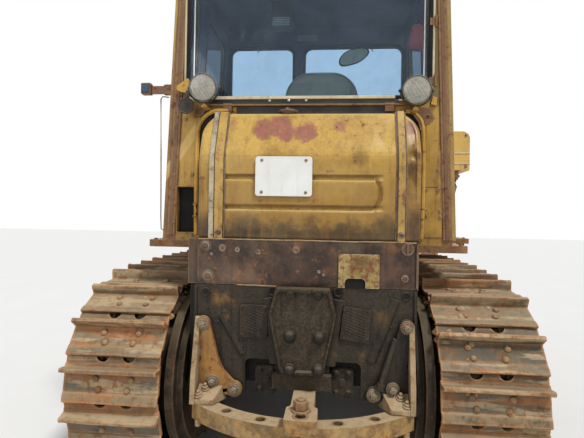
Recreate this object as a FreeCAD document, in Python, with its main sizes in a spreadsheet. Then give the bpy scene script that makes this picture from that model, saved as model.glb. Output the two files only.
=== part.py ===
import FreeCAD, Part
import math
import operator
import os
import Sketcher

# Crawler bulldozer, in millimetres. It faces +Y, +X is its right-hand side and +Z is up.
# Lengths along Y are counted forward from the sprocket shafts. The origin lies on the ground
# under the middle of the machine's length, and "origin_shift" moves everything there.

os.makedirs("parts", exist_ok=True)
doc = FreeCAD.newDocument("bulldozer")
sheet = doc.addObject("Spreadsheet::Sheet", "sizes")

# Driving sizes: name, millimetres (or degrees, or a count), what it measures.
size_table = [
    # crawler tracks
    ("track_gauge", 1880, "between the middles of the two tracks"),
    ("shoe_width", 500, "length of a shoe across the machine"),
    ("link_count", 38, "links in one track"),
    ("shoe_plate", 16, "thickness of a shoe"),
    ("grouser_height", 63, "bar standing out of a shoe"),
    ("grouser_width", 26, "thickness of that bar"),
    ("grouser_place", 134, "that bar from the trailing end of its link"),
    ("rail_outer", 52, "from the pin line out to the shoes"),
    ("rail_inner", 46, "from the pin line in to the rolling face"),
    ("rail_width", 40, "thickness of one link rail"),
    ("rail_spacing", 170, "between the middles of the two rails"),
    ("sprocket_height", 616, "sprocket shaft above the ground"),
    ("sprocket_pins", 440, "radius at which the sprocket carries the pins"),
    ("sprocket_tooth", 28, "tooth tip beyond the pins"),
    ("sprocket_width", 64, "thickness of the toothed ring"),
    ("sprocket_teeth", 27, "teeth of a sprocket"),
    ("tooth_gap", 33, "radius of the seat of a pin"),
    ("idler_pins", 415, "radius at which the idler carries the pins"),
    ("idler_width", 236, "width over both rims of the idler"),
    ("idler_guide", 22, "height of the middle flange of the idler"),
    ("idler_rim", 40, "thickness of the idler's rim"),
    ("idler_hub", 108, "radius of the idler's hub"),
    ("wheelbase", 2517, "from the sprocket to the idler"),
    ("roller_radius", 115, "rolling face of a lower roller"),
    ("roller_flange", 24, "flange of a roller beyond its rolling face"),
    ("roller_width", 214, "width of a roller's rolling face"),
    ("flange_width", 16, "thickness of a roller's flange"),
    ("roller_count", 5, "lower rollers a side"),
    ("roller_play", 0.3, "between the rollers and the rails"),
    ("carrier_play", 6.6, "between the upper rollers and the rails, as the chain bends over them"),
    ("bend_lead", 205, "from the first roller back to where the chain starts to rise"),
    ("chain_start", 25, "first pin short of the point where the chain leaves the sprocket"),
    ("roller_first", 510, "first lower roller ahead of the sprocket"),
    ("roller_last", 1990, "last lower roller ahead of the sprocket"),
    ("carrier_radius", 95, "rolling face of an upper roller"),
    ("carrier_height", 930, "axis of the upper rollers above the ground"),
    ("carrier_first", 700, "first upper roller ahead of the sprocket"),
    ("carrier_last", 1620, "second upper roller ahead of the sprocket"),
    ("shaft_radius", 36, "roller and idler shafts"),
    # track frames
    ("frame_width", 300, "track frame over its side plates"),
    ("frame_plate", 20, "thickness of its side plates"),
    ("frame_bottom", 235, "lower edge of the side plates"),
    ("frame_deck", 442, "underside of the box girder"),
    ("frame_top", 560, "top of the track frame"),
    ("frame_rear", 500, "rear end of the girder"),
    ("frame_front", 2090, "front end of the girder"),
    ("fork_front", 2640, "front end of the idler's forks"),
    ("fork_height", 120, "height of a fork"),
    ("outer_bearing", 105, "radius of the outer bearing of a sprocket"),
    ("brace_width", 150, "diagonal brace of a track frame"),
    # axle case, final drives and gear case
    ("axle_width", 1194, "rear axle case over its ends"),
    ("axle_top", 1160, "top of the axle case"),
    ("axle_rear", 300, "rear face behind the sprocket shafts"),
    ("axle_front", 330, "front face ahead of the sprocket shafts"),
    ("cover_thickness", 60, "cover bolted on the rear face"),
    ("cover_low", 590, "lower edge of the rear cover"),
    ("hitch_side", 20, "middle of the rear cover and of the drawbar's bow, right of the middle"),
    ("notch_inner", 140, "inner edge of the cover's notches from its middle"),
    ("notch_outer", 300, "outer edge of the notches"),
    ("notch_top", 780, "top of the notches"),
    ("block_depth", 40, "blocks in the notches, from front to back"),
    ("block_width", 112, "those blocks across"),
    ("block_top", 735, "top of those blocks"),
    ("block_side", 200, "middle of those blocks from the cover's middle"),
    ("boss_depth", 75, "boss on the cover"),
    ("boss_top_half", 137, "half the width of the boss at its top"),
    ("boss_half", 170, "half its width at its corners"),
    ("boss_corner", 1028, "height of those corners"),
    ("boss_low_half", 108, "half its width at its lower edge"),
    ("boss_low", 728, "lower edge of the boss"),
    ("lid_thickness", 12, "square lids on the cover"),
    ("lid_width", 145, "square lids across"),
    ("lid_low", 892, "lower edge of the square lids"),
    ("lid_height", 168, "height of the square lids"),
    ("lid_side", 264, "middle of the square lids from the cover's middle"),
    ("drive_radius", 452, "rim of a final drive housing"),
    ("drive_rim", 46, "width of that rim"),
    ("drive_depth", 80, "housing inside its rim"),
    ("drive_inner_radius", 330, "housing body outside its rim"),
    ("drive_reach", 190, "housing from the axle case outwards"),
    ("hub_radius", 190, "sprocket hub"),
    ("gear_width", 480, "gear case under the floor"),
    ("gear_bottom", 560, "underside of the gear case"),
    ("gear_top", 1060, "top of the gear case"),
    ("gear_front", 1090, "front of the gear case"),
    # main frame, engine, hood
    ("rail_height", 180, "main frame rail"),
    ("rail_thickness", 100, "width of a main frame rail"),
    ("rail_pitch", 600, "between the middles of the two rails"),
    ("rail_bottom", 680, "underside of the rails"),
    ("nose_front", 2980, "front face of the radiator guard"),
    ("nose_depth", 130, "radiator guard from front to back"),
    ("nose_width", 960, "radiator guard across"),
    ("nose_side", 90, "side posts of the radiator guard"),
    ("nose_top", 2030, "top of the radiator guard"),
    ("nose_head", 120, "height of its top member"),
    ("nose_radius", 70, "rounding of its upper corners"),
    ("grille_bars", 15, "upright bars of the grille"),
    ("grille_bar", 14, "width of a bar"),
    ("engine_width", 480, "engine across"),
    ("engine_bottom", 720, "underside of the engine"),
    ("engine_top", 1640, "top of the engine"),
    ("engine_rear", 1180, "rear of the engine"),
    ("engine_length", 1340, "length of the engine"),
    ("hood_width", 860, "hood across"),
    ("hood_top", 1995, "top of the hood"),
    ("hood_break", 1800, "lower edge of the hood's top"),
    ("hood_bottom", 1190, "lower edge of the side panels"),
    ("hood_rear", 1120, "rear end of the hood"),
    ("hood_radius", 90, "rounding of the hood's upper edges"),
    ("sheet_thickness", 8, "thickness of sheet metal"),
    ("louvre_rows", 12, "slots one above the other in a side panel"),
    ("louvre_groups", 3, "groups of slots along a side panel"),
    ("louvre_length", 340, "length of a slot"),
    ("louvre_gap", 16, "height of a slot"),
    ("guard_bottom", 545, "underside of the belly guards"),
    ("guard_plate", 12, "thickness of the belly guards"),
    ("spring_place", 2210, "equalizer spring ahead of the sprocket"),
    ("spring_width", 130, "equalizer spring from front to back"),
    ("spring_leaf", 18, "thickness of one leaf"),
    ("spring_leaves", 5, "leaves in the spring"),
    ("exhaust_radius", 48, "exhaust pipe"),
    ("exhaust_top", 2880, "top of the exhaust pipe"),
    ("exhaust_place", 2130, "exhaust ahead of the sprocket"),
    ("exhaust_side", 170, "exhaust left of the middle"),
    ("cleaner_radius", 125, "air cleaner"),
    ("cleaner_top", 2400, "top of the air cleaner"),
    ("cleaner_place", 1720, "air cleaner ahead of the sprocket"),
    ("cleaner_side", 190, "air cleaner right of the middle"),
    # cab
    ("cab_base", 1375, "cab floor above the ground"),
    ("cab_roof", 3180, "top of the roof"),
    ("roof_thickness", 80, "thickness of the roof"),
    ("cab_width", 1656, "cab across at its floor"),
    ("cab_tilt", 2.2, "lean of each side wall, degrees"),
    ("cab_rear", 116, "rear face behind the sprocket shafts"),
    ("cab_front", 1100, "front face ahead of the sprocket shafts"),
    ("wall", 36, "thickness of the cab's walls and doors"),
    ("roof_reach", 25, "roof beyond the walls"),
    ("roof_radius", 70, "rounding of the roof's corners"),
    ("rear_sill", 2202, "lower edge of the rear window"),
    ("window_drop", 155, "upper edge of the windows below the roof"),
    ("rear_margin", 138, "rear window from the sides of the cab at its floor"),
    ("hatch_inner", 628, "inner edge of the opening low in the rear wall's left side"),
    ("hatch_outer", 741, "outer edge of that opening"),
    ("hatch_low", 1424, "lower edge of that opening"),
    ("hatch_high", 1686, "upper edge of that opening"),
    ("window_radius", 70, "rounding of the windows' corners"),
    ("front_sill", 2060, "lower edge of the windshield"),
    ("front_post", 84, "post between the two front panes"),
    ("front_post_side", 136, "middle of that post left of the middle"),
    ("front_margin", 48, "front panes from the side walls"),
    ("side_pane", 825, "height of the side windows"),
    ("quarter_rear", 10, "rear edge of the quarter window"),
    ("quarter_front", 240, "front edge of the quarter window"),
    ("door_rear", 330, "rear edge of the doorway"),
    ("door_front", 1030, "front edge of the doorway"),
    ("door_bottom", 1420, "lower edge of the doorway"),
    ("door_gap", 5, "gap around a door"),
    ("knuckle_radius", 11, "door hinge knuckles"),
    ("knuckle_length", 55, "length of one knuckle"),
    ("knuckle_stand", 12, "hinge axis outside the wall"),
    ("hinge_strap", 70, "length of a hinge strap"),
    ("strap_thickness", 6, "thickness of a hinge strap"),
    ("lower_hinge", 1560, "lower hinge above the ground"),
    ("upper_hinge", 340, "upper hinge below the top of the walls"),
    ("door_frame", 95, "door frame around its window"),
    ("glass", 6, "thickness of the panes"),
    ("fit", 0.3, "seating gap of panes and cushions"),
    ("platform_bottom", 1240, "underside of the cab's platform"),
    ("fender_thickness", 40, "fender plates"),
    ("fender_width", 920, "fender's rear part out to this side distance"),
    ("fender_wide", 1262, "fender's front part out to this side distance"),
    ("fender_inner", 480, "inner edge of the fenders"),
    ("fender_front", 1700, "front end of the fenders"),
    # inside the cab
    ("seat_side", 77, "seat right of the middle"),
    ("seat_width", 500, "seat across"),
    ("seat_rise", 585, "top of the cushion above the cab floor"),
    ("seat_rear", 330, "rear edge of the cushion"),
    ("seat_depth", 480, "cushion from back to front"),
    ("cushion", 120, "thickness of the cushions"),
    ("back_rise", 540, "top of the seat's back above the cushion"),
    ("pedestal_width", 360, "seat box across"),
    ("console_depth", 160, "dashboard from front to back"),
    ("console_width", 1000, "dashboard across"),
    ("console_top", 1990, "top of the dashboard"),
    ("console_bottom", 1700, "underside of the dashboard"),
    ("lever_radius", 11, "control levers"),
    ("lever_top", 2140, "top of the levers"),
    ("lever_place", 880, "levers ahead of the sprocket"),
    ("lever_pitch", 130, "between neighbouring levers"),
    ("lever_count", 4, "levers"),
    ("knob_radius", 24, "lever knobs"),
    # fuel tank and what is beside it
    ("tank_overhang", 10, "fuel tank beyond the axle case on each side"),
    ("tank_crease", 1842, "where its rear face starts to lean forward"),
    ("tank_top", 2082, "top of the fuel tank"),
    ("tank_rear", 355, "its rear face behind the sprocket shafts"),
    ("tank_top_rear", 258, "rear edge of its top"),
    ("tank_gap", 24, "between the tank and the cab"),
    ("tank_radius", 130, "rounding of its upper corners"),
    ("tank_edge", 45, "rounding of its lower corners"),
    ("filler_radius", 30, "fuel filler"),
    ("filler_height", 52, "fuel filler above the tank"),
    ("filler_side", 10, "fuel filler left of the middle"),
    ("beam_overhang", 3, "cross beam beyond the axle case on each side"),
    ("beam_top", 1400, "top of the cross beam"),
    ("beam_rear", 362, "its face behind the sprocket shafts"),
    ("beam_depth", 110, "cross beam from front to back"),
    ("plate_width", 288, "number plate"),
    ("plate_height", 206, "number plate"),
    ("plate_low", 1628, "lower edge of the number plate"),
    ("plate_side", 93, "its middle left of the middle"),
    ("plate_gap", 14, "between the plate and the tank"),
    ("oil_tank_gap", 22, "between the cab and the hydraulic tank"),
    ("oil_tank_rear", 1080, "rear face of the hydraulic tank"),
    ("oil_tank_length", 520, "hydraulic tank from back to front"),
    ("oil_tank_top", 2245, "top of the hydraulic tank"),
    ("oil_tank_height", 315, "hydraulic tank from its underside to its top"),
    ("oil_stand_width", 245, "stand that carries it on the fender, across"),
    ("oil_tank_radius", 60, "rounding of its top"),
    # lamps
    ("lamp_radius", 79, "work lamps"),
    ("lamp_depth", 95, "work lamps from front to back"),
    ("rear_lamp_side", 586, "rear lamps beside the middle"),
    ("rear_lamp_height", 2228, "rear lamps above the ground"),
    ("rear_lamp_gap", 30, "between a rear lamp and the cab"),
    ("head_lamp_side", 330, "head lamps beside the middle"),
    ("head_lamp_height", 2140, "head lamps above the ground"),
    ("lamp_arm", 12, "radius of the lamp arms"),
    ("marker_height", 2260, "marker lamp above the ground"),
    ("marker_reach", 989, "outer end of the marker lamp"),
    ("marker_radius", 30, "marker lamp"),
    ("marker_length", 70, "marker lamp"),
    # drawbar
    ("bow_margin", 37, "ends of the drawbar's bow inside the ends of the axle case"),
    ("bow_ends", 420, "ends of the bow behind the sprocket shafts"),
    ("bow_rear", 655, "middle of the bow behind the sprocket shafts"),
    ("bow_depth", 92, "bow from front to back"),
    ("bow_height", 85, "bow, upright"),
    ("bow_top", 566, "top of the bow"),
    ("bow_hole", 24, "radius of its holes"),
    ("bracket_top", 995, "top of the drawbar's brackets"),
    ("bracket_plate", 30, "thickness of their plates"),
    ("bracket_head", 100, "gusset of a bracket across at its top"),
    ("bracket_foot", 285, "gusset of a bracket across at its foot"),
    ("bracket_waist", 640, "height at which the gusset is widest"),
    ("pad_width", 150, "pad of a bracket across"),
    ("drawbar_side", 37, "drawbar right of the middle"),
    ("drawbar_width", 110, "drawbar across"),
    ("drawbar_height", 74, "drawbar, upright"),
    ("drawbar_rear", 745, "rear end behind the sprocket shafts"),
    ("drawbar_hole", 25, "radius of the hitch hole"),
    ("drawbar_hole_place", 700, "hitch hole behind the sprocket shafts"),
    # blade and push arms
    ("arm_pivot_place", 1150, "push arm pivot ahead of the sprocket"),
    ("arm_pivot_height", 430, "push arm pivot above the ground"),
    ("arm_pin", 50, "radius of the pivot pin"),
    ("pin_play", 0.5, "play around pins"),
    ("arm_clearance", 60, "between a push arm and the track"),
    ("arm_width", 160, "push arm across"),
    ("arm_height", 200, "push arm, upright"),
    ("arm_eye", 120, "radius of the arm's eye"),
    ("arm_pad", 30, "plates behind the blade that carry the arms"),
    ("blade_overhang", 190, "blade beyond the push arms on each side"),
    ("blade_height", 1300, "blade, upright"),
    ("blade_clear", 3, "cutting edge above the ground as parked"),
    ("blade_back", 3640, "rear face of the blade's box beams"),
    ("blade_front", 3950, "foremost edge of the blade"),
    ("blade_curve", 1350, "radius of the blade's face"),
    ("blade_skin", 24, "thickness of the blade's face"),
    ("rib_count", 6, "ribs behind the blade"),
    ("rib_width", 24, "thickness of a rib"),
    ("beam_size", 170, "box beams behind the blade"),
    ("edge_height", 200, "height of the cutting edge"),
    ("edge_thickness", 22, "thickness of the cutting edge"),
    ("brace_radius", 42, "screw braces of the blade"),
    ("screw_radius", 59, "sleeve of a screw brace"),
    ("screw_from", 330, "sleeve from the foot of its brace"),
    ("screw_length", 350, "length of the sleeve"),
    ("brace_block", 126, "end blocks of a brace across"),
    ("brace_place", 2750, "foot of a brace ahead of the sprocket"),
    ("brace_top", 1080, "head of a brace above the ground"),
    # lift cylinders
    ("lift_side", 590, "lift cylinders beside the middle"),
    ("trunnion_place", 2985, "trunnions ahead of the sprocket"),
    ("trunnion_height", 1750, "trunnions above the ground"),
    ("trunnion_radius", 30, "trunnion pins"),
    ("barrel_radius", 72, "lift cylinder"),
    ("barrel_ahead", 400, "barrel from its trunnions to its mouth"),
    ("barrel_behind", 860, "barrel from its trunnions to its head"),
    ("barrel_head", 26, "thickness of the barrel's head"),
    ("collar_radius", 84, "trunnion collar"),
    ("collar_length", 120, "trunnion collar"),
    ("rod_radius", 34, "piston rod"),
    ("rod_play", 0.5, "play of the rod in the barrel"),
    ("rod_length", 1416, "rod from its eye to its end inside the barrel"),
    ("eye_radius", 58, "eye of the rod"),
    ("eye_width", 70, "eye of the rod across"),
    ("lug_place", 3530, "eye of the rod ahead of the sprocket"),
    ("lug_height", 470, "eye of the rod above the ground"),
    ("lug_plate", 24, "ears on the blade"),
    ("side_play", 6, "play beside eyes and cheeks"),
    ("cheek", 22, "outer cheeks of the yokes"),
    ("cheek_reach", 72, "cheeks around the trunnion pins"),
    ("yoke_depth", 62, "web of a yoke behind the radiator guard's rear face"),
]


class Size:
    """A number, together with the sheet expression that gives it."""

    def __init__(self, value, text=None):
        self.value = float(value)
        self.text = text or f"({value:g})"

    def joined(self, other, sign, work, turned=False):
        other = as_size(other)
        first, second = (other, self) if turned else (self, other)
        return Size(work(first.value, second.value), f"({first.text} {sign} {second.text})")

    def __add__(self, other):
        return self.joined(other, "+", operator.add)

    def __radd__(self, other):
        return self.joined(other, "+", operator.add, True)

    def __sub__(self, other):
        return self.joined(other, "-", operator.sub)

    def __rsub__(self, other):
        return self.joined(other, "-", operator.sub, True)

    def __mul__(self, other):
        return self.joined(other, "*", operator.mul)

    def __rmul__(self, other):
        return self.joined(other, "*", operator.mul, True)

    def __truediv__(self, other):
        return self.joined(other, "/", operator.truediv)

    def __neg__(self):
        return Size(-self.value, f"(-{self.text})")


class Sizes:
    """The driving sizes by name."""


def as_size(number):
    return number if isinstance(number, Size) else Size(number)


s = Sizes()
for row, (size_name, amount, meaning) in enumerate(size_table, start=1):
    sheet.set(f"A{row}", size_name)
    sheet.set(f"B{row}", str(amount))
    sheet.set(f"C{row}", meaning)
    sheet.setAlias(f"B{row}", size_name)
    setattr(s, size_name, Size(amount, f"sizes.{size_name}"))
doc.recompute()

origin_shift = (s.drawbar_rear - s.blade_front - s.edge_thickness) / 2
s.axle_bottom = s.bow_top + s.drawbar_height
s.bow_half = s.axle_width / 2 - s.bow_margin
s.beam_width = s.axle_width + s.beam_overhang * 2
s.tank_width = s.axle_width + s.tank_overhang * 2
s.cab_top = s.cab_roof - s.roof_thickness
s.window_head = s.cab_top - s.window_drop
s.side_sill = s.window_head - s.side_pane
s.seat_height = s.cab_base + s.seat_rise
s.back_edge = s.seat_height + s.back_rise
s.rear_window = s.cab_width - s.rear_margin * 2
s.oil_tank_inner = s.cab_width / 2 + s.oil_tank_gap
s.arm_inner = (s.track_gauge + s.shoe_width) / 2 + s.arm_clearance
s.blade_width = (s.arm_inner + s.arm_width + s.blade_overhang) * 2
lean = s.cab_tilt.value
slope = math.tan(math.radians(lean))
cos_lean = math.cos(math.radians(lean))
sin_lean = math.sin(math.radians(lean))
pieces = {}


def place(item, x=0, y=0, z=0):
    """Put an object at x, y, z, with y counted from the sprocket shafts."""
    for axis, where in (("x", x), ("y", y + origin_shift), ("z", z)):
        item.setExpression(f".Placement.Base.{axis}", as_size(where).text)


def turn(item, axis, degrees):
    item.Placement.Rotation = FreeCAD.Rotation(FreeCAD.Vector(*axis), degrees)


def box(name, x, y, z):
    """A box from three pairs of sizes, each pair its low and its high end."""
    item = doc.addObject("Part::Box", name)
    for side, (low, high) in (("Length", x), ("Width", y), ("Height", z)):
        item.setExpression(side, (as_size(high) - low).text)
    place(item, x[0], y[0], z[0])
    return item


axis_turns = {"X": ((0, 1, 0), 90), "Y": ((1, 0, 0), -90), "Z": ((0, 0, 1), 0)}


def rod(name, along, radius, start, end, x=0, y=0, z=0):
    """A round bar along one axis, from start to end on that axis."""
    item = doc.addObject("Part::Cylinder", name)
    item.setExpression("Radius", as_size(radius).text)
    item.setExpression("Height", (as_size(end) - start).text)
    turn(item, *axis_turns[along])
    spot = {"X": (start, y, z), "Y": (x, start, z), "Z": (x, y, start)}[along]
    place(item, *spot)
    return item


def joined(name, items):
    item = doc.addObject("Part::MultiFuse", name)
    item.Shapes = items
    return item


def cut(name, base, tool):
    item = doc.addObject("Part::Cut", name)
    item.Base = base
    item.Tool = tool
    return item


def common(name, items):
    item = doc.addObject("Part::MultiCommon", name)
    item.Shapes = items
    return item


def together(name, items):
    """Separate solids that share a node."""
    item = doc.addObject("Part::Compound", name)
    item.Links = items
    return item


def mirrored(name, source):
    item = doc.addObject("Part::Mirroring", name)
    item.Source = source
    item.Base = FreeCAD.Vector(0, 0, 0)
    item.Normal = FreeCAD.Vector(1, 0, 0)
    return item


def draw(sketch, corners):
    """A closed outline, each corner held by its two distances from the sketch's origin."""
    points = [FreeCAD.Vector(as_size(u).value, as_size(v).value, 0) for u, v in corners]
    first = sketch.GeometryCount
    for i, point in enumerate(points):
        sketch.addGeometry(Part.LineSegment(point, points[(i + 1) % len(points)]), False)
    for i, corner in enumerate(corners):
        following = first + (i + 1) % len(points)
        sketch.addConstraint(Sketcher.Constraint("Coincident", first + i, 2, following, 1))
        for kind, distance in zip(("DistanceX", "DistanceY"), corner):
            distance = as_size(distance)
            link = Sketcher.Constraint(kind, -1, 1, first + i, 1, distance.value)
            sketch.setExpression(f"Constraints[{sketch.addConstraint(link)}]", distance.text)


def body_sketch(body, plane, name):
    sketch = body.newObject("Sketcher::SketchObject", name)
    support = [f for f in body.Origin.OriginFeatures if f.Role == plane + "_Plane"]
    sketch.AttachmentSupport = [(support[0], "")]
    sketch.MapMode = "FlatFace"
    return sketch


# A sketch in one of these planes is padded along the axis that the plane leaves out.
pad_axes = {"YZ": "X", "XZ": "Y", "XY": "Z"}


def outline(name, plane, corners, start, depth, holes=(), rounds=()):
    """A plate padded from start by depth. Each hole is an outline, and rounds are (u, v, radius)."""
    axis = "XYZ".index(pad_axes[plane])
    body = doc.addObject("PartDesign::Body", name)
    sketch = body_sketch(body, plane, name + "_outline")
    draw(sketch, corners)
    for hole in holes:
        draw(sketch, hole)
    pad = body.newObject("PartDesign::Pad", name + "_pad")
    pad.Profile = sketch
    pad.setExpression("Length", as_size(depth).text)
    spot = [0, 0, 0]
    backwards = plane == "XZ"
    spot[axis] = as_size(start) + depth if backwards else as_size(start)
    place(body, *spot)
    if rounds:
        sketch.recompute()
        pad.recompute()
        for number, radius in enumerate(dict.fromkeys(r for u, v, r in rounds)):
            spots = [(as_size(u).value, as_size(v).value) for u, v, r in rounds if r is radius]
            fillet_corners(body, f"{name}_round{number}", axis, spots, radius)
    return body


def fillet_corners(body, name, axis, spots, radius):
    """Round the edges that run along one axis through the given points of the outline."""
    base = body.Tip
    kept = [i for i in range(3) if i != axis]
    edges = []
    for number, edge in enumerate(base.Shape.Edges, start=1):
        ends = [vertex.Point for vertex in edge.Vertexes]
        if len(ends) == 2 and all(abs(ends[0][i] - ends[1][i]) < 0.01 for i in kept):
            if any(math.dist(spot, [ends[0][i] for i in kept]) < 0.01 for spot in spots):
                edges.append(f"Edge{number}")
    fillet = body.newObject("PartDesign::Fillet", name)
    fillet.Base = (base, edges)
    fillet.setExpression("Radius", as_size(radius).text)
    fillet.recompute()


def rectangle(u, v):
    return [(u[0], v[0]), (u[1], v[0]), (u[1], v[1]), (u[0], v[1])]


def all_corners(outline_points, radius):
    return [(u, v, radius) for u, v in outline_points]


def turned_part(name, profile):
    """A round part about the X axis, from an outline of (distance along X, radius)."""
    body = doc.addObject("PartDesign::Body", name)
    sketch = body_sketch(body, "XY", name + "_profile")
    draw(sketch, profile)
    turning = body.newObject("PartDesign::Revolution", name + "_turned")
    turning.Profile = sketch
    turning.ReferenceAxis = (sketch, ["H_Axis"])
    turning.Angle = 360
    return body


def keep(name, item, material):
    item.Label = name
    pieces[name] = (item, material)
    return item


def both_sides(name, item, material):
    """Keep a right-hand piece and its mirror image on the left."""
    keep(name + "_right", item, material)
    keep(name + "_left", mirrored(name + "_mirrored", item), material)


def pair(name, item, material):
    """Keep a right-hand piece and its mirror image as one node."""
    keep(name, together(name + "_pair", [item, mirrored(name + "_mirrored", item)]), material)


def middle(size):
    """The low and high end of a width that is centred on the machine."""
    return (-size / 2, size / 2)


track_x = s.track_gauge / 2
pin_height = s.rail_outer + s.shoe_plate + s.grouser_height
idler_height = pin_height + s.idler_pins
roller_height = pin_height + s.rail_inner + s.roller_radius + s.roller_play


# Pin path of a track: circles (y, z, radius) met in turn, over the top and back along the ground.
def pin_path():
    rear_reach = s.roller_radius + s.rail_inner + s.roller_play
    rollers = (s.roller_first - s.bend_lead, roller_height, rear_reach)
    over = s.carrier_radius + s.rail_inner + s.carrier_play
    circles = [
        (0, s.sprocket_height, s.sprocket_pins),
        (s.carrier_first, s.carrier_height, over),
        (s.carrier_last, s.carrier_height, over),
        (s.wheelbase, idler_height, s.idler_pins),
        rollers,
    ]
    circles = [tuple(as_size(value).value for value in circle) for circle in circles]
    normals = []
    for (y0, z0, r0), (y1, z1, r1) in zip(circles, circles[1:] + circles[:1]):
        reach = math.hypot(y1 - y0, z1 - z0)
        normals.append(math.atan2(z1 - z0, y1 - y0) + math.acos((r0 - r1) / reach))
    spans = []
    for i, (y, z, radius) in enumerate(circles):
        swing = (normals[i - 1] - normals[i]) % (2 * math.pi)
        spans.append(("arc", circles[i], normals[i - 1], swing, radius * swing))
        y1, z1, r1 = circles[(i + 1) % len(circles)]
        across = (math.cos(normals[i]), math.sin(normals[i]))
        start = (y + radius * across[0], z + radius * across[1])
        end = (y1 + r1 * across[0], z1 + r1 * across[1])
        spans.append(("line", start, end, None, math.dist(start, end)))
    return spans


def pin_points(count):
    """Pins evenly spaced along the path."""
    spans = pin_path()
    total = sum(span[4] for span in spans)
    pitch = total / count
    points = []
    for number in range(count):
        left = (number * pitch - s.chain_start.value) % total
        for kind, first, second, swing, length in spans:
            if left <= length:
                break
            left -= length
        if kind == "arc":
            angle = second - left / first[2]
            points.append((first[0] + first[2] * math.cos(angle), first[1] + first[2] * math.sin(angle)))
        else:
            share = left / length
            points.append(tuple(a + (b - a) * share for a, b in zip(first, second)))
    return points


def loop_wire(points, x):
    corners = [FreeCAD.Vector(x, y + origin_shift.value, z) for y, z in points]
    return Part.makePolygon(corners + corners[:1])


def offset_points(pins, distance):
    """Corners of the loop that runs outside the pins by a distance, or inside by a negative one."""
    corners = []
    for i, (y, z) in enumerate(pins):
        y0, z0 = pins[i - 1]
        y1, z1 = pins[(i + 1) % len(pins)]
        before = math.atan2(z - z0, y - y0)
        after = math.atan2(z1 - z, y1 - y)
        half = ((after - before + math.pi) % (2 * math.pi) - math.pi) / 2
        way = before + half + math.pi / 2
        reach = distance / math.cos(half)
        corners.append((y + reach * math.cos(way), z + reach * math.sin(way)))
    return corners


def shoe_outline(pins):
    """The outer outline of the shoes: flat plates, each with one upright bar."""
    plate = offset_points(pins, s.rail_outer.value + s.shoe_plate.value)
    points = []
    for i, (y0, z0) in enumerate(plate):
        y1, z1 = plate[(i + 1) % len(plate)]
        length = math.dist((y0, z0), (y1, z1))
        along = ((y1 - y0) / length, (z1 - z0) / length)
        out = (-along[1], along[0])
        points.append((y0, z0))
        near = s.grouser_place.value
        far = near + s.grouser_width.value
        for reach, height in ((near, 0), (near, 1), (far, 1), (far, 0)):
            rise = height * s.grouser_height.value
            points.append((y0 + along[0] * reach + out[0] * rise, z0 + along[1] * reach + out[1] * rise))
    return points


def loop_band(outer, inner, x, width):
    face = Part.Face([loop_wire(outer, x), loop_wire(inner, x)])
    face.validate()
    return face.extrude(FreeCAD.Vector(width, 0, 0))


def track_shape(side):
    pins = pin_points(int(s.link_count.value))
    centre = side * track_x.value
    plates = loop_band(
        shoe_outline(pins),
        offset_points(pins, s.rail_outer.value),
        centre - s.shoe_width.value / 2,
        s.shoe_width.value,
    )
    rails = []
    for way in (-1, 1):
        low = centre + way * s.rail_spacing.value / 2 - s.rail_width.value / 2
        seat = offset_points(pins, s.rail_outer.value + s.shoe_plate.value / 2)
        inside = offset_points(pins, -s.rail_inner.value)
        rails.append(loop_band(seat, inside, low, s.rail_width.value))
    return plates.multiFuse(rails).removeSplitter()


def make_tracks():
    for name, side in (("track_left", -1), ("track_right", 1)):
        track = doc.addObject("Part::Feature", name)
        track.Shape = track_shape(side)
        keep(name, track, "track_steel")


# Sprocket: a toothed ring on a dished disc, its hub reaching in to the final drive.
def make_sprocket():
    tip = s.sprocket_pins + s.sprocket_tooth
    body = doc.addObject("PartDesign::Body", "sprocket_body")
    ring = body_sketch(body, "YZ", "sprocket_ring")
    ring.addGeometry(Part.Circle(FreeCAD.Vector(0, 0, 0), FreeCAD.Vector(0, 0, 1), tip.value), False)
    ring.addConstraint(Sketcher.Constraint("Coincident", 0, 3, -1, 1))
    radius = ring.addConstraint(Sketcher.Constraint("Radius", 0, tip.value))
    ring.setExpression(f"Constraints[{radius}]", tip.text)
    disc = body.newObject("PartDesign::Pad", "sprocket_disc")
    disc.Profile = ring
    disc.Midplane = True
    disc.setExpression("Length", s.sprocket_width.text)
    gap = body_sketch(body, "YZ", "sprocket_gap")
    seat = FreeCAD.Vector(0, s.sprocket_pins.value, 0)
    gap.addGeometry(Part.Circle(seat, FreeCAD.Vector(0, 0, 1), s.tooth_gap.value), False)
    gap.addConstraint(Sketcher.Constraint("PointOnObject", 0, 3, -2))
    lift = gap.addConstraint(Sketcher.Constraint("DistanceY", -1, 1, 0, 3, s.sprocket_pins.value))
    gap.setExpression(f"Constraints[{lift}]", s.sprocket_pins.text)
    size = gap.addConstraint(Sketcher.Constraint("Radius", 0, s.tooth_gap.value))
    gap.setExpression(f"Constraints[{size}]", s.tooth_gap.text)
    pocket = body.newObject("PartDesign::Pocket", "sprocket_pocket")
    pocket.Profile = gap
    pocket.Type = 1
    pocket.Midplane = True
    pattern = body.newObject("PartDesign::PolarPattern", "sprocket_teeth_round")
    pattern.Originals = [pocket]
    axis = [f for f in body.Origin.OriginFeatures if f.Role == "X_Axis"]
    pattern.Axis = (axis[0], [""])
    pattern.Angle = 360
    pattern.setExpression("Occurrences", s.sprocket_teeth.text)
    body.Tip = pattern
    place(body, track_x, 0, s.sprocket_height)
    inner_end = s.axle_width / 2 + s.drive_reach
    outer_end = track_x + s.frame_width / 2 - s.frame_plate
    hub = rod("sprocket_hub", "X", s.hub_radius, inner_end, track_x + s.sprocket_width, 0, 0,
              s.sprocket_height)
    shaft = rod("sprocket_shaft", "X", s.shaft_radius, track_x, outer_end, 0, 0, s.sprocket_height)
    return joined("sprocket", [body, hub, shaft])


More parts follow.
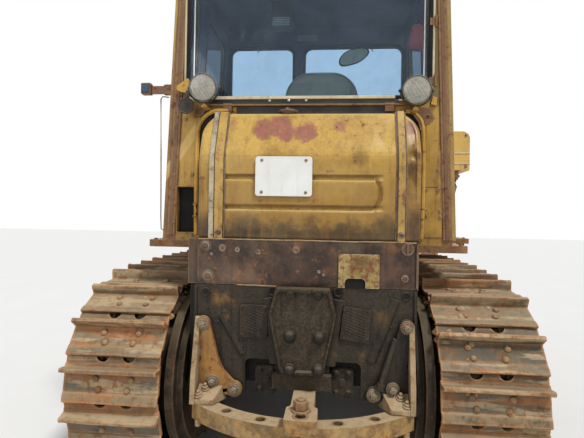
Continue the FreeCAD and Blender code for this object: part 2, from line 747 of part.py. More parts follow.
def make_idler():
    pins = pin_points(int(s.link_count.value))
    half_link = math.dist(pins[0], pins[1]) / 2
    sagitta = s.idler_pins.value - math.sqrt(s.idler_pins.value ** 2 - half_link ** 2)
    rim = s.idler_pins - s.rail_inner - s.roller_play - sagitta
    half = s.idler_width / 2
    guide = s.rail_spacing / 2 - s.rail_width / 2 - s.side_play
    hub = s.frame_width / 2 - s.frame_plate
    web = s.sprocket_width / 2
    rim_inside = rim - s.idler_rim
    profile = [
        (-hub, 0), (-hub, s.shaft_radius), (-half, s.shaft_radius), (-half, s.idler_hub),
        (-web, s.idler_hub), (-web, rim_inside), (-half, rim_inside), (-half, rim),
        (-guide, rim), (-guide, rim + s.idler_guide), (guide, rim + s.idler_guide), (guide, rim),
        (half, rim), (half, rim_inside), (web, rim_inside), (web, s.idler_hub),
        (half, s.idler_hub), (half, s.shaft_radius), (hub, s.shaft_radius), (hub, 0),
    ]
    body = turned_part("idler", profile)
    place(body, track_x, s.wheelbase, idler_height)
    return body


def make_roller(name, radius, flange, y, z, reach):
    half = s.roller_width / 2
    edge = half + s.flange_width
    profile = [
        (-reach, 0), (-reach, s.shaft_radius), (-edge, s.shaft_radius), (-edge, radius + flange),
        (-half, radius + flange), (-half, radius), (half, radius), (half, radius + flange),
        (edge, radius + flange), (edge, s.shaft_radius), (reach, s.shaft_radius), (reach, 0),
    ]
    body = turned_part(name, profile)
    place(body, track_x, y, z)
    return body


def make_running_gear():
    inside = s.frame_width / 2 - s.frame_plate
    count = int(s.roller_count.value)
    step = (s.roller_last - s.roller_first) / (count - 1)
    rollers = [
        make_roller(f"roller_{i}", s.roller_radius, s.roller_flange, s.roller_first + step * i,
                    roller_height, inside)
        for i in range(count)
    ]
    rollers += [
        make_roller(f"carrier_{i}", s.carrier_radius, s.roller_flange, y, s.carrier_height, inside)
        for i, y in enumerate((s.carrier_first, s.carrier_last))
    ]
    pair("track_rollers", together("rollers", rollers), "dirty_steel")
    pair("sprockets", make_sprocket(), "dirty_steel")
    pair("idlers", make_idler(), "dirty_steel")


# Track frame: a box girder over side plates, forks to the idler, an arm to the sprocket's outer
# bearing, posts for the upper rollers, and the bracket of the push arm's pivot.
def make_track_frame():
    half = s.frame_width / 2
    inner = track_x - half
    outer = track_x + half
    girder = box("girder", (inner, outer), (s.frame_rear, s.frame_front), (s.frame_deck, s.frame_top))
    parts = [girder]
    fork_low = idler_height - s.fork_height / 2
    fork_high = idler_height + s.fork_height / 2
    side = [
        (s.roller_first - s.roller_radius, s.frame_bottom),
        (s.roller_last + s.roller_radius, s.frame_bottom),
        (s.roller_last + s.roller_radius, fork_low),
        (s.fork_front, fork_low),
        (s.fork_front, fork_high),
        (s.spring_place + s.spring_width / 2, s.frame_top + s.frame_plate),
        (s.frame_rear, s.frame_top + s.frame_plate),
        (s.roller_first - s.roller_radius, s.frame_deck),
    ]
    for name, start in (("inner", inner), ("outer", outer - s.frame_plate)):
        parts.append(outline(f"{name}_side_plate", "YZ", side, start, s.frame_plate))
    low = s.sprocket_height - s.outer_bearing
    high = s.sprocket_height + s.outer_bearing
    arm = [
        (-s.outer_bearing, low), (s.roller_first - s.roller_radius + s.frame_plate, s.frame_bottom),
        (s.frame_rear + s.frame_width, s.frame_bottom + s.frame_plate),
        (s.frame_rear + s.frame_width, s.frame_top),
        (s.outer_bearing, high), (-s.outer_bearing, high),
    ]
    arm_rounds = [(-s.outer_bearing, low, s.frame_plate), (-s.outer_bearing, high, s.frame_plate)]
    parts.append(outline("bearing_arm", "YZ", arm, outer - s.frame_plate, s.frame_plate * 2, (), arm_rounds))
    for i, y in enumerate((s.carrier_first, s.carrier_last)):
        post_half = s.shaft_radius * 2
        for name, start in (("inner", inner), ("outer", outer - s.frame_plate)):
            low_high = (s.frame_top, s.carrier_height + post_half)
            parts.append(box(f"{name}_post_{i}", (start, start + s.frame_plate),
                             (y - post_half, y + post_half), low_high))
    foot_outer = s.axle_width / 2 - s.drive_rim
    foot_inner = foot_outer - s.brace_width
    foot_rear = s.axle_front - s.brace_width
    brace = [
        (foot_inner, foot_rear), (foot_outer, foot_rear), (foot_outer, s.axle_front),
        (inner, s.frame_rear + s.brace_width * 2), (inner, s.frame_rear + s.brace_width * 3),
        (foot_inner, s.axle_front),
    ]
    parts.append(outline("diagonal_brace", "XY", brace, s.frame_deck, s.frame_top - s.frame_deck))
    parts.append(box("brace_foot_block", (foot_inner, foot_outer), (foot_rear, s.axle_front),
                     (s.frame_top, s.axle_bottom)))
    bracket = rod("pivot_bracket", "X", s.arm_pin * 2, outer, s.arm_inner - s.side_play, 0,
                  s.arm_pivot_place, s.arm_pivot_height)
    pin = rod("pivot_pin", "X", s.arm_pin, outer, s.arm_inner + s.arm_width + s.side_play * 3, 0,
              s.arm_pivot_place, s.arm_pivot_height)
    end = s.arm_inner + s.arm_width + s.side_play
    cap = rod("pivot_cap", "X", s.arm_pin * 1.5, end, end + s.frame_plate, 0,
              s.arm_pivot_place, s.arm_pivot_height)
    return joined("track_frame", parts + [bracket, pin, cap])


def make_equalizer():
    half = s.track_gauge / 2 - s.frame_width / 2 + s.frame_plate
    leaves = []
    for i in range(int(s.spring_leaves.value)):
        reach = half - s.spring_width * i
        low = s.frame_top + s.frame_plate + s.spring_leaf * i
        leaves.append(box(f"leaf_{i}", (-reach, reach),
                          (s.spring_place - s.spring_width / 2, s.spring_place + s.spring_width / 2),
                          (low, low + s.spring_leaf)))
    return joined("equalizer", leaves)


def make_main_frame():
    x = s.rail_pitch / 2
    half = s.rail_thickness / 2
    parts = []
    for name, side in (("left", -1), ("right", 1)):
        middle_x = x * side
        parts.append(box(f"rail_{name}", (middle_x - half, middle_x + half),
                         (s.axle_front, s.nose_front - s.nose_depth),
                         (s.rail_bottom, s.rail_bottom + s.rail_height)))
    leaf_top = s.frame_top + s.frame_plate + s.spring_leaf * s.spring_leaves
    parts.append(box("saddle", (-x - half, x + half),
                     (s.spring_place - s.spring_width / 2, s.spring_place + s.spring_width / 2),
                     (leaf_top, s.engine_bottom)))
    parts.append(box("front_member", middle(s.nose_width),
                     (s.nose_front - s.nose_depth - half, s.nose_front),
                     (s.guard_bottom, s.rail_bottom + s.rail_height)))
    return joined("frame_rails", parts)


def make_belly_guard():
    x = s.rail_pitch / 2 + s.rail_thickness / 2
    gap = s.spring_width
    spans = [
        (s.gear_front, s.spring_place - gap),
        (s.spring_place + gap, s.nose_front - s.nose_depth - s.rail_thickness / 2),
    ]
    guards = []
    for i, span in enumerate(spans):
        high = s.guard_bottom + s.guard_plate
        trough = [
            (-x, s.guard_bottom), (x, s.guard_bottom), (x, s.rail_bottom),
            (x - s.guard_plate, s.rail_bottom), (x - s.guard_plate, high),
            (s.guard_plate - x, high), (s.guard_plate - x, s.rail_bottom), (-x, s.rail_bottom),
        ]
        guards.append(outline(f"belly_{i}", "XZ", trough, span[0], span[1] - span[0]))
    return together("belly_guards", guards)


def make_axle_case():
    half = s.axle_width / 2
    return box("axle_block", (-half, half), (-s.axle_rear, s.axle_front), (s.axle_bottom, s.axle_top))


def make_final_drive():
    start = s.axle_width / 2
    rim_start = start + s.drive_depth - s.drive_rim
    shell = s.drive_radius - s.drive_rim
    parts = [
        rod("drive_shell", "X", shell, start, start + s.drive_depth, 0, 0, s.sprocket_height),
        rod("drive_flange", "X", s.drive_radius, rim_start, start + s.drive_depth, 0, 0, s.sprocket_height),
        rod("drive_body", "X", s.drive_inner_radius, start + s.drive_depth, start + s.drive_reach, 0, 0,
            s.sprocket_height),
    ]
    return joined("drive", parts)


def make_gear_case():
    return box("gear_block", middle(s.gear_width), (s.axle_front, s.gear_front), (s.gear_bottom, s.gear_top))


def make_engine():
    return box("engine_block", middle(s.engine_width), (s.engine_rear, s.engine_rear + s.engine_length),
               (s.engine_bottom, s.engine_top))


def make_hood():
    half = s.hood_width / 2
    t = s.sheet_thickness
    back = s.nose_front - s.nose_depth
    length = back - s.hood_rear
    top = [
        (-half, s.hood_break), (-half, s.hood_top), (half, s.hood_top), (half, s.hood_break),
        (half - t, s.hood_break), (half - t, s.hood_top - t),
        (t - half, s.hood_top - t), (t - half, s.hood_break),
    ]
    outside = [(-half, s.hood_top, s.hood_radius), (half, s.hood_top, s.hood_radius)]
    inside_radius = s.hood_radius - t
    inside = [(t - half, s.hood_top - t, inside_radius), (half - t, s.hood_top - t, inside_radius)]
    shell = outline("hood_shell", "XZ", top, s.hood_rear, length, (), outside + inside)
    keep("hood_top", shell, "yellow_paint")
    margin = s.louvre_length / 6
    group = (length - margin * 2) / s.louvre_groups
    rise = (s.hood_break - s.hood_bottom - margin * 2) / s.louvre_rows
    slots = []
    for column in range(int(s.louvre_groups.value)):
        for row in range(int(s.louvre_rows.value)):
            low_y = s.hood_rear + margin + group * (column + 0.5) - s.louvre_length / 2
            low_z = s.hood_bottom + margin + rise * row
            slots.append(box(f"slot_{column}_{row}", (half - t * 2, half + t),
                             (low_y, low_y + s.louvre_length), (low_z, low_z + s.louvre_gap)))
    sheet_part = box("hood_panel", (half - t, half), (s.hood_rear, back), (s.hood_bottom, s.hood_break))
    panel = cut("louvred_panel", sheet_part, together("slots", slots))
    keep("hood_sides", together("hood_panels", [panel, mirrored("hood_panel_left", panel)]), "yellow_paint")


def make_nose():
    half = s.nose_width / 2
    opening = half - s.nose_side
    low = s.rail_bottom + s.rail_height
    high = s.nose_top - s.nose_head
    shell = rectangle((-half, half), (low, s.nose_top))
    hole = rectangle((-opening, opening), (low + s.nose_side, high))
    rounds = [(-half, s.nose_top, s.nose_radius), (half, s.nose_top, s.nose_radius)]
    guard = outline("nose_frame", "XZ", shell, s.nose_front - s.nose_depth, s.nose_depth, (hole,), rounds)
    keep("radiator_guard", guard, "yellow_paint")
    bars = []
    count = int(s.grille_bars.value)
    pitch = opening * 2 / (count + 1)
    back = s.nose_front - s.nose_depth / 2
    for i in range(count):
        x = pitch * (i + 1) - opening
        bars.append(box(f"bar_{i}", (x - s.grille_bar / 2, x + s.grille_bar / 2),
                        (back, back + s.grille_bar * 2), (low + s.nose_side, high)))
    span = (high - low - s.nose_side) / 3
    for i in (1, 2):
        z = low + s.nose_side + span * i
        bars.append(box(f"cross_bar_{i}", (-opening, opening), (back - s.grille_bar, back),
                        (z - s.grille_bar, z + s.grille_bar)))
    keep("radiator_grille", joined("grille", bars), "yellow_paint")
    core = box("radiator_core", (-opening, opening),
               (s.nose_front - s.nose_depth * 2, s.nose_front - s.nose_depth), (low, high))
    keep("radiator", core, "dark_metal")


def make_pipes():
    pipe = rod("exhaust_riser", "Z", s.exhaust_radius, s.hood_top, s.exhaust_top, -s.exhaust_side,
               s.exhaust_place)
    muffler = rod("exhaust_can", "Z", s.exhaust_radius * 2, s.hood_top + s.exhaust_radius,
                  s.hood_top + s.exhaust_radius * 10, -s.exhaust_side, s.exhaust_place)
    keep("exhaust_pipe", joined("exhaust", [pipe, muffler]), "rusty_steel")
    neck = rod("cleaner_neck", "Z", s.cleaner_radius / 2, s.hood_top, s.cleaner_top, s.cleaner_side,
               s.cleaner_place)
    can = rod("cleaner_can", "Z", s.cleaner_radius, s.hood_top + s.cleaner_radius,
              s.cleaner_top - s.cleaner_radius / 2, s.cleaner_side, s.cleaner_place)
    keep("air_cleaner", joined("cleaner", [neck, can]), "yellow_paint")


def side_plate(name, y, z, thickness, inset, holes=(), rounds=()):
    """A plate of the right-hand cab wall, with heights counted from the floor."""
    corners = rectangle(y, (z[0] - s.cab_base, z[1] - s.cab_base))
    lowered = [rectangle(hy, (hz[0] - s.cab_base, hz[1] - s.cab_base)) for hy, hz in holes]
    round_list = [(u, v - s.cab_base, r) for u, v, r in rounds]
    plate = outline(name, "YZ", corners, 0, thickness, lowered, round_list)
    turn(plate, (0, 1, 0), -lean)
    depth = thickness + inset
    place(plate, s.cab_width / 2 - depth * cos_lean, 0, s.cab_base - depth * sin_lean)
    return plate


def hinge_knuckle(name, y, low):
    """An upright knuckle on the leaning hinge axis, from a height above the floor."""
    item = doc.addObject("Part::Cylinder", name)
    item.setExpression("Radius", s.knuckle_radius.text)
    item.setExpression("Height", s.knuckle_length.text)
    turn(item, (0, 1, 0), -lean)
    x = s.cab_width / 2 + s.knuckle_stand * cos_lean - low * sin_lean
    place(item, x, y, s.cab_base + s.knuckle_stand * sin_lean + low * cos_lean)
    return item


def make_hinges():
    """Straps and knuckles of both hinges: those of the wall, and those of the door above them."""
    y = s.door_rear + s.door_gap / 2
    wall_parts = []
    door_parts = []
    for name, height in (("lower", s.lower_hinge), ("upper", s.cab_top - s.upper_hinge)):
        mid = height - s.cab_base
        for owner, parts, low, span in (
            ("wall", wall_parts, mid - s.knuckle_length, (y - s.hinge_strap, y)),
            ("door", door_parts, mid + s.fit, (y, y + s.hinge_strap)),
        ):
            parts.append(hinge_knuckle(f"{name}_{owner}_knuckle", y, low))
            rise = (low + s.cab_base, low + s.cab_base + s.knuckle_length)
            strap = side_plate(f"{name}_{owner}_strap", span, rise, s.strap_thickness, -s.strap_thickness)
            parts.append(strap)
    return wall_parts, door_parts


def corner_list(spans, radius):
    y, z = spans
    return [(u, v, radius) for u in y for v in z]


def make_side_walls():
    quarter = ((s.quarter_rear, s.quarter_front), (s.side_sill, s.window_head))
    doorway = ((s.door_rear, s.door_front), (s.door_bottom, s.window_head + s.door_frame / 2))
    rounds = corner_list(quarter, s.window_radius) + corner_list(doorway, s.window_radius / 2)
    wall_z = (s.cab_base + s.wall * slope, s.cab_base + (s.cab_top - s.cab_base) / cos_lean)
    wall = side_plate("side_wall", (s.wall - s.cab_rear, s.cab_front - s.wall), wall_z, s.wall, 0,
                      (quarter, doorway), rounds)
    wall_hinges, door_hinges = make_hinges()
    both_sides("cab_wall", joined("hinged_wall", [wall] + wall_hinges), "yellow_paint")
    gap = s.door_gap
    door_y = (s.door_rear + gap, s.door_front - gap)
    door_z = (s.door_bottom + gap, s.window_head + s.door_frame / 2 - gap)
    pane_y = (door_y[0] + s.door_frame, door_y[1] - s.door_frame)
    pane_z = (s.side_sill, door_z[1] - s.door_frame)
    rounds = corner_list((pane_y, pane_z), s.window_radius)
    rounds += corner_list((door_y, door_z), s.window_radius / 2)
    door = side_plate("door_leaf", door_y, door_z, s.wall, 0, ((pane_y, pane_z),), rounds)
    both_sides("door", joined("hinged_door", [door] + door_hinges), "yellow_paint")
    f = s.fit
    pane = side_plate("door_pane", (pane_y[0] + f, pane_y[1] - f), (pane_z[0] + f, pane_z[1] - f),
                      s.glass, s.wall / 2, (),
                      corner_list(((pane_y[0] + f, pane_y[1] - f), (pane_z[0] + f, pane_z[1] - f)),
                                  s.window_radius - f))
    both_sides("door_glass", pane, "glass")
    y, z = quarter
    spans = ((y[0] + f, y[1] - f), (z[0] + f, z[1] - f))
    return side_plate("quarter_pane", spans[0], spans[1], s.glass, s.wall / 2, (),
                      corner_list(spans, s.window_radius - f))


def wall_outline(low, high, inset):
    """A rear or front wall between the two leaning side walls."""
    base = s.cab_width / 2 - inset / cos_lean
    return [
        (-(base - (low - s.cab_base) * slope), low), (base - (low - s.cab_base) * slope, low),
        (base - (high - s.cab_base) * slope, high), (-(base - (high - s.cab_base) * slope), high),
    ]


def make_end_walls(quarter_pane):
    f = s.fit
    rear = wall_outline(s.cab_base, s.cab_top, 0)
    window = rectangle(middle(s.rear_window), (s.rear_sill, s.window_head))
    hatch = rectangle((-s.hatch_outer, -s.hatch_inner), (s.hatch_low, s.hatch_high))
    rounds = all_corners(window, s.window_radius)
    wall = outline("rear_wall", "XZ", rear, -s.cab_rear, s.wall, (window, hatch), rounds)
    keep("cab_rear_wall", wall, "yellow_paint")
    edge = s.cab_width / 2 - s.front_margin - (s.window_head - s.cab_base) * slope
    post = (-s.front_post_side - s.front_post / 2, s.front_post / 2 - s.front_post_side)
    panes = [rectangle((-edge, post[0]), (s.front_sill, s.window_head)),
             rectangle((post[1], edge), (s.front_sill, s.window_head))]
    rounds = all_corners(panes[0] + panes[1], s.window_radius)
    front = outline("front_wall", "XZ", rear, s.cab_front - s.wall, s.wall, panes, rounds)
    keep("cab_front_wall", front, "yellow_paint")
    sheets = [quarter_pane, mirrored("quarter_pane_left", quarter_pane)]
    middle_rear = s.wall / 2 - s.cab_rear - s.glass / 2
    middle_front = s.cab_front - s.wall / 2 - s.glass / 2
    for name, spans, y in (
        ("rear_pane", (middle(s.rear_window), (s.rear_sill, s.window_head)), middle_rear),
        ("front_pane_left", ((-edge, post[0]), (s.front_sill, s.window_head)), middle_front),
        ("front_pane_right", ((post[1], edge), (s.front_sill, s.window_head)), middle_front),
    ):
        u = (spans[0][0] + f, spans[0][1] - f)
        v = (spans[1][0] + f, spans[1][1] - f)
        corners = rectangle(u, v)
        sheets.append(outline(name, "XZ", corners, y, s.glass, (), all_corners(corners, s.window_radius - f)))
    keep("window_glass", together("panes", sheets), "glass")


def make_roof():
    half = s.cab_width / 2 - (s.cab_top - s.cab_base) * slope + s.roof_reach
    plan = rectangle((-half, half), (-s.cab_rear - s.roof_reach, s.cab_front + s.roof_reach))
    rounds = all_corners(plan, s.roof_radius)
    roof = outline("roof_slab", "XY", plan, s.cab_top, s.cab_roof - s.cab_top, (), rounds)
    keep("cab_roof", roof, "yellow_paint")


def make_platform():
    half = s.fender_inner
    deck = box("deck", middle(s.axle_width), (s.wall - s.cab_rear, s.cab_front),
               (s.platform_bottom, s.cab_base - s.fender_thickness))
    foot_length = (s.wall - s.cab_rear, s.axle_front)
    foot = box("deck_foot", (-half, half), foot_length, (s.axle_top, s.platform_bottom))
    front_foot = box("deck_front_foot", middle(s.gear_width), (s.axle_front * 2, s.gear_front),
                     (s.gear_top, s.platform_bottom))
    floor = box("floor_plate", middle(s.fender_inner * 2), (s.wall - s.cab_rear, s.cab_front - s.wall),
                (s.cab_base - s.fender_thickness, s.cab_base))
    keep("cab_floor", joined("platform", [deck, foot, front_foot, floor]), "dark_metal")
    plan = [
        (s.fender_inner, -s.cab_rear), (s.fender_width, -s.cab_rear), (s.fender_width, s.cab_front - s.wall),
        (s.fender_wide, s.cab_front - s.wall), (s.fender_wide, s.fender_front),
        (s.fender_inner, s.fender_front),
    ]
    fender = outline("fender_plate", "XY", plan, s.cab_base - s.fender_thickness, s.fender_thickness, (),
                     [(s.fender_width, -s.cab_rear, s.fender_thickness)])
    both_sides("fender", fender, "yellow_paint")


def make_cab_inside():
    x = (s.seat_side - s.seat_width / 2, s.seat_side + s.seat_width / 2)
    low = s.seat_height - s.cushion
    edge = s.cushion / 4
    base = rectangle(x, (s.seat_rear, s.seat_rear + s.seat_depth))
    cushion = outline("seat_cushion_pad", "XY", base, low, s.cushion, (), all_corners(base, edge))
    back_shape = rectangle(x, (s.seat_height - s.cushion, s.back_edge))
    back = outline("seat_back_pad", "XZ", back_shape, s.seat_rear - s.cushion - s.fit, s.cushion, (),
                   all_corners(back_shape, edge))
    keep("seat_cushions", together("cushions", [cushion, back]), "seat_cloth")
    pedestal = box("seat_box", (s.seat_side - s.pedestal_width / 2, s.seat_side + s.pedestal_width / 2),
                   (s.seat_rear, s.seat_rear + s.seat_depth - s.cushion), (s.cab_base, low - s.fit))
    rest = box("seat_rest", (s.seat_side - s.pedestal_width / 2, s.seat_side + s.pedestal_width / 2),
               (s.seat_rear - s.cushion - s.fit * 2 - s.frame_plate, s.seat_rear - s.cushion - s.fit * 2),
               (low - s.frame_plate - s.fit, s.back_edge - s.cushion))
    link = box("seat_link", (s.seat_side - s.pedestal_width / 2, s.seat_side + s.pedestal_width / 2),
               (s.seat_rear - s.cushion - s.fit * 2 - s.frame_plate, s.seat_rear),
               (low - s.frame_plate - s.fit, low - s.fit))
    keep("seat_frame", joined("seat_carrier", [pedestal, rest, link]), "dark_metal")
    dash_rear = s.cab_front - s.wall - s.console_depth
    dash = box("dashboard", middle(s.console_width), (dash_rear, s.cab_front - s.wall),
               (s.console_bottom, s.console_top))
    levers = [box("lever_rail", (-s.lever_pitch * s.lever_count / 2, s.lever_pitch * s.lever_count / 2),
                  (s.lever_place - s.lever_radius * 3, s.lever_place + s.lever_radius * 3),
                  (s.cab_base, s.cab_base + s.lever_radius * 4))]
    for i in range(int(s.lever_count.value)):
        x_lever = s.lever_pitch * (i + 0.5) - s.lever_pitch * s.lever_count / 2
        levers.append(rod(f"lever_{i}", "Z", s.lever_radius, s.cab_base, s.lever_top, x_lever, s.lever_place))
        levers.append(rod(f"knob_{i}", "Z", s.knob_radius, s.lever_top, s.lever_top + s.knob_radius * 2,
                          x_lever, s.lever_place))
    keep("cab_controls", together("controls", [dash, joined("levers", levers)]), "dark_metal")


def make_fuel_tank():
    half = s.tank_width / 2
    front = -s.cab_rear - s.tank_gap
    bottom = s.beam_top
    side = [
        (-s.tank_rear, bottom), (front, bottom), (front, s.tank_top),
        (-s.tank_top_rear, s.tank_top), (-s.tank_rear, s.tank_crease),
    ]
    rounds = [(-s.tank_rear, bottom, s.tank_edge), (front, bottom, s.tank_edge)]
    length = outline("tank_side_shape", "YZ", side, -half, s.tank_width, (), rounds)
    face = rectangle((-half, half), (bottom, s.tank_top))
    rounds = [(-half, s.tank_top, s.tank_radius), (half, s.tank_top, s.tank_radius),
              (-half, bottom, s.tank_edge), (half, bottom, s.tank_edge)]
    width = outline("tank_rear_shape", "XZ", face, -s.tank_rear, s.tank_rear + front, (), rounds)
    tank = common("tank", [length, width])
    mid_y = (front - s.tank_top_rear) / 2
    filler = rod("filler_cap", "Z", s.filler_radius, s.tank_top, s.tank_top + s.filler_height, -s.filler_side,
                 mid_y)
    keep("fuel_tank", joined("tank_and_filler", [tank, filler]), "yellow_paint")
    beam_front = s.beam_depth - s.beam_rear
    beam = box("beam_bar", middle(s.beam_width), (-s.beam_rear, beam_front), (s.axle_top, s.beam_top))
    floor_link = box("beam_tongue", middle(s.fender_inner * 2), (beam_front, s.wall - s.cab_rear),
                     (s.axle_top, s.cab_base))
    keep("rear_beam", joined("beam", [beam, floor_link]), "rusty_steel")
    x = (-s.plate_side - s.plate_width / 2, s.plate_width / 2 - s.plate_side)
    back = -s.tank_rear - s.plate_gap
    z = (s.plate_low, s.plate_low + s.plate_height)
    sheet_part = box("plate_sheet", x, (back - s.sheet_thickness / 2, back), z)
    stand = box("plate_stand", (x[0] + s.plate_gap * 2, x[1] - s.plate_gap * 2), (back, -s.tank_rear),
                (s.plate_low + s.plate_height / 4, s.plate_low + s.plate_height / 2))
    keep("number_plate", joined("plate", [sheet_part, stand]), "white_plate")


def make_oil_tank():
    rear = s.oil_tank_rear
    underside = s.oil_tank_top - s.oil_tank_height
    stand = s.oil_tank_inner + s.oil_stand_width
    shape = [
        (s.oil_tank_inner, s.cab_base), (stand, s.cab_base), (stand, underside), (s.fender_wide, underside),
        (s.fender_wide, s.oil_tank_top), (s.oil_tank_inner, s.oil_tank_top),
    ]
    rounds = [(x, s.oil_tank_top, s.oil_tank_radius) for x in (s.oil_tank_inner, s.fender_wide)]
    tank = outline("oil_tank", "XZ", shape, rear, s.oil_tank_length, (), rounds)
    keep("hydraulic_tank", tank, "yellow_paint")


def make_lamps():
    rear_face = -s.cab_rear
    lamps = []
    for name, side in (("left", -1), ("right", 1)):
        x = s.rear_lamp_side * side
        lamps.append(rod(f"rear_lamp_{name}", "Y", s.lamp_radius, rear_face - s.rear_lamp_gap - s.lamp_depth,
                         rear_face - s.rear_lamp_gap, x, 0, s.rear_lamp_height))
        lamps.append(rod(f"rear_lamp_arm_{name}", "Y", s.lamp_arm, rear_face - s.rear_lamp_gap, rear_face,
                         x, 0, s.rear_lamp_height - s.lamp_radius / 2))
    heads = []
    for name, side in (("left", -1), ("right", 1)):
        x = s.head_lamp_side * side
        y = s.nose_front - s.nose_depth / 2
        heads.append(rod(f"head_lamp_{name}", "Y", s.lamp_radius, y - s.lamp_depth / 2, y + s.lamp_depth / 2,
                         x, 0, s.head_lamp_height))
        heads.append(rod(f"head_lamp_post_{name}", "Z", s.lamp_arm, s.nose_top, s.head_lamp_height, x, y))
    keep("head_lamps", joined("head_lamp_pair", heads), "dark_metal")
    wall_x = s.cab_width / 2 - (s.marker_height - s.cab_base) * slope
    y = s.wall / 2 - s.cab_rear
    arm = rod("marker_arm", "X", s.lamp_arm, s.marker_length / 2 - s.marker_reach, s.wall / 2 - wall_x,
              0, y, s.marker_height)
    light = rod("marker_light", "X", s.marker_radius, -s.marker_reach, s.marker_length - s.marker_reach,
                0, y, s.marker_height)
    wall_tool = pieces["cab_rear_wall"][0]
    marker = cut("marker", joined("marker_parts", [arm, light]), wall_tool)
    keep("cab_lamps", together("lamps", [joined("rear_lamps", lamps), marker]), "dark_metal")


# The bow is a flat bar bent to one arc through its two ends and its rearmost middle. Its holes are
# given as shares of its half width.
bow_hole_shares = (-0.64, -0.318, 0.329, 0.643)


def make_drawbar():
    rise = s.bow_rear - s.bow_ends
    radius = (s.bow_half * s.bow_half + rise * rise) / (rise * 2)
    centre = radius - s.bow_rear
    low = s.bow_top - s.bow_height
    under = low - s.bow_height
    over = s.bow_top + s.bow_height * 2
    cover_rear = -s.axle_rear - s.cover_thickness
    outer = rod("bow_outer", "Z", radius + s.bow_depth / 2, low, s.bow_top, s.hitch_side, centre)
    inner = rod("bow_inner", "Z", radius - s.bow_depth / 2, under, over, s.hitch_side, centre)
    ring = cut("bow_ring", outer, inner)
    slab = box("bow_slab", (s.hitch_side - s.bow_half, s.hitch_side + s.bow_half),
               (-s.bow_rear - s.bow_depth, cover_rear), (low, s.bow_top))
    holes = []
    for i, share in enumerate(bow_hole_shares):
        x = s.bow_half * share
        y = centre - math.sqrt(radius.value ** 2 - x.value ** 2)
        holes.append(rod(f"bow_hole_{i}", "Z", s.bow_hole, under, over, s.hitch_side + x, y))
    bow = cut("bow", common("bow_bar", [ring, slab]), together("bow_holes", holes))
    keep("drawbar_bow", bow, "dusty_steel")
    x = (s.drawbar_side - s.drawbar_width / 2, s.drawbar_side + s.drawbar_width / 2)
    bar = box("drawbar_bar", x, (-s.drawbar_rear, 0), (s.bow_top, s.bow_top + s.drawbar_height))
    hole = rod("hitch_hole", "Z", s.drawbar_hole, under, over, s.drawbar_side, -s.drawbar_hole_place)
    keep("drawbar", cut("drawbar_cut", bar, hole), "oily_metal")


# A bracket is a gusset on the rear cover, an outer rib that widens downwards, and a pad on the bow.
def make_brackets():
    face = -s.axle_rear - s.cover_thickness
    rear = face - s.bracket_plate
    brackets = []
    for name, side in (("left", -1), ("right", 1)):
        outer = s.hitch_side + s.bow_half * side
        gusset = [
            (outer, s.bracket_top), (outer, s.bow_top), (outer - s.bracket_foot * side, s.bow_top),
            (outer - s.bracket_foot * side, s.bracket_waist), (outer - s.bracket_head * side, s.bracket_top),
        ]
        rib_rear = -s.bow_ends - s.bow_depth / 2
        rib = [
            (rear, s.bracket_top - s.bracket_head), (rear, s.bow_top), (rib_rear, s.bow_top),
            (rib_rear, s.bow_top + s.bracket_plate), (rear - s.bracket_plate, s.bracket_top - s.bracket_head),
        ]
        rib_start = outer - s.bracket_plate if side > 0 else outer
        ends = (outer - s.pad_width, outer) if side > 0 else (outer, outer + s.pad_width)
        brackets.append(joined(f"bracket_{name}", [
            outline(f"gusset_{name}", "XZ", gusset, rear, s.bracket_plate),
            outline(f"rib_{name}", "YZ", rib, rib_start, s.bracket_plate),
            box(f"bracket_pad_{name}", ends, (rib_rear, rear), (s.bow_top, s.bow_top + s.bracket_plate)),
        ]))
    keep("drawbar_brackets", together("brackets", brackets), "oily_metal")


# Rear cover: a thick plate with two notches open at the bottom, a six-sided boss, two square lids
# and the blocks that stand in the notches.
def make_axle_cover():
    mid = s.hitch_side
    half = s.axle_width / 2 - s.hitch_side
    face = -s.axle_rear - s.cover_thickness
    plate = [
        (mid - half, s.axle_top), (mid - half, s.cover_low), (mid - s.notch_outer, s.cover_low),
        (mid - s.notch_outer, s.notch_top), (mid - s.notch_inner, s.notch_top),
        (mid - s.notch_inner, s.axle_bottom), (mid + s.notch_inner, s.axle_bottom),
        (mid + s.notch_inner, s.notch_top), (mid + s.notch_outer, s.notch_top),
        (mid + s.notch_outer, s.cover_low), (mid + half, s.cover_low), (mid + half, s.axle_top),
    ]
    boss = [
        (mid - s.boss_top_half, s.axle_top), (mid - s.boss_half, s.boss_corner),
        (mid - s.boss_low_half, s.boss_low), (mid + s.boss_low_half, s.boss_low),
        (mid + s.boss_half, s.boss_corner), (mid + s.boss_top_half, s.axle_top),
    ]
    parts = [
        outline("cover_plate", "XZ", plate, face, s.cover_thickness),
        outline("cover_boss", "XZ", boss, face - s.boss_depth, s.boss_depth),
    ]
    blocks = []
    for name, side in (("left", -1), ("right", 1)):
        x = mid + s.lid_side * side
        parts.append(box(f"lid_{name}", (x - s.lid_width / 2, x + s.lid_width / 2),
                         (face - s.lid_thickness, face), (s.lid_low, s.lid_low + s.lid_height)))
        x = mid + s.block_side * side
        blocks.append(box(f"notch_block_{name}", (x - s.block_width / 2, x + s.block_width / 2),
                          (-s.axle_rear - s.block_depth, -s.axle_rear), (s.cover_low, s.block_top)))
    keep("axle_cover", together("cover_group", [joined("cover", parts)] + blocks), "oily_metal")


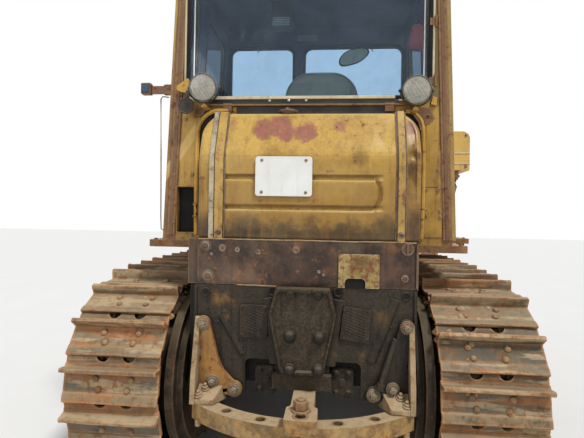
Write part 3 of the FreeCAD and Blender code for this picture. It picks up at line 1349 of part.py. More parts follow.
# Blade: a hollow face bent to one arc, box beams and ribs behind it, the ears of the lift cylinders.
def make_blade():
    half = s.blade_width / 2
    low = s.blade_clear + s.edge_thickness
    high = s.blade_clear + s.blade_height
    mid = (low + high) / 2
    half_chord = (high - low).value / 2
    centre = s.blade_front + math.sqrt(s.blade_curve.value ** 2 - half_chord ** 2)
    outer = rod("blade_outer", "X", s.blade_curve + s.blade_skin, -half, half, 0, centre, mid)
    inner = rod("blade_inner", "X", s.blade_curve, -half - s.blade_skin, half + s.blade_skin, 0, centre, mid)
    slab = box("blade_slab", (-half, half), (s.blade_back, s.blade_front), (low, high))
    skin = common("blade_skin_part", [cut("blade_shell", outer, inner), slab])
    depth = (s.blade_back, s.blade_front)
    low_beam = s.blade_clear + s.edge_height / 2
    high_beam = high - s.beam_size / 2
    frame = [
        box("lower_beam", (-half, half), depth, (low_beam, low_beam + s.beam_size)),
        box("upper_beam", (-half, half), depth, (high_beam - s.beam_size, high_beam)),
    ]
    count = int(s.rib_count.value)
    for i in range(count):
        x = (s.blade_width - s.rib_width) * i / (count - 1) - half
        frame.append(box(f"blade_rib_{i}", (x, x + s.rib_width), depth, (low_beam, high_beam)))
    ear = [
        (s.lug_place - s.eye_radius, s.lug_height - s.eye_radius),
        (s.blade_back, low_beam), (s.blade_front, low_beam),
        (s.blade_front, s.lug_height + s.eye_radius * 4), (s.blade_back, s.lug_height + s.eye_radius * 3),
        (s.lug_place - s.eye_radius, s.lug_height + s.eye_radius),
    ]
    rounds = [(*ear[0], s.rod_radius), (*ear[5], s.rod_radius)]
    for side_name, side in (("left", -1), ("right", 1)):
        for way in (-1, 1):
            x = s.lift_side * side + (s.eye_width / 2 + s.side_play + s.lug_plate / 2) * way
            name = f"ear_{side_name}_{'outer' if way == side else 'inner'}"
            frame.append(outline(name, "YZ", ear, x - s.lug_plate / 2, s.lug_plate, (), rounds))
            head = x + s.lug_plate / 2 * way
            ends = (head, head + s.side_play * 2) if way > 0 else (head - s.side_play * 2, head)
            frame.append(rod(name + "_pin", "X", s.rod_radius, *ends, 0, s.lug_place, s.lug_height))
        x = (s.arm_inner + s.arm_width / 2) * side
        reach = s.arm_width / 2 + s.arm_pad
        frame.append(box(f"arm_pad_{side_name}", (x - reach, x + reach),
                         (s.blade_back, s.blade_back + s.arm_pad), (low_beam, high_beam)))
    backing = cut("blade_frame", joined("blade_frame_raw", frame), common("blade_backing", [outer, slab]))
    keep("blade", joined("blade_parts", [skin, backing]), "blade_steel")
    high_edge = s.blade_clear + s.edge_height
    low_face = s.blade_front
    high_face = centre - math.sqrt(s.blade_curve.value ** 2 - (high_edge - mid).value ** 2)
    edge = [
        (low_face, s.blade_clear), (low_face + s.edge_thickness, s.blade_clear),
        (high_face + s.edge_thickness, high_edge), (high_face, high_edge), (low_face, low),
    ]
    keep("cutting_edge", outline("edge_bar", "YZ", edge, -half, s.blade_width), "worn_steel")


# Push arms: a box beam with a bored eye on its pivot pin, and a screw brace up to the blade.
def make_arms():
    x = (s.arm_inner, s.arm_inner + s.arm_width)
    z = (s.arm_pivot_height - s.arm_height / 2, s.arm_pivot_height + s.arm_height / 2)
    beam = box("arm_beam", x, (s.arm_pivot_place, s.blade_back), z)
    eye = rod("arm_eye_ring", "X", s.arm_eye, *x, 0, s.arm_pivot_place, s.arm_pivot_height)
    bore = rod("arm_bore", "X", s.arm_pin + s.pin_play, x[0] - s.arm_pin, x[1] + s.arm_pin,
               0, s.arm_pivot_place, s.arm_pivot_height)
    pair("push_arms", cut("arm", joined("arm_solid", [beam, eye]), bore), "yellow_paint")
    foot = z[1] + s.brace_radius
    run = s.blade_back - s.brace_radius - s.brace_place
    rise = s.brace_top - foot
    length = math.hypot(run.value, rise.value)
    angle = math.degrees(math.atan2(run.value, rise.value))
    centre_x = s.arm_inner + s.arm_width / 2
    tube = rod("brace_tube", "Z", s.brace_radius, foot, foot + length, centre_x, s.brace_place)
    screw = rod("brace_screw", "Z", s.screw_radius, foot + s.screw_from, foot + s.screw_from + s.screw_length,
                centre_x, s.brace_place)
    bar = joined("brace_bar", [tube, screw])
    swing(bar, -angle, s.brace_place, foot)
    ends = []
    blocks = (("foot", s.brace_place, foot), ("head", s.blade_back - s.brace_radius, s.brace_top))
    for name, y, height in blocks:
        ends.append(box(f"brace_{name}", (centre_x - s.brace_block / 2, centre_x + s.brace_block / 2),
                        (y - s.brace_radius, y + s.brace_radius),
                        (height - s.brace_radius, height + s.brace_radius)))
    pair("blade_braces", joined("brace", [bar] + ends), "yellow_paint")


def swing(item, degrees, y, z):
    """Turn a finished piece about a line along X through y, z."""
    centre = FreeCAD.Vector(0, (as_size(y) + origin_shift).value, as_size(z).value)
    turning = FreeCAD.Rotation(FreeCAD.Vector(1, 0, 0), degrees)
    item.Placement = FreeCAD.Placement(FreeCAD.Vector(0, 0, 0), turning, centre)


# Lift cylinders: drawn upright through their trunnions and then leaned towards the blade.
def make_cylinders():
    reach = (s.lug_place - s.trunnion_place).value
    drop = (s.trunnion_height - s.lug_height).value
    rest_length = math.hypot(reach, drop)
    angle = math.degrees(math.atan2(reach, drop))
    x = s.lift_side
    y = s.trunnion_place
    z = s.trunnion_height
    inner = x - s.collar_radius - s.side_play
    outer = x + s.collar_radius + s.side_play
    tube = rod("barrel_tube", "Z", s.barrel_radius, z - s.barrel_ahead, z + s.barrel_behind, x, y)
    collar = rod("barrel_collar", "Z", s.collar_radius, z - s.collar_length / 2, z + s.collar_length / 2, x, y)
    gland = rod("barrel_gland", "Z", s.collar_radius, z - s.barrel_ahead,
                z - s.barrel_ahead + s.collar_length / 2, x, y)
    pins = rod("barrel_pins", "X", s.trunnion_radius, s.nose_width / 2 + s.side_play, outer + s.cheek,
               0, y, z)
    hollow = rod("barrel_hollow", "Z", s.rod_radius + s.rod_play, z - s.barrel_ahead - s.rod_radius,
                 z + s.barrel_behind - s.barrel_head, x, y)
    barrel = cut("barrel", joined("barrel_solid", [tube, collar, gland, pins]), hollow)
    swing(barrel, angle, y, z)
    both_sides("lift_barrel", barrel, "yellow_paint")
    foot = z - rest_length
    shank = rod("rod_shank", "Z", s.rod_radius, foot, foot + s.rod_length, x, y)
    eye = rod("rod_eye", "X", s.eye_radius, x - s.eye_width / 2, x + s.eye_width / 2, 0, y, foot)
    piston_rod = joined("piston_rod", [shank, eye])
    swing(piston_rod, angle, y, z)
    both_sides("lift_rod", piston_rod, "bright_steel")
    side = [
        (s.nose_front - s.nose_depth - s.yoke_depth, z - s.cheek_reach * 2), (y, z - s.cheek_reach * 2),
        (y + s.cheek_reach, z - s.cheek_reach), (y + s.cheek_reach, z + s.cheek_reach),
        (s.nose_front - s.nose_depth - s.yoke_depth, z + s.cheek_reach),
    ]
    cheeks = [
        outline("inner_cheek", "YZ", side, s.nose_width / 2, inner - s.nose_width / 2),
        outline("outer_cheek", "YZ", side, outer, s.cheek),
        box("yoke_web", (s.nose_width / 2, outer + s.cheek),
            (s.nose_front - s.nose_depth - s.yoke_depth, s.nose_front - s.nose_depth),
            (z - s.cheek_reach * 2, z - s.pin_play)),
    ]
    bore = rod("yoke_bore", "X", s.trunnion_radius + s.rod_play, s.nose_width / 2, outer + s.cheek * 2,
               0, y, z)
    pair("cylinder_yokes", cut("yoke", joined("yoke_solid", cheeks), bore), "yellow_paint")


make_tracks()
make_running_gear()
both_sides("track_frame", make_track_frame(), "dirty_steel")
keep("equalizer_spring", make_equalizer(), "dirty_steel")
keep("main_frame", make_main_frame(), "dirty_steel")
keep("belly_guard", make_belly_guard(), "dirty_steel")
keep("axle_case", make_axle_case(), "oily_metal")
pair("final_drives", make_final_drive(), "oily_metal")
keep("gear_case", make_gear_case(), "oily_metal")
keep("engine", make_engine(), "oily_metal")
make_hood()
make_nose()
make_pipes()
quarter_pane = make_side_walls()
make_end_walls(quarter_pane)
make_roof()
make_platform()
make_cab_inside()
make_fuel_tank()
make_oil_tank()
make_lamps()
make_drawbar()
make_brackets()
make_axle_cover()
make_blade()
make_arms()
make_cylinders()

doc.recompute()
for item in doc.Objects:
    if "Invalid" in item.State or "Error" in item.State:
        raise RuntimeError(f"{item.Label} failed")
for name, (item, material) in pieces.items():
    shape = item.Shape
    if shape.isNull() or not shape.isValid():
        raise RuntimeError(f"{name} has no valid shape")
    shape.exportStep(f"parts/{name}.step")
print(len(pieces), "pieces written")
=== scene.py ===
import bpy
import bmesh
import math
import random
from mathutils import Matrix, Vector, noise
from mathutils.geometry import tessellate_polygon


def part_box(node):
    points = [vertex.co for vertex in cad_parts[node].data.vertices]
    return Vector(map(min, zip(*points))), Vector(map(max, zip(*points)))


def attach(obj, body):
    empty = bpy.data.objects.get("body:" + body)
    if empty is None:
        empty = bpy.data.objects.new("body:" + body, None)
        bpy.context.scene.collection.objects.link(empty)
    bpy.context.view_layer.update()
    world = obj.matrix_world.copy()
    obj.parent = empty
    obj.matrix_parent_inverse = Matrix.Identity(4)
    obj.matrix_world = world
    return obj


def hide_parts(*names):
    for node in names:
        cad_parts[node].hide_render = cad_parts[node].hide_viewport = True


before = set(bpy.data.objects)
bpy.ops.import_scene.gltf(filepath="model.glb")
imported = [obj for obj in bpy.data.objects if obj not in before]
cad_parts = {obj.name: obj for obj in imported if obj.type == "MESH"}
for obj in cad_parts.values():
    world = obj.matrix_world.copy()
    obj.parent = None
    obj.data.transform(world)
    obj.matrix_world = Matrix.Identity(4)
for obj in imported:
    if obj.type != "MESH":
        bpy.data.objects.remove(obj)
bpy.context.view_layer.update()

sprocketLow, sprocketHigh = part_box("sprockets")
shaftY = (sprocketLow.y + sprocketHigh.y) / 2  # the sprocket shafts, from which lengths are counted
print("frame loaded, sprocket shafts at", round(shaftY, 4))


# Places are given in millimetres: x to the right, y ahead of the sprocket shafts, z above the ground.
def at(x, y, z):
    return Vector((x / 1000, y / 1000 + shaftY, z / 1000))


def tone(red, green, blue):
    def linear(part):
        part = part / 255
        return part / 12.92 if part <= 0.04045 else ((part + 0.055) / 1.055) ** 2.4
    return (linear(red), linear(green), linear(blue), 1.0)


def wobble(x, y, z, size, seed=0):
    return noise.noise(Vector((x / size + seed * 7.3, y / size, z / size)))


class Finish:

    def __init__(self, name):
        self.material = bpy.data.materials.new(name)
        self.material.use_nodes = True
        self.tree = self.material.node_tree
        self.tree.nodes.clear()
        self.place = self.node("ShaderNodeTexCoord").outputs["Object"]
        self.geometry = self.node("ShaderNodeNewGeometry")

    def node(self, kind, **settings):
        item = self.tree.nodes.new(kind)
        for key, value in settings.items():
            setattr(item, key, value)
        return item

    def feed(self, socket, value):
        if isinstance(value, bpy.types.NodeSocket):
            self.tree.links.new(value, socket)
        else:
            socket.default_value = tone(*value) if isinstance(value, tuple) and len(value) == 3 else value

    def noise(self, size, detail=5, rough=0.6, stretch=(1, 1, 1), bend=0.0, shift=0.0):
        mapping = self.node("ShaderNodeMapping")
        self.feed(mapping.inputs["Vector"], self.place)
        mapping.inputs["Scale"].default_value = stretch
        mapping.inputs["Location"].default_value = (shift, shift * 1.7, -shift)
        item = self.node("ShaderNodeTexNoise")
        self.feed(item.inputs["Vector"], mapping.outputs["Vector"])
        item.inputs["Scale"].default_value = 1 / size
        item.inputs["Detail"].default_value = detail
        item.inputs["Roughness"].default_value = rough
        item.inputs["Distortion"].default_value = bend
        return item.outputs["Fac"]

    def cells(self, size, shift=0.0):
        mapping = self.node("ShaderNodeMapping")
        self.feed(mapping.inputs["Vector"], self.place)
        mapping.inputs["Location"].default_value = (shift, -shift, shift)
        item = self.node("ShaderNodeTexVoronoi")
        self.feed(item.inputs["Vector"], mapping.outputs["Vector"])
        item.inputs["Scale"].default_value = 1 / size
        return item.outputs["Distance"]

    def spread(self, value, low, high, start=0.0, end=1.0):
        item = self.node("ShaderNodeMapRange", interpolation_type="SMOOTHSTEP")
        self.feed(item.inputs["Value"], value)
        for key, number in (("From Min", low), ("From Max", high), ("To Min", start), ("To Max", end)):
            item.inputs[key].default_value = number
        return item.outputs["Result"]

    def sum(self, kind, first, second, clamp=False):
        item = self.node("ShaderNodeMath", operation=kind, use_clamp=clamp)
        self.feed(item.inputs[0], first)
        self.feed(item.inputs[1], second)
        return item.outputs["Value"]

    def times(self, first, second):
        return self.sum("MULTIPLY", first, second)

    def plus(self, first, second, clamp=False):
        return self.sum("ADD", first, second, clamp)

    def blend(self, share, first, second, kind="MIX"):
        item = self.node("ShaderNodeMix", data_type="RGBA", blend_type=kind)
        self.feed(item.inputs["Factor"], share)
        self.feed(item.inputs[6], first)
        self.feed(item.inputs[7], second)
        return item.outputs[2]

    def edges(self, width):
        rounded = self.node("ShaderNodeBevel", samples=4)
        rounded.inputs["Radius"].default_value = width
        dot = self.node("ShaderNodeVectorMath", operation="DOT_PRODUCT")
        self.feed(dot.inputs[0], rounded.outputs["Normal"])
        self.feed(dot.inputs[1], self.geometry.outputs["True Normal"])
        return self.spread(dot.outputs["Value"], 0.995, 0.85)

    def corners(self, reach):
        shade = self.node("ShaderNodeAmbientOcclusion", samples=6, only_local=False)
        shade.inputs["Distance"].default_value = reach
        return self.spread(shade.outputs["AO"], 0.85, 0.25)

    def facing(self, axis, low, high):
        parts = self.node("ShaderNodeSeparateXYZ")
        self.feed(parts.inputs["Vector"], self.geometry.outputs["Normal"])
        return self.spread(parts.outputs[axis], low, high)

    def along(self, axis):
        parts = self.node("ShaderNodeSeparateXYZ")
        self.feed(parts.inputs["Vector"], self.place)
        return parts.outputs[axis]

    def spot(self, x, y, z, reach, soft=0.5, ragged=0.3, shift=0.0):
        middle = self.node("ShaderNodeVectorMath", operation="DISTANCE")
        self.feed(middle.inputs[0], self.place)
        middle.inputs[1].default_value = at(x, y, z)
        rough = self.times(self.noise(0.06, 6, 0.7, shift=shift + 3), ragged)
        far = self.plus(middle.outputs["Value"], rough)
        edge = (reach + ragged * 500) / 1000
        return self.spread(far, edge, edge * (1 - soft))

    def bump(self, height, depth, normal=None):
        item = self.node("ShaderNodeBump")
        item.inputs["Strength"].default_value = 1.0
        item.inputs["Distance"].default_value = depth
        self.feed(item.inputs["Height"], height)
        if normal is not None:
            self.feed(item.inputs["Normal"], normal)
        return item.outputs["Normal"]

    def surface(self, colour, roughness, normal=None, **fixed):
        shader = self.node("ShaderNodeBsdfPrincipled")
        self.feed(shader.inputs["Base Color"], colour)
        self.feed(shader.inputs["Roughness"], roughness)
        if normal is not None:
            self.feed(shader.inputs["Normal"], normal)
        for key, value in fixed.items():
            self.feed(shader.inputs[key.replace("_", " ")], value)
        return self.shine(shader.outputs["BSDF"])

    def shine(self, shader):
        output = self.node("ShaderNodeOutputMaterial")
        self.feed(output.inputs["Surface"], shader)
        return self.material


slots = {}


# A look from another one, or from nothing: up to seven colours in this order, the rest by name.
def look(base, *tones, **more):
    return {**base, **dict(zip(("coat", "second", "third", "bare", "rust", "grimeAndShade", "dust"), tones)), **more}


# One recipe for everything old on this machine: a coat of two tones, what shows where it is worn,
# rust, grime that runs down, painted shade that darkens corners by ambient occlusion, and dust that lies on what
# faces up.
def weathered(name, kind, extra=None):
    f = Finish(name)
    slots[name] = kind["slot"]
    broad = f.noise(kind.get("patchSize", 0.22), 6, 0.62, shift=kind.get("shift", 0))
    fine = f.noise(kind.get("grainSize", 0.012), 6, 0.7, shift=1.3)
    middle = f.noise(0.05, 6, 0.65, shift=2.1)
    colour = f.blend(f.spread(broad, 0.35, 0.68), kind["coat"], kind["second"])
    colour = f.blend(f.times(f.spread(fine, 0.3, 0.75), kind.get("speckle", 0.25)), colour, kind["third"])
    if extra:
        colour = extra(f, colour)
    worn = kind.get("worn", 0.5)
    wide = f.edges(kind.get("edgeWidth", 0.006))
    ragged = f.times(wide, f.spread(middle, 0.62 - worn * 0.4, 0.72 - worn * 0.25))
    colour = f.blend(f.times(ragged, kind.get("edgeShare", 0.85)), colour, kind["bare"])
    chips = f.spread(f.plus(f.noise(0.035, 8, 0.75, shift=5), f.times(broad, 0.35)),
        0.86 - kind.get("rustShare", 0.1), 0.92 - kind.get("rustShare", 0.1) * 0.8)
    colour = f.blend(f.times(chips, kind.get("rustDepth", 0.8)), colour, kind["rust"])
    runs = f.noise(0.03, 5, 0.6, (1, 1, 0.07), shift=4)
    streaks = f.spread(f.plus(f.times(runs, 0.7), f.times(middle, 0.3)), 0.5, 0.66)
    grimeAndShade = f.times(streaks, kind.get("streaks", 0.3))
    # painted shade: ambient occlusion darkens corners and recesses in the same colour as the grime streaks
    cornerShade = f.times(f.corners(kind.get("cornerReach", 0.07)), kind.get("corner", 0.7))
    grimeAndShade = f.sum("MAXIMUM", grimeAndShade, cornerShade)
    colour = f.blend(grimeAndShade, colour, kind["grimeAndShade"])
    dusty = f.times(f.facing("Z", 0.35, 0.95), f.spread(broad, 0.2, 0.6, 0.5, 1.0))
    dusty = f.times(dusty, kind.get("dustShare", 0.6))
    haze = f.times(f.spread(f.noise(0.3, 7, 0.7, shift=8), 0.42, 0.7), kind.get("haze", 0.1))
    colour = f.blend(f.sum("MAXIMUM", dusty, haze), colour, kind["dust"])
    low, high = kind.get("roughness", (0.45, 0.75))
    rough = f.spread(f.plus(f.times(fine, 0.5), f.times(broad, 0.5)), 0.3, 0.7, low, high)
    rough = f.sum("MAXIMUM", rough, f.times(f.sum("MAXIMUM", dusty, chips), 0.85))
    height = f.plus(f.times(fine, kind.get("grain", 0.4)), f.times(middle, 0.5))
    height = f.sum("SUBTRACT", height, f.times(chips, 0.35))
    return f.surface(colour, rough, f.bump(height, kind.get("bumpDepth", 0.0012)), Metallic=kind.get("metal", 0.0),
        Specular_IOR_Level=kind.get("gloss", 0.25))


oldPaint = look({}, (198, 154, 62), (176, 130, 48), (214, 176, 92), (124, 78, 56), (112, 62, 40), (86, 62, 36),
    (202, 172, 122), speckle=0.3, worn=0.62, rustShare=0.1, streaks=0.42, corner=0.62, dustShare=0.35,
    roughness=(0.34, 0.6), haze=0.12, gloss=0.32, bumpDepth=0.0008, slot="yellow_paint")
pillarPaint = look(oldPaint, (98, 70, 52), (116, 82, 58), (140, 106, 72), (158, 122, 70), (92, 52, 38), streaks=0.35,
    rustShare=0.16, worn=0.75, edgeWidth=0.014, edgeShare=0.9, haze=0.08)
beamRust = look(oldPaint, (56, 41, 32), (84, 57, 43), (106, 82, 60), (190, 160, 134), (140, 90, 52), (42, 34, 29),
    (176, 150, 120), rustShare=0.09, speckle=0.35, streaks=0.45, worn=0.7, patchSize=0.12, roughness=(0.36, 0.62),
    slot="rusty_steel")
oilCoat = look({}, (20, 19, 18), (34, 30, 26), (62, 53, 42), (92, 78, 60), (96, 72, 42), (9, 9, 8), (120, 106, 86),
    speckle=0.5, worn=0.5, rustShare=0.05, rustDepth=0.55, streaks=0.6, corner=0.9, cornerReach=0.12, dustShare=0.55,
    roughness=(0.34, 0.75), grain=0.9, bumpDepth=0.004, haze=0.1, gloss=0.2, patchSize=0.13, slot="oily_metal")
dustySteel = look({}, (156, 132, 100), (122, 96, 68), (184, 160, 126), (150, 108, 72), (124, 78, 44), (56, 45, 33),
    (190, 168, 132), speckle=0.5, worn=0.6, rustShare=0.15, streaks=0.35, corner=0.8, dustShare=0.5,
    roughness=(0.6, 0.9), bumpDepth=0.0016, haze=0.2, patchSize=0.1, slot="dusty_steel")
shoeSteel = look({}, (92, 88, 76), (106, 94, 74), (136, 124, 104), (196, 136, 84), (134, 84, 44), (34, 29, 23),
    (168, 148, 116), speckle=0.55, worn=1.0, rustShare=0.16, rustDepth=0.7, streaks=0.3, corner=0.9, cornerReach=0.09,
    dustShare=0.42, roughness=(0.42, 0.75), bumpDepth=0.0018, haze=0.16, edgeWidth=0.018, edgeShare=1.0,
    patchSize=0.14, slot="track_steel")
gearSteel = look(shoeSteel, (50, 42, 34), (70, 57, 45), (104, 88, 68), (120, 94, 70), (104, 66, 42), (20, 17, 14),
    worn=0.6, edgeShare=0.6, rustShare=0.1, dustShare=0.4, cornerReach=0.16, slot="dirty_steel")
boltRust = look(shoeSteel, (134, 94, 60), (110, 78, 54), bare=(196, 160, 118), worn=0.8, edgeWidth=0.003,
    cornerReach=0.02, patchSize=0.05, slot="rusty_steel")
bladePaint = look(oldPaint, (182, 140, 60), (150, 112, 52), bare=(120, 104, 90), worn=0.9, rustShare=0.2, streaks=0.5)
moldboardSteel = look({}, (132, 120, 108), (110, 92, 76), (158, 148, 138), (176, 168, 158), (140, 88, 52),
    (74, 58, 44), (176, 154, 124), speckle=0.4, worn=0.8, rustShare=0.16, streaks=0.45, corner=0.6, dustShare=0.4,
    roughness=(0.3, 0.55), metal=0.7, bumpDepth=0.0008, patchSize=0.3, haze=0.2, slot="blade_steel")
edgeSteel = look(moldboardSteel, (146, 138, 130), (124, 112, 102), metal=0.85, rustShare=0.1, slot="worn_steel")
blackPaint = look({}, (40, 40, 40), (52, 50, 47), (70, 66, 60), (112, 96, 80), (96, 62, 44), (22, 20, 18),
    (150, 134, 110), speckle=0.3, worn=0.55, rustShare=0.08, streaks=0.3, corner=0.6, dustShare=0.5,
    roughness=(0.4, 0.65), haze=0.14, bumpDepth=0.0006, slot="dark_metal")
exhaustRust = look(beamRust, (94, 58, 42), (70, 46, 36), (140, 84, 52), rustShare=0.25, roughness=(0.7, 0.95),
    streaks=0.2, dustShare=0.3)
cabinPaint = look({}, (56, 72, 94), (48, 62, 82), (78, 92, 108), (110, 104, 94), (96, 72, 56), (34, 38, 44),
    (128, 124, 116), speckle=0.2, worn=0.3, rustShare=0.04, streaks=0.25, corner=0.6, dustShare=0.5,
    roughness=(0.5, 0.75), haze=0.12, slot="dark_metal")

yellowFinish = weathered("oldYellowPaint", oldPaint)
pillarFinish = weathered("brownPillarPaint", pillarPaint)
beamFinish = weathered("rustyBeamPaint", beamRust)
oilFinish = weathered("oilyCasting", oilCoat)
dustyFinish = weathered("dustySteel", dustySteel)


# Each shoe has its own share of scoured grey, rust and pale dust.
def shoeMarks(f, colour):
    own = f.geometry.outputs["Random Per Island"]
    colour = f.blend(f.spread(own, 0.42, 0.1, 0, 0.6), colour, (44, 41, 35))
    colour = f.blend(f.spread(own, 0.62, 0.95, 0, 0.5), colour, (158, 132, 96))
    earth = f.spread(f.noise(0.13, 6, 0.7, shift=41), 0.5, 0.64, 0, 0.6)
    colour = f.blend(earth, colour, (116, 96, 66))
    dark = f.spread(f.noise(0.09, 7, 0.7, shift=43), 0.52, 0.66, 0, 0.6)
    colour = f.blend(dark, colour, (40, 36, 30))
    for size, shift, share, shade in ((0.1, 51, 0.7, (160, 100, 54)), (0.08, 57, 0.6, (194, 170, 132))):
        bands = f.spread(f.noise(size, 6, 0.65, (0.14, 1, 1), shift=shift), 0.52, 0.6, 0, share)
        colour = f.blend(bands, colour, shade)
    return colour


def boltMarks(f, colour):
    own = f.geometry.outputs["Random Per Island"]
    return f.blend(f.spread(own, 0.3, 0.9, 0, 0.6), colour, (166, 126, 84))


shoeFinish = weathered("trackShoeSteel", shoeSteel, shoeMarks)
gearFinish = weathered("earthySteel", gearSteel)
driveFinish = weathered("finalDrivePaint", look(gearSteel, (30, 25, 21), (44, 35, 28), (84, 66, 48),
    rust=(112, 54, 40), rustShare=0.12, dustShare=0.3, gloss=0.12))
boltFinish = weathered("rustyBolts", boltRust, boltMarks)
sprocketPaintFinish = weathered("sprocketRimPaint", look(gearSteel, (150, 58, 50), (122, 50, 44), (134, 74, 60),
    (120, 62, 50), rustShare=0.1, dustShare=0.2, haze=0.1))
# the pale edge colour of these bolts is partly worn steel and partly a painted highlight on their rims
beamBoltFinish = weathered("beamBolts", look(boltRust, (66, 50, 41), (88, 62, 50), (120, 94, 74), (206, 196, 178),
    edgeWidth=0.003, edgeShare=0.9))
fenderFinish = weathered("fenderPaint", look(oldPaint, (134, 98, 52), (88, 62, 38), (164, 124, 72), (186, 118, 66),
    rustShare=0.2, streaks=0.6, corner=0.8))
bladeFinish = weathered("bladePaint", bladePaint)
moldboardFinish = weathered("scouredBladeFace", moldboardSteel)
edgeFinish = weathered("cuttingEdgeSteel", edgeSteel)
blackFinish = weathered("dullBlackPaint", blackPaint)
exhaustFinish = weathered("exhaustRust", exhaustRust)
cabinFinish = weathered("cabLining", cabinPaint)
print("metal finishes made")

sides = ((-1, "left"), (1, "right"))
# how an outline's two values and its depth become x, y and z
planes = {"YZ": lambda u, v, w: (w, u, v), "XZ": lambda u, v, w: (u, w, v), "XY": lambda u, v, w: (u, v, w)}


# Shapes are drawn in millimetres and moved to the frame when they are finished.
class Shape:

    def __init__(self):
        self.mesh = bmesh.new()

    def faces(self, points, faces):
        made = [self.mesh.verts.new(point) for point in points]
        for face in faces:
            try:
                self.mesh.faces.new([made[i] for i in face])
            except ValueError:
                pass
        return made

    def box(self, x, y, z, turn=None):
        corners = [(a, b, c) for a in x for b in y for c in z]
        made = self.faces(corners, [(0, 1, 3, 2), (4, 6, 7, 5), (0, 4, 5, 1), (2, 3, 7, 6), (0, 2, 6, 4),
            (1, 5, 7, 3)])
        return self.turned(made, turn)

    def turned(self, made, turn):
        if turn:
            axis, degrees, middle = turn
            spin = Matrix.Rotation(math.radians(degrees), 4, axis)
            middle = Vector(middle)
            for vert in made:
                vert.co = middle + spin @ (vert.co - middle)
        return made

    # A plate from an outline in two axes, with holes, standing between two values on the third.
    def plate(self, outline, plane, start, end, holes=(), turn=None):
        order = planes[plane]
        loops = [list(outline)] + [list(hole) for hole in holes]
        flat = [point for loop in loops for point in loop]
        caps = tessellate_polygon([[Vector((u, v, 0)) for u, v in loop] for loop in loops])
        points = [order(u, v, w) for w in (start, end) for u, v in flat]
        count = len(flat)
        faces = [tuple(cap) for cap in caps] + [tuple(i + count for i in reversed(cap)) for cap in caps]
        first = 0
        for loop in loops:
            for i in range(len(loop)):
                a, b = first + i, first + (i + 1) % len(loop)
                faces.append((a, b, b + count, a + count))
            first += len(loop)
        return self.turned(self.faces(points, faces), turn)

    # Rings of points joined one to the next, closed at both ends unless left open.
    def skin(self, rings, closed=True, capped=True):
        made = [[self.mesh.verts.new(point) for point in ring] for ring in rings]
        for ring, following in zip(made, made[1:]):
            span = len(ring) if closed else len(ring) - 1
            for i in range(span):
                j = (i + 1) % len(ring)
                self.mesh.faces.new((ring[i], ring[j], following[j], following[i]))
        if capped:
            self.mesh.faces.new(list(reversed(made[0])))
            self.mesh.faces.new(made[-1])
        return [vert for ring in made for vert in ring]

    # A round part from (distance, radius) pairs along a line.
    def lathe(self, start, toward, profile, sides=24, capped=True):
        start, toward = Vector(start), Vector(toward).normalized()
        side = toward.orthogonal().normalized()
        other = toward.cross(side)
        rings = []
        for distance, radius in profile:
            rings.append([start + toward * distance + (side * math.cos(a) + other * math.sin(a)) * max(radius, 0.01)
                for a in (2 * math.pi * i / sides for i in range(sides))])
        return self.skin(rings, True, capped)

    def rod(self, start, end, radius, sides=16, chamfer=0.0):
        start, end = Vector(start), Vector(end)
        length = (end - start).length
        profile = [(0, radius), (length, radius)]
        if chamfer:
            profile = [(0, radius - chamfer), (chamfer, radius), (length - chamfer, radius),
                (length, radius - chamfer)]
        return self.lathe(start, end - start, profile, sides)

    # A bar of one section swept through points, turning evenly at each.
    def sweep(self, points, radius, sides=10, flat=1.0, upright=(0, 0, 1)):
        points = [Vector(point) for point in points]
        rings = []
        for i, point in enumerate(points):
            before = points[max(i - 1, 0)]
            after = points[min(i + 1, len(points) - 1)]
            toward = (after - before).normalized()
            side = toward.cross(Vector(upright))
            side = side.normalized() if side.length > 0.001 else toward.orthogonal().normalized()
            other = side.cross(toward).normalized()
            rings.append([point + side * math.cos(a) * radius + other * math.sin(a) * radius * flat
                for a in (2 * math.pi * (k + 0.5) / sides for k in range(sides))])
        return self.skin(rings)

    # A hexagon head on its washer, or a domed and rusted one.
    def bolt(self, place, outward, size, height=None, washer=True, spin=0.0, domed=False):
        place, outward = Vector(place), Vector(outward).normalized()
        height = height or size * 0.7
        if washer:
            self.lathe(place - outward * 2, outward, [(0, size * 1.35), (2 + size * 0.16, size * 1.35),
                (2 + size * 0.22, size * 1.25)], 16)
        side = outward.orthogonal().normalized()
        other = outward.cross(side)
        share = 0.86 if domed else 0.95
        rings = []
        steps = [(-1, 1), (height * 0.82, 1), (height, share)]
        if domed:
            steps = [(-1, 1.06), (height * 0.45, 1), (height * 0.8, 0.8), (height, 0.45)]
        for distance, part in steps:
            count = 12 if domed else 6
            rings.append([place + outward * (distance + size * 0.15) + (side * math.cos(a) + other * math.sin(a))
                * size * part for a in (spin + 2 * math.pi * k / count for k in range(count))])
        return self.skin(rings)

    # Bolts in a circle about a line along x.
    def boltRing(self, x, y, z, radius, count, way, size, height, washer=True, turn=0.0):
        for k in range(count):
            a = 2 * math.pi * (k + turn) / count
            self.bolt((x, y + radius * math.cos(a), z + radius * math.sin(a)), (way, 0, 0), size, height, washer, k)

    def welded(self, reach=0.01):
        bmesh.ops.remove_doubles(self.mesh, verts=self.mesh.verts, dist=reach)
        return self

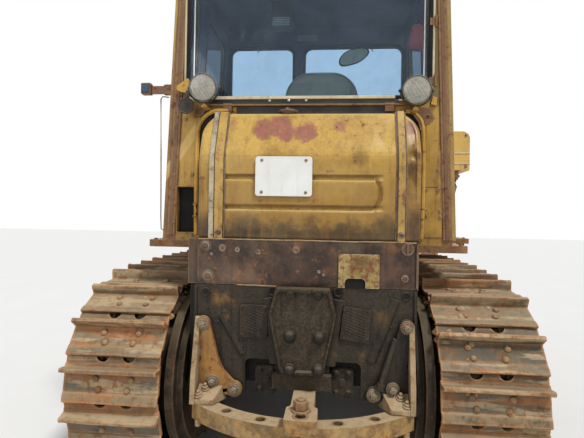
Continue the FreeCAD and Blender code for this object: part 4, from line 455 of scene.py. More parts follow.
    # The finished piece on its body; a slot is worked out, its finish's own unless another is named, but it is not
    # given to the piece.
    def piece(self, name, finish, body="root", slot=None, bevel=0.0, angle=32, steps=2, replaces=()):
        slot = slot or slots[finish.name]
        bmesh.ops.recalc_face_normals(self.mesh, faces=self.mesh.faces)
        for vert in self.mesh.verts:
            vert.co = at(*vert.co)
        data = bpy.data.meshes.new(name)
        self.mesh.to_mesh(data)
        self.mesh.free()
        self.mesh = bmesh.new()
        data.polygons.foreach_set("use_smooth", [True] * len(data.polygons))
        data.set_sharp_from_angle(angle=math.radians(angle))
        data.materials.append(finish)
        item = bpy.data.objects.new(name, data)
        bpy.context.scene.collection.objects.link(item)
        if bevel:
            rounded = item.modifiers.new("rounded edges", "BEVEL")
            rounded.width = bevel / 1000
            rounded.segments = steps
            rounded.limit_method = "ANGLE"
            rounded.angle_limit = math.radians(angle)
            rounded.harden_normals = True
        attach(item, body)
        if replaces:
            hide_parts(*replaces)
        return item


def rectangle(x, y):
    return [(x[0], y[0]), (x[1], y[0]), (x[1], y[1]), (x[0], y[1])]


def roundedCorners(outline, radii, steps=5):
    points = []
    count = len(outline)
    for i, (u, v) in enumerate(outline):
        radius = radii[i] if isinstance(radii, (list, tuple)) else radii
        before, after = Vector(outline[i - 1]), Vector(outline[(i + 1) % count])
        here = Vector((u, v))
        toBefore, toAfter = (before - here).normalized(), (after - here).normalized()
        half = math.acos(max(-1, min(1, toBefore.dot(toAfter)))) / 2
        if radius <= 0 or half > math.radians(88):
            points.append((u, v))
            continue
        reach = radius / math.tan(half)
        middle = here + (toBefore + toAfter).normalized() * (radius / math.sin(half))
        start, end = here + toBefore * reach - middle, here + toAfter * reach - middle
        turn = start.angle_signed(end)
        for k in range(steps + 1):
            a = -turn * k / steps
            points.append((middle.x + start.x * math.cos(a) - start.y * math.sin(a),
                middle.y + start.x * math.sin(a) + start.y * math.cos(a)))
    return points


def circle(u, v, radius, sides=20):
    return [(u + radius * math.cos(2 * math.pi * i / sides), v + radius * math.sin(2 * math.pi * i / sides))
        for i in range(sides)]


chromeFinish = weathered("polishedRod", look({}, (186, 184, 180), (176, 174, 170), (200, 198, 194), (150, 140, 128),
    (128, 96, 70), (96, 84, 70), (150, 134, 112), speckle=0.2, worn=0.3, rustShare=0.02, streaks=0.2, corner=0.4,
    dustShare=0.2, roughness=(0.14, 0.3), metal=1.0, haze=0.1, bumpDepth=0.0002, slot="bright_steel"))
plateFinish = weathered("plainWhitePlate", look({}, (226, 226, 222), (216, 215, 209), (232, 231, 228),
    (206, 200, 188), (140, 100, 70), (150, 142, 128), (196, 184, 162), speckle=0.3, worn=0.3, rustShare=0.0,
    streaks=0.14, corner=0.2, dustShare=0.3, roughness=(0.3, 0.45), haze=0.12, bumpDepth=0.0003, slot="white_plate"))
clothFinish = weathered("seatCloth", look({}, (172, 166, 138), (150, 146, 122), (190, 184, 156), (180, 172, 146),
    (130, 122, 100), (84, 88, 80), (128, 124, 110), speckle=0.5, worn=0.4, rustShare=0.05, streaks=0.0, corner=0.5,
    dustShare=0.35, roughness=(0.8, 0.95), grain=1.0, grainSize=0.004, bumpDepth=0.001, haze=0.15, slot="seat_cloth"))
rubberFinish = weathered("blackRubber", look({}, (22, 22, 22), (30, 29, 28), (48, 46, 42), (60, 56, 50), (66, 56, 44),
    (10, 10, 9), (112, 98, 80), speckle=0.25, worn=0.3, rustShare=0.03, streaks=0.15, corner=0.6, dustShare=0.4,
    roughness=(0.65, 0.85), haze=0.08, gloss=0.12, bumpDepth=0.0004, slot="dark_metal"))
creamFinish = weathered("fadedCreamPaint", look(oldPaint, (206, 196, 168), (184, 170, 138), (218, 210, 188),
    (150, 112, 76), rustShare=0.06, streaks=0.3))
redFinish = weathered("fadedRedCloth", look(blackPaint, (226, 48, 52), (190, 38, 46), (226, 84, 76), (150, 64, 60),
    rustShare=0.0, roughness=(0.7, 0.9)))


def glassPane(name, tint, haze, dustColour):
    f = Finish(name)
    clear = f.node("ShaderNodeBsdfTransparent")
    clear.inputs["Color"].default_value = tint
    gloss = f.node("ShaderNodeBsdfGlossy")
    gloss.inputs["Roughness"].default_value = 0.04
    film = f.node("ShaderNodeBsdfDiffuse")
    f.feed(film.inputs["Color"], dustColour)
    glance = f.node("ShaderNodeFresnel")
    glance.inputs["IOR"].default_value = 1.35
    lit = f.node("ShaderNodeMixShader")
    f.feed(lit.inputs["Fac"], glance.outputs["Fac"])
    f.feed(lit.inputs[1], clear.outputs["BSDF"])
    f.feed(lit.inputs[2], gloss.outputs["BSDF"])
    cloud = f.plus(f.spread(f.noise(0.32, 7, 0.72, bend=0.6), 0.42, 0.75, haze[0], haze[1]),
        f.times(f.corners(0.05), 0.12))
    cloud = f.plus(cloud, f.spread(f.noise(0.05, 6, 0.7, (1, 1, 0.25), shift=3), 0.52, 0.8, 0, 0.06), True)
    dirty = f.node("ShaderNodeMixShader")
    f.feed(dirty.inputs["Fac"], cloud)
    f.feed(dirty.inputs[1], lit.outputs["Shader"])
    f.feed(dirty.inputs[2], film.outputs["BSDF"])
    return f.shine(dirty.outputs["Shader"])


glassFinish = glassPane("dustyPane", (0.8, 0.9, 0.98, 1.0), (0.0, 0.06), (160, 174, 188))
lensFinish = weathered("lampLens", look({}, (142, 138, 126), (118, 116, 106), (186, 182, 168), (214, 212, 202),
    (150, 136, 108), (96, 94, 84), (180, 166, 136), speckle=0.5, worn=0.9, edgeWidth=0.003, rustShare=0.03,
    streaks=0.2, corner=0.5, dustShare=0.3, roughness=(0.08, 0.25), haze=0.2, gloss=0.6, bumpDepth=0.0005,
    patchSize=0.05, slot="glass"))
# painted reflection: the mirror's face is painted near white for the bright things it reflects
mirrorReflectionFinish = weathered("mirrorFace", look(blackPaint, (250, 244, 222), (226, 216, 190), (252, 248, 232),
    roughness=(0.2, 0.4), rustShare=0.0, corner=0.2))
rimFinish = weathered("lampRimPaint", look(blackPaint, (58, 54, 50), (84, 78, 70), bare=(190, 184, 170), worn=0.8,
    edgeWidth=0.004, roughness=(0.25, 0.5), gloss=0.4))
shellFinish = weathered("seatShellPaint", look(blackPaint, (164, 160, 134), (140, 138, 116), (182, 178, 150)))
flangeFinish = weathered("flangePaint", look(oldPaint, (142, 118, 66), (120, 92, 54), rustShare=0.14))
oilTankFinish = weathered("oilTankPaint", look(oldPaint, (224, 184, 98), (206, 164, 78), (234, 204, 130), streaks=0.3,
    rustShare=0.08))
print("other finishes made")


# Tracks: shoes, chain links and bolts, laid along the line of the pins.
track = {"gauge": 1880, "shoeWidth": 500, "links": 38, "plate": 16, "grouser": 63, "grouserAt": 134,
    "grouserWidth": 26, "railOuter": 52, "railInner": 46, "railSpacing": 170, "sprocket": (0, 616, 440),
    "carriers": (700, 1620), "carrier": (930, 147.6), "idler": (2517, 546, 415), "roller": (305, 292.3, 161.3),
    "start": 25, "overlap": 20, "bolt": 16, "notch": 33, "notchPitch": 138}


def pinPoints():
    height, radius = track["carrier"]
    circles = [track["sprocket"], (track["carriers"][0], height, radius), (track["carriers"][1], height, radius),
        track["idler"], track["roller"]]
    angles = []
    for (y0, z0, r0), (y1, z1, r1) in zip(circles, circles[1:] + circles[:1]):
        angles.append(math.atan2(z1 - z0, y1 - y0) + math.acos((r0 - r1) / math.hypot(y1 - y0, z1 - z0)))
    runs = []
    for i, (y, z, radius) in enumerate(circles):
        swing = (angles[i - 1] - angles[i]) % (2 * math.pi)
        runs.append(((y, z, radius), angles[i - 1], radius * swing))
        y1, z1, r1 = circles[(i + 1) % len(circles)]
        across = (math.cos(angles[i]), math.sin(angles[i]))
        start = (y + radius * across[0], z + radius * across[1])
        end = (y1 + r1 * across[0], z1 + r1 * across[1])
        runs.append((start, end, math.dist(start, end)))
    total = sum(run[2] for run in runs)
    points = []
    for number in range(track["links"]):
        left = (number * total / track["links"] - track["start"]) % total
        for first, second, length in runs:
            if left <= length:
                break
            left -= length
        if len(first) == 3:
            angle = second - left / first[2]
            points.append((first[0] + first[2] * math.cos(angle), first[1] + first[2] * math.sin(angle)))
        else:
            points.append(tuple(a + (b - a) * left / length for a, b in zip(first, second)))
    return points


def makeTrack(side, name):
    luck = random.Random(11 + side)
    pins = pinPoints()
    middle = side * track["gauge"] / 2
    inboard = -side * 14
    half = track["shoeWidth"] / 2
    shoes, chain, bolts, dirt = Shape(), Shape(), Shape(), Shape()
    low, top = track["railOuter"], track["railOuter"] + track["plate"]
    tip = top + track["grouser"]
    near, far = track["grouserAt"], track["grouserAt"] + track["grouserWidth"]
    for i, pin in enumerate(pins):
        following = pins[(i + 1) % len(pins)]
        length = math.dist(pin, following)
        along = ((following[0] - pin[0]) / length, (following[1] - pin[1]) / length)
        out = (-along[1], along[0])

        def place(x, u, h):
            return (middle + x, pin[0] + along[0] * u + out[0] * h, pin[1] + along[1] * u + out[1] * h)

        lap = track["overlap"]
        tilt = luck.uniform(-1.5, 1.5)
        wear = luck.uniform(0, 5)
        bend = luck.uniform(-2.5, 2.5)
        section = [(-lap, top), (-lap + 1, top + 9), (-lap + 6, top + 13), (14, top + 12), (26, top + 9),
            (34, top + 2), (near - 9, top), (near - 4, top + 2), (near - 1, top + 7), (near + 1.5, tip - wear - 8),
            (near + 5, tip - wear - 1), (near + 8, tip - wear), (far - 6, tip - wear), (far - 3, tip - wear - 2),
            (far - 1, tip - wear - 9), (far, top + 8), (far + 3, top + 2), (far + 8, top), (far + 14, top - 1),
            (far + 16, low), (30, low), (22, top), (-lap + 4, top - 2)]
        rings = []
        stations = [-half, -half + 4] + [half * share for share in (-0.9, -0.72, -0.5, -0.28, -0.06, 0.16, 0.38, 0.6,
            0.78, 0.92)] + [half - 4, half]
        for x in stations:
            end = abs(x) > half - 1
            ring = []
            nick = max(0, luck.uniform(-2, 4))
            for u, h in section:
                tall = h > tip - wear - 12
                uu = u + (luck.uniform(-1.5, 1.5) if u < 0 else 0) + (bend * (1 - (x / half) ** 2) if tall else 0)
                hh = h - (nick if tall else 0) - (3 if end and h > top + 4 else 0) + (tilt * x / half if tall else 0)
                uu += (3 if u < 10 else -1 if u > far - 9 else 0) if end else 0
                ring.append(place(x, uu, hh))
            rings.append(ring)
        shoes.skin(rings)
        # the leading strip, with its two half-round notches, runs under the next shoe
        edge = length + lap - 3
        strip = [(-half + 3, far + 10), (half - 3, far + 10), (half - 3, edge - 4), (half - 8, edge)]
        for way in (1, -1):
            centre = inboard + way * track["notchPitch"] / 2
            strip += [(centre + track["notch"] * math.cos(a), edge - track["notch"] * math.sin(a))
                for a in (math.pi * k / 10 for k in range(11))]
        strip += [(-half + 8, edge), (-half + 3, edge - 4)]
        caps = tessellate_polygon([[Vector((u, v, 0)) for u, v in strip]])
        count = len(strip)
        points = [place(x, u, low + h - (3 if u > length else 0)) for h in (0, 12) for x, u in strip]
        faces = [tuple(cap) for cap in caps] + [tuple(k + count for k in reversed(cap)) for cap in caps]
        faces += [(k, (k + 1) % count, (k + 1) % count + count, k + count) for k in range(count)]
        shoes.faces(points, faces)
        outward = Vector((0, out[0], out[1]))
        for x, u in ((-75, 52), (75, 52), (-94, 104), (94, 104)):
            size = track["bolt"] + luck.uniform(-1, 1.5)
            bolts.lathe(place(inboard + x, u, top - 2), outward, [(0, size), (5, size), (9, size * 0.92),
                (13, size * 0.7), (15.5, size * 0.4), (16, 0)], 14)
        # earth packed around the bolts and under the next shoe
        for lump in range(luck.choice((1, 2, 3, 5))):
            x, u = luck.uniform(-130, 130), luck.choice((luck.uniform(20, 50), luck.uniform(near - 26, near - 8)))
            size = luck.uniform(9, 24)
            dirt.lathe(place(inboard + x, u, top - 3), outward + Vector((luck.uniform(-0.4, 0.4), 0, 0)),
                [(0, size), (size * 0.28, size * luck.uniform(0.8, 1)), (size * 0.5, size * 0.5), (size * 0.56, 0)],
                9)
        # two links on each side, lapping at the pins, and the pin with its bushing
        for way in (-1, 1):
            rail = way * track["railSpacing"] / 2
            inner = track["railInner"]
            rear = [(44 * math.cos(a), 44 * math.sin(a)) for a in (math.radians(d) for d in range(100, 251, 25))]
            rear += [(14, -inner), (112, -inner), (112, 30), (96, low), (30, low)]
            front = [(90, low), (74, 30), (74, -inner), (length - 14, -inner)]
            front += [(length + 44 * math.cos(a), 44 * math.sin(a)) for a in (math.radians(d)
                for d in range(-70, 81, 25))]
            front += [(length - 30, low)]
            for shape, x0, x1 in ((rear, -22, 3), (front, -3, 22)):
                lows, highs = sorted((rail + x0 * way, rail + x1 * way))
                ring = [[place(x, u, h) for u, h in shape] for x in (lows, highs)]
                chain.skin(ring)
        start, end = place(-118, 0, 0), place(118, 0, 0)
        chain.rod(start, end, 21, 12, 3)
        chain.rod(place(-62, 0, 0), place(62, 0, 0), 31, 14)
    loop = shoes.piece(name + "Shoes", shoeFinish, replaces=(name,), angle=24)
    chain.piece(name + "Chain", gearFinish, slot="track_steel", angle=40)
    bolts.piece(name + "Bolts", boltFinish, slot="track_steel", angle=50)
    for vert in dirt.mesh.verts:
        vert.co += Vector([4 * wobble(*vert.co, 14, seed) for seed in (1, 2, 3)])
    dirt.piece(name + "Earth", dustyFinish, angle=70)
    return loop


makeTrack(-1, "track_left")
makeTrack(1, "track_right")
print("tracks made")


# The tank: one thin skin over its face, rounded corners and sides, with its pressed grooves and its dents.
tank = {"middle": 30, "half": 580, "low": 1400, "top": 2082, "rear": -355, "crease": 1842, "topRear": -258,
    "front": -140, "corner": 130, "edge": 24, "columns": 170, "rows": 110, "groove": 18,
    "grooves": ((1726, 30), (1568, 30)), "grooveEnds": (-425, 392)}


def tankSkin():
    across, up = tank["columns"], tank["rows"]

    def halfAt(z):
        drop = z - (tank["top"] - tank["corner"])
        if drop <= 0:
            return tank["half"]
        return tank["half"] - tank["corner"] + math.sqrt(max(tank["corner"] ** 2 - drop ** 2, 0))

    def faceAt(z):
        if z < tank["crease"] - 20:
            return tank["rear"]
        share = (z - tank["crease"]) / (tank["top"] - tank["crease"])
        bend = tank["rear"] + (tank["topRear"] - tank["rear"]) * share
        if z < tank["crease"] + 20:
            soft = (z - tank["crease"] + 20) / 40
            return tank["rear"] * (1 - soft) + (tank["rear"] + (tank["topRear"] - tank["rear"]) * 20 / 240) * soft
        return bend

    def smooth(value):
        value = max(0, min(1, value))
        return value * value * (3 - 2 * value)

    def grooveDepth(x, z):
        depth = 0
        for height, width in tank["grooves"]:
            inside = smooth(1.15 - abs(z - height) / (width / 2) * (0.7 if z < height else 1.25))
            ends = min(smooth((x - tank["grooveEnds"][0]) / 22), smooth((tank["grooveEnds"][1] - x) / 22))
            depth = max(depth, inside * ends)
        bow = tank["grooveEnds"][1] + 14 - 30 * ((z - 1647) / 79) ** 2
        if 1568 < z < 1726:
            depth = max(depth, smooth(1.3 - abs(x - bow) / 11) * 0.8)
        return depth * tank["groove"]

    def dents(x, z):
        deep = 0
        for cx, cz, wide, tall, depth in ((578, 1850, 30, 26, 26), (566, 1740, 32, 60, 18), (548, 1640, 36, 60, 12),
                (585, 1960, 30, 50, 10), (-120, 1500, 130, 60, 8), (-500, 1700, 30, 90, 8), (250, 1650, 90, 60, 4),
                (-330, 1640, 80, 60, 4), (60, 1950, 160, 60, 4), (430, 1930, 60, 70, 5), (0, 1425, 380, 22, 6)):
            deep += depth * math.exp(-((x - cx) / wide) ** 2 - ((z - cz) / tall) ** 2)
        return deep + 1.8 * wobble(x, 0, z, 160, 3) + 0.7 * wobble(x, 0, z, 40, 4)

    s = Shape()
    grid = []
    rows = [tank["low"] + (tank["top"] - tank["low"]) * r / up for r in range(up + 1)]
    for z in rows:
        half = halfAt(min(z, tank["top"] - 0.5))
        line = []
        edge, mid = tank["edge"], tank["middle"]
        ring = [(mid - half, tank["front"]), (mid - half, (tank["front"] + faceAt(z)) / 2)]
        for k in range(7):
            a = math.pi / 2 * k / 6
            ring.append((mid - half + edge * (1 - math.cos(a)), faceAt(z) + edge * (1 - math.sin(a))))
        inner = [mid - half + edge + (2 * half - 2 * edge) * k / across for k in range(1, across)]
        for x in inner:
            ring.append((x, faceAt(z) + grooveDepth(x, z) + dents(x, z)))
        for k in range(7):
            a = math.pi / 2 * (6 - k) / 6
            ring.append((mid + half - edge * (1 - math.cos(a)), faceAt(z) + edge * (1 - math.sin(a))))
        ring += [(mid + half, (tank["front"] + faceAt(z)) / 2), (mid + half, tank["front"])]
        topRound = max(0, z - (tank["top"] - 16))
        back = 16 - math.sqrt(max(16 ** 2 - topRound ** 2, 0))
        lowRound = max(0, tank["low"] + 18 - z)
        back += 18 - math.sqrt(max(18 ** 2 - lowRound ** 2, 0))
        for x, y in ring:
            line.append((x, min(y + back * (1 if y < -200 else 0), tank["front"]), z))
        grid.append(line)
    s.skin(grid, closed=False, capped=False)
    s.skin([[p for p in grid[-1]], [(x, tank["front"], z) for x, y, z in grid[-1]]], closed=False, capped=False)
    s.skin([[(x, tank["front"], z) for x, y, z in grid[0]], [p for p in grid[0]]], closed=False, capped=False)
    s.box((tank["middle"] - tank["half"] + 60, tank["middle"] + tank["half"] - 60),
        (tank["front"] - 4, tank["front"]), (tank["low"], tank["top"] - 60))
    s.welded(0.05)
    s.piece("tankSkin", tankFinish, replaces=("fuel_tank",), angle=38)
    # the filler: neck, cap with its lugs
    s.lathe((-90, -205, tank["top"] - 12), (0, 0, 1), [(0, 44), (22, 44), (22, 54), (28, 57), (36, 55), (40, 42),
        (42, 0)], 32)
    s.box((-97, -83), (-256, -154), (tank["top"] + 24, tank["top"] + 34))
    s.piece("tankFiller", beamFinish, bevel=1.5)


# Patches where the tank's coat has gone to primer, painted shade on its lower face, in its dents and along its
# grooves, a painted highlight on each groove's lower lip, and a ragged dark band along its foot.
def tankMarks(f, colour):
    speckle = f.noise(0.02, 8, 0.8, shift=12)
    for x, z, wide, share in ((-210, 1985, 70, 1), (-130, 2000, 85, 1), (-90, 1960, 60, 1), (20, 1965, 75, 1),
            (-250, 1965, 40, 0.7), (190, 1995, 40, 0.7), (-380, 2010, 40, 0.4), (560, 1990, 46, 0.8),
            (575, 1880, 36, 0.5)):
        patch = f.spot(x, -285, z, wide, 0.2, 0.12, x / 90)
        patch = f.times(patch, f.spread(speckle, 0.36, 0.46, 0.3, share))
        colour = f.blend(patch, colour, (150, 92, 78))
    height = f.along("Z")
    # painted shade: darker from just above the crease down the tank's upright lower face, with a darker step just
    # under the crease
    ragged = f.times(f.noise(0.09, 6, 0.7, shift=14), 0.09)
    lowerFaceShade = f.spread(f.plus(height, ragged), 1.9, 1.62, 0, 0.75)
    colour = f.blend(lowerFaceShade, colour, (150, 114, 48))
    colour = f.blend(f.spread(height, 1.846, 1.838, 0, 0.3), colour, (140, 100, 44))
    smudge = f.spread(f.noise(0.14, 6, 0.7, (1, 1, 0.6), shift=39), 0.48, 0.64, 0, 0.4)
    colour = f.blend(smudge, colour, (124, 90, 46))
    # painted shade along the upper edge of each pressed groove and a painted highlight along its lower lip
    inside = f.times(f.spread(f.along("X"), -0.44, -0.42), f.spread(f.along("X"), 0.43, 0.4))
    for level in (1.738, 1.580, 1.716, 1.558):
        line = f.spread(f.sum("ABSOLUTE", f.sum("SUBTRACT", height, level), 0.0), 0.009, 0.003, 0, 0.7)
        shade = (84, 60, 34) if level in (1.738, 1.580) else (216, 182, 104)
        colour = f.blend(f.times(line, inside), colour, shade)
    blotch = f.times(f.noise(0.11, 7, 0.72, shift=15), 0.24)
    foot = f.spread(f.plus(height, blotch), 1.66, 1.56)
    colour = f.blend(f.times(foot, 0.9), colour, (62, 46, 30))
    # dark spots: those low on the tank and at its left are stains; those at (560, 1770), (596, 1836) and (300, 1830),
    # in the right end's dents and under the crease, are painted shade
    for x, z, wide, share in ((590, 1480, 120, 0.85), (560, 1770, 60, 0.8), (596, 1836, 34, 0.7),
            (440, 1500, 70, 0.5), (-500, 1470, 90, 0.7), (-560, 1640, 50, 0.4), (-280, 1450, 110, 0.7),
            (300, 1830, 60, 0.4)):
        stainAndShade = f.times(f.spot(x, -350, z, wide, 0.4, 0.12, z / 70), share)
        colour = f.blend(stainAndShade, colour, (56, 42, 28))
    side = f.times(f.spread(f.along("X"), 0.5, 0.57), f.spread(f.noise(0.08, 7, 0.7, shift=33), 0.4, 0.6, 0, 0.5))
    colour = f.blend(side, colour, (96, 64, 40))
    scratches = f.spread(f.noise(0.05, 3, 0.5, (1, 1, 2.5), 2.5, shift=35), 0.5, 0.505)
    scratches = f.times(scratches, f.spread(f.noise(0.05, 3, 0.5, (1, 1, 2.5), 2.5, shift=35), 0.52, 0.512))
    scratches = f.times(scratches, f.spread(f.noise(0.25, 4, 0.6, shift=37), 0.5, 0.62, 0, 0.8))
    colour = f.blend(scratches, colour, (96, 66, 36))
    runs = f.spread(f.noise(0.035, 4, 0.6, (1, 1, 0.05), shift=17), 0.5, 0.72)
    runs = f.times(runs, f.spread(height, 1.9, 1.5, 0.1, 0.55))
    return f.blend(runs, colour, (128, 88, 46))


tankFinish = weathered("tankPaint", look(oldPaint, (190, 152, 72), (170, 130, 54), (222, 192, 116),
    roughness=(0.26, 0.5), corner=0.4, streaks=0.3, rustShare=0.09, dust=(214, 190, 128), dustShare=0.6, haze=0.12),
    tankMarks)
tankSkin()
print("tank made")


# Straps over the tank, the plate on its bracket, and rivets.
def strapLine(x, width, lift, thickness):
    line = [(-352 - lift, 1398), (-355 - lift, 1420), (-355 - lift, 1822), (-353 - lift, 1842), (-347 - lift, 1862),
        (-268 - lift, 2058), (-256 - lift, 2080 + lift), (-236, 2086 + lift), (-150, 2086 + lift)]
    inner = [(y + thickness, z - (thickness if z > 2070 else 0)) for y, z in line]
    return [[(x - width / 2, y, z) for y, z in line + inner[::-1]], [(x + width / 2, y, z)
        for y, z in line + inner[::-1]]]


strapFinish = weathered("tankStrapPaint", look(oldPaint, (184, 148, 74), (150, 116, 60), (206, 176, 110),
    (120, 84, 58), rustShare=0.14, streaks=0.6))
bandFinish = weathered("bandSteel", look(dustySteel, (172, 164, 140), (134, 124, 102), (200, 194, 172), gloss=0.4,
    slot="bright_steel"))
# One shape is drawn at a time, and it is empty again when its piece is finished.
s = Shape()
for x, width, lift in ((-435, 46, 9), (511, 36, 9)):
    ring = strapLine(x, width, lift, 7)
    s.skin(ring)
s.piece("tankStraps", strapFinish, bevel=2.2, angle=30)
# painted shade: thin dark strips beside the straps stand for the shade in the grooves along them
for x, width in ((-406, 7), (487, 11), (534, 5)):
    s.skin(strapLine(x, width, 4, 4))
for x, z in ((-435, 1436), (511, 1436)):
    s.bolt((x, -364, z), (0, -1, 0), 13, 11)
s.piece("tankStrapEdges", beamFinish, bevel=1.2)

s.skin(strapLine(-475, 26, 8, 5))
s.piece("tankSteelBand", bandFinish, bevel=1.5)

outline = roundedCorners(rectangle((-241, 55), (1627, 1833)), 16, 6)
s.plate(outline, "XZ", -366, -368)
rim = roundedCorners(rectangle((-237, 51), (1631, 1829)), 13, 6)
outer = [(x, -368.6, z) for x, z in rim]
inner = [(x * 0.976 + -93 * 0.024, -368.2, (z - 1730) * 0.966 + 1730) for x, z in rim]
s.skin([[(x, -367.5, z) for x, z in rim], outer, inner], capped=False)
s.piece("blankPlate", plateFinish, bevel=0.8, replaces=("number_plate",))
for x, z in ((-208, 1813), (22, 1813), (-208, 1647), (22, 1647)):
    s.bolt((x, -367.6, z), (0, -1, 0), 6.5, 4, True, 0.3, True)
for x in (-170, -20):
    s.box((x - 16, x + 16), (-367, -352), (1634, 1822))
s.piece("plateScrews", boltFinish, bevel=0.8)
print("straps and plate made")


# A dented sheet facing the rear: its face is a grid, its rim is folded forward.
def dentedSheet(s, x, z, y, thickness, cell=26, round=7, dents=(), rough=1.2, seed=0, slope=0.0):
    columns, rows = max(3, int((x[1] - x[0]) / cell)), max(3, int((z[1] - z[0]) / cell))
    grid = []
    for r in range(-2, rows + 3):
        share = min(max(r, 0), rows) / rows
        line = []
        for c in range(-2, columns + 3):
            across = min(max(c, 0), columns) / columns
            px = x[0] + round + (x[1] - x[0] - 2 * round) * across
            pz = z[0] + round + (z[1] - z[0] - 2 * round) * share
            py = y + rough * wobble(px, 0, pz, 90, seed) + rough * 0.5 * wobble(px, 0, pz, 25, seed + 1)
            for cx, cz, wide, tall, depth in dents:
                py += depth * math.exp(-((px - cx) / wide) ** 2 - ((pz - cz) / tall) ** 2)
            over = max(-c, 0, c - columns), max(-r, 0, r - rows)
            px += (round * (0.7 if over[0] == 1 else 1)) * (-1 if c < 0 else 1) if over[0] else 0
            pz += (round * (0.7 if over[1] == 1 else 1)) * (-1 if r < 0 else 1) if over[1] else 0
            far = max(over)
            py += 0 if far == 0 else round * 0.3 if far == 1 else thickness
            line.append((px, py + (pz - z[0]) * slope, pz))
        grid.append(line)
    s.skin(grid, closed=False, capped=False)


def beamMarks(f, colour):
    blot = f.spread(f.noise(0.07, 8, 0.75, shift=31), 0.44, 0.6, 0, 0.85)
    colour = f.blend(blot, colour, (34, 27, 23))
    for x, z, wide, shade in ((-350, 1225, 110, (112, 84, 66)), (-270, 1210, 80, (120, 92, 72)),
            (-60, 1300, 180, (44, 32, 28)), (90, 1250, 130, (48, 36, 30)), (470, 1375, 60, (150, 92, 48)),
            (-20, 1375, 45, (146, 90, 50)), (130, 1240, 34, (150, 98, 54)), (-400, 1360, 40, (132, 86, 54)),
            (450, 1250, 100, (104, 74, 56)), (250, 1385, 110, (92, 84, 66))):
        patch = f.times(f.spot(x, -362, z, wide, 0.7, 0.16, z / 50), 0.7)
        colour = f.blend(patch, colour, shade)
    return colour


beamPlateFinish = weathered("rearBeamPlate", dict(beamRust, patchSize=0.08), beamMarks)
beam = Shape()
dentedSheet(beam, (-541, 589), (1162, 1402), -362, 22, 24, 5, ((-200, 1300, 200, 60, 2.5), (300, 1350, 60, 30, 3)),
    1.6, 5)
beam.plate(rectangle((-535, 583), (1166, 1398)), "XZ", -352, -252)
beam.piece("rearBeamPlate", beamPlateFinish, replaces=("rear_beam",), angle=50)
s.plate(roundedCorners(rectangle((-600, -548), (1160, 1400)), 6, 3), "XZ", -334, -252)
s.plate(roundedCorners(rectangle((594, 600), (1160, 1400)), 2, 3), "XZ", -362, -252)
s.piece("rearBeamSides", beamFinish, bevel=2.5)

# a worn bright lip along the top and a weld along the foot
for name, z, x, size in (("top", 1403, (-540, 588), 3.6), ("foot", 1161, (-330, -120), 3.2)):
    line = []
    steps = int((x[1] - x[0]) / 14)
    for k in range(steps + 1):
        px = x[0] + (x[1] - x[0]) * k / steps
        line.append((px, -362 + wobble(px, 0, z, 18, 2) * 1.5, z + wobble(px, 0, z, 60, 1) * 3 - (4 if name == "top"
            else 0)))
    s.sweep(line, size, 7)
s.piece("rearBeamLip", dustyFinish)

for x, z, size in ((-500, 1364, 17), (-485, 1206, 19)):
    s.lathe((x, -361, z), (0, -1, 0), [(0, size + 14), (3, size + 13), (4, size + 7), (1, size + 6), (1, 0)], 24)
    s.bolt((x, -363, z), (0, -1, 0), size, 12, True, 0.4, True)
s.lathe((545, -361, 1366), (0, -1, 0), [(0, 33), (4, 32), (5, 27), (2, 25), (2, 0)], 28)
s.box((541, 549), (-371, -362), (1338, 1394))
s.bolt((533, -362, 1218), (0, -1, 0), 15, 14, True, 0.2)
s.box((588, 594), (-371, -355), (1168, 1392))
for x, z, size in ((-410, 1352, 20), (-330, 1345, 14), (-222, 1336, 16), (-22, 1350, 20), (-468, 1320, 8),
        (98, 1240, 9), (122, 1226, 7)):
    s.lathe((x, -363, z), (0, -1, 0), [(0, size), (1.6, size * 0.9), (1.8, size * 0.7), (0.4, size * 0.6), (0.4, 0)],
        20)
s.piece("rearBeamBolts", beamBoltFinish, bevel=0.8)

# the small notched plate on the beam's right half, rusty above and dusty at its edges
def notchedMarks(f, colour):
    cloud = f.times(f.spot(305, -371, 1290, 110, 0.6, 0.25, 3), 0.9)
    return f.blend(cloud, colour, (92, 66, 36))


notchedFinish = weathered("notchedPlatePaint", look(oldPaint, (162, 146, 96), (128, 106, 60), bare=(206, 190, 156),
    rustShare=0.2, streaks=0.6, worn=1.0, edgeShare=1.0), notchedMarks)
corners = [(198, 1336), (404, 1336), (404, 1163), (335, 1163), (335, 1212), (230, 1212), (230, 1163), (198, 1163)]
s.plate(roundedCorners(corners, [5, 5, 5, 3, 22, 22, 3, 5], 5), "XZ", -371, -363)
s.piece("notchedPlate", notchedFinish, bevel=2)
# painted shade: a black sheet stands for the dark opening under the notch
s.plate(roundedCorners(rectangle((226, 339), (1160, 1216)), 20, 5), "XZ", -363.6, -362)
s.piece("notchedPlateOpening", rubberFinish)
for x, z in ((211, 1318), (213, 1176), (390, 1182), (390, 1318)):
    s.bolt((x, -371, z), (0, -1, 0), 8, 6, True, x, True)
s.piece("notchedPlateBolts", boltFinish)
print("beam made")


# The cover of the axle case: a cast plate open over two bolted blocks, a boss for the power take-off,
# two lids, and years of oil and dust.
cover = {"middle": 20, "left": -557, "right": 597, "top": 1160, "foot": 590, "rear": -360, "front": -300,
    "notch": (140, 300), "notchTop": 780, "tongue": 640, "boss": ((137, 1160), (170, 1028), (108, 728)),
    "bossRear": -435, "lidSide": 264, "lidWidth": 145, "lidLow": 892, "lidHigh": 1060}


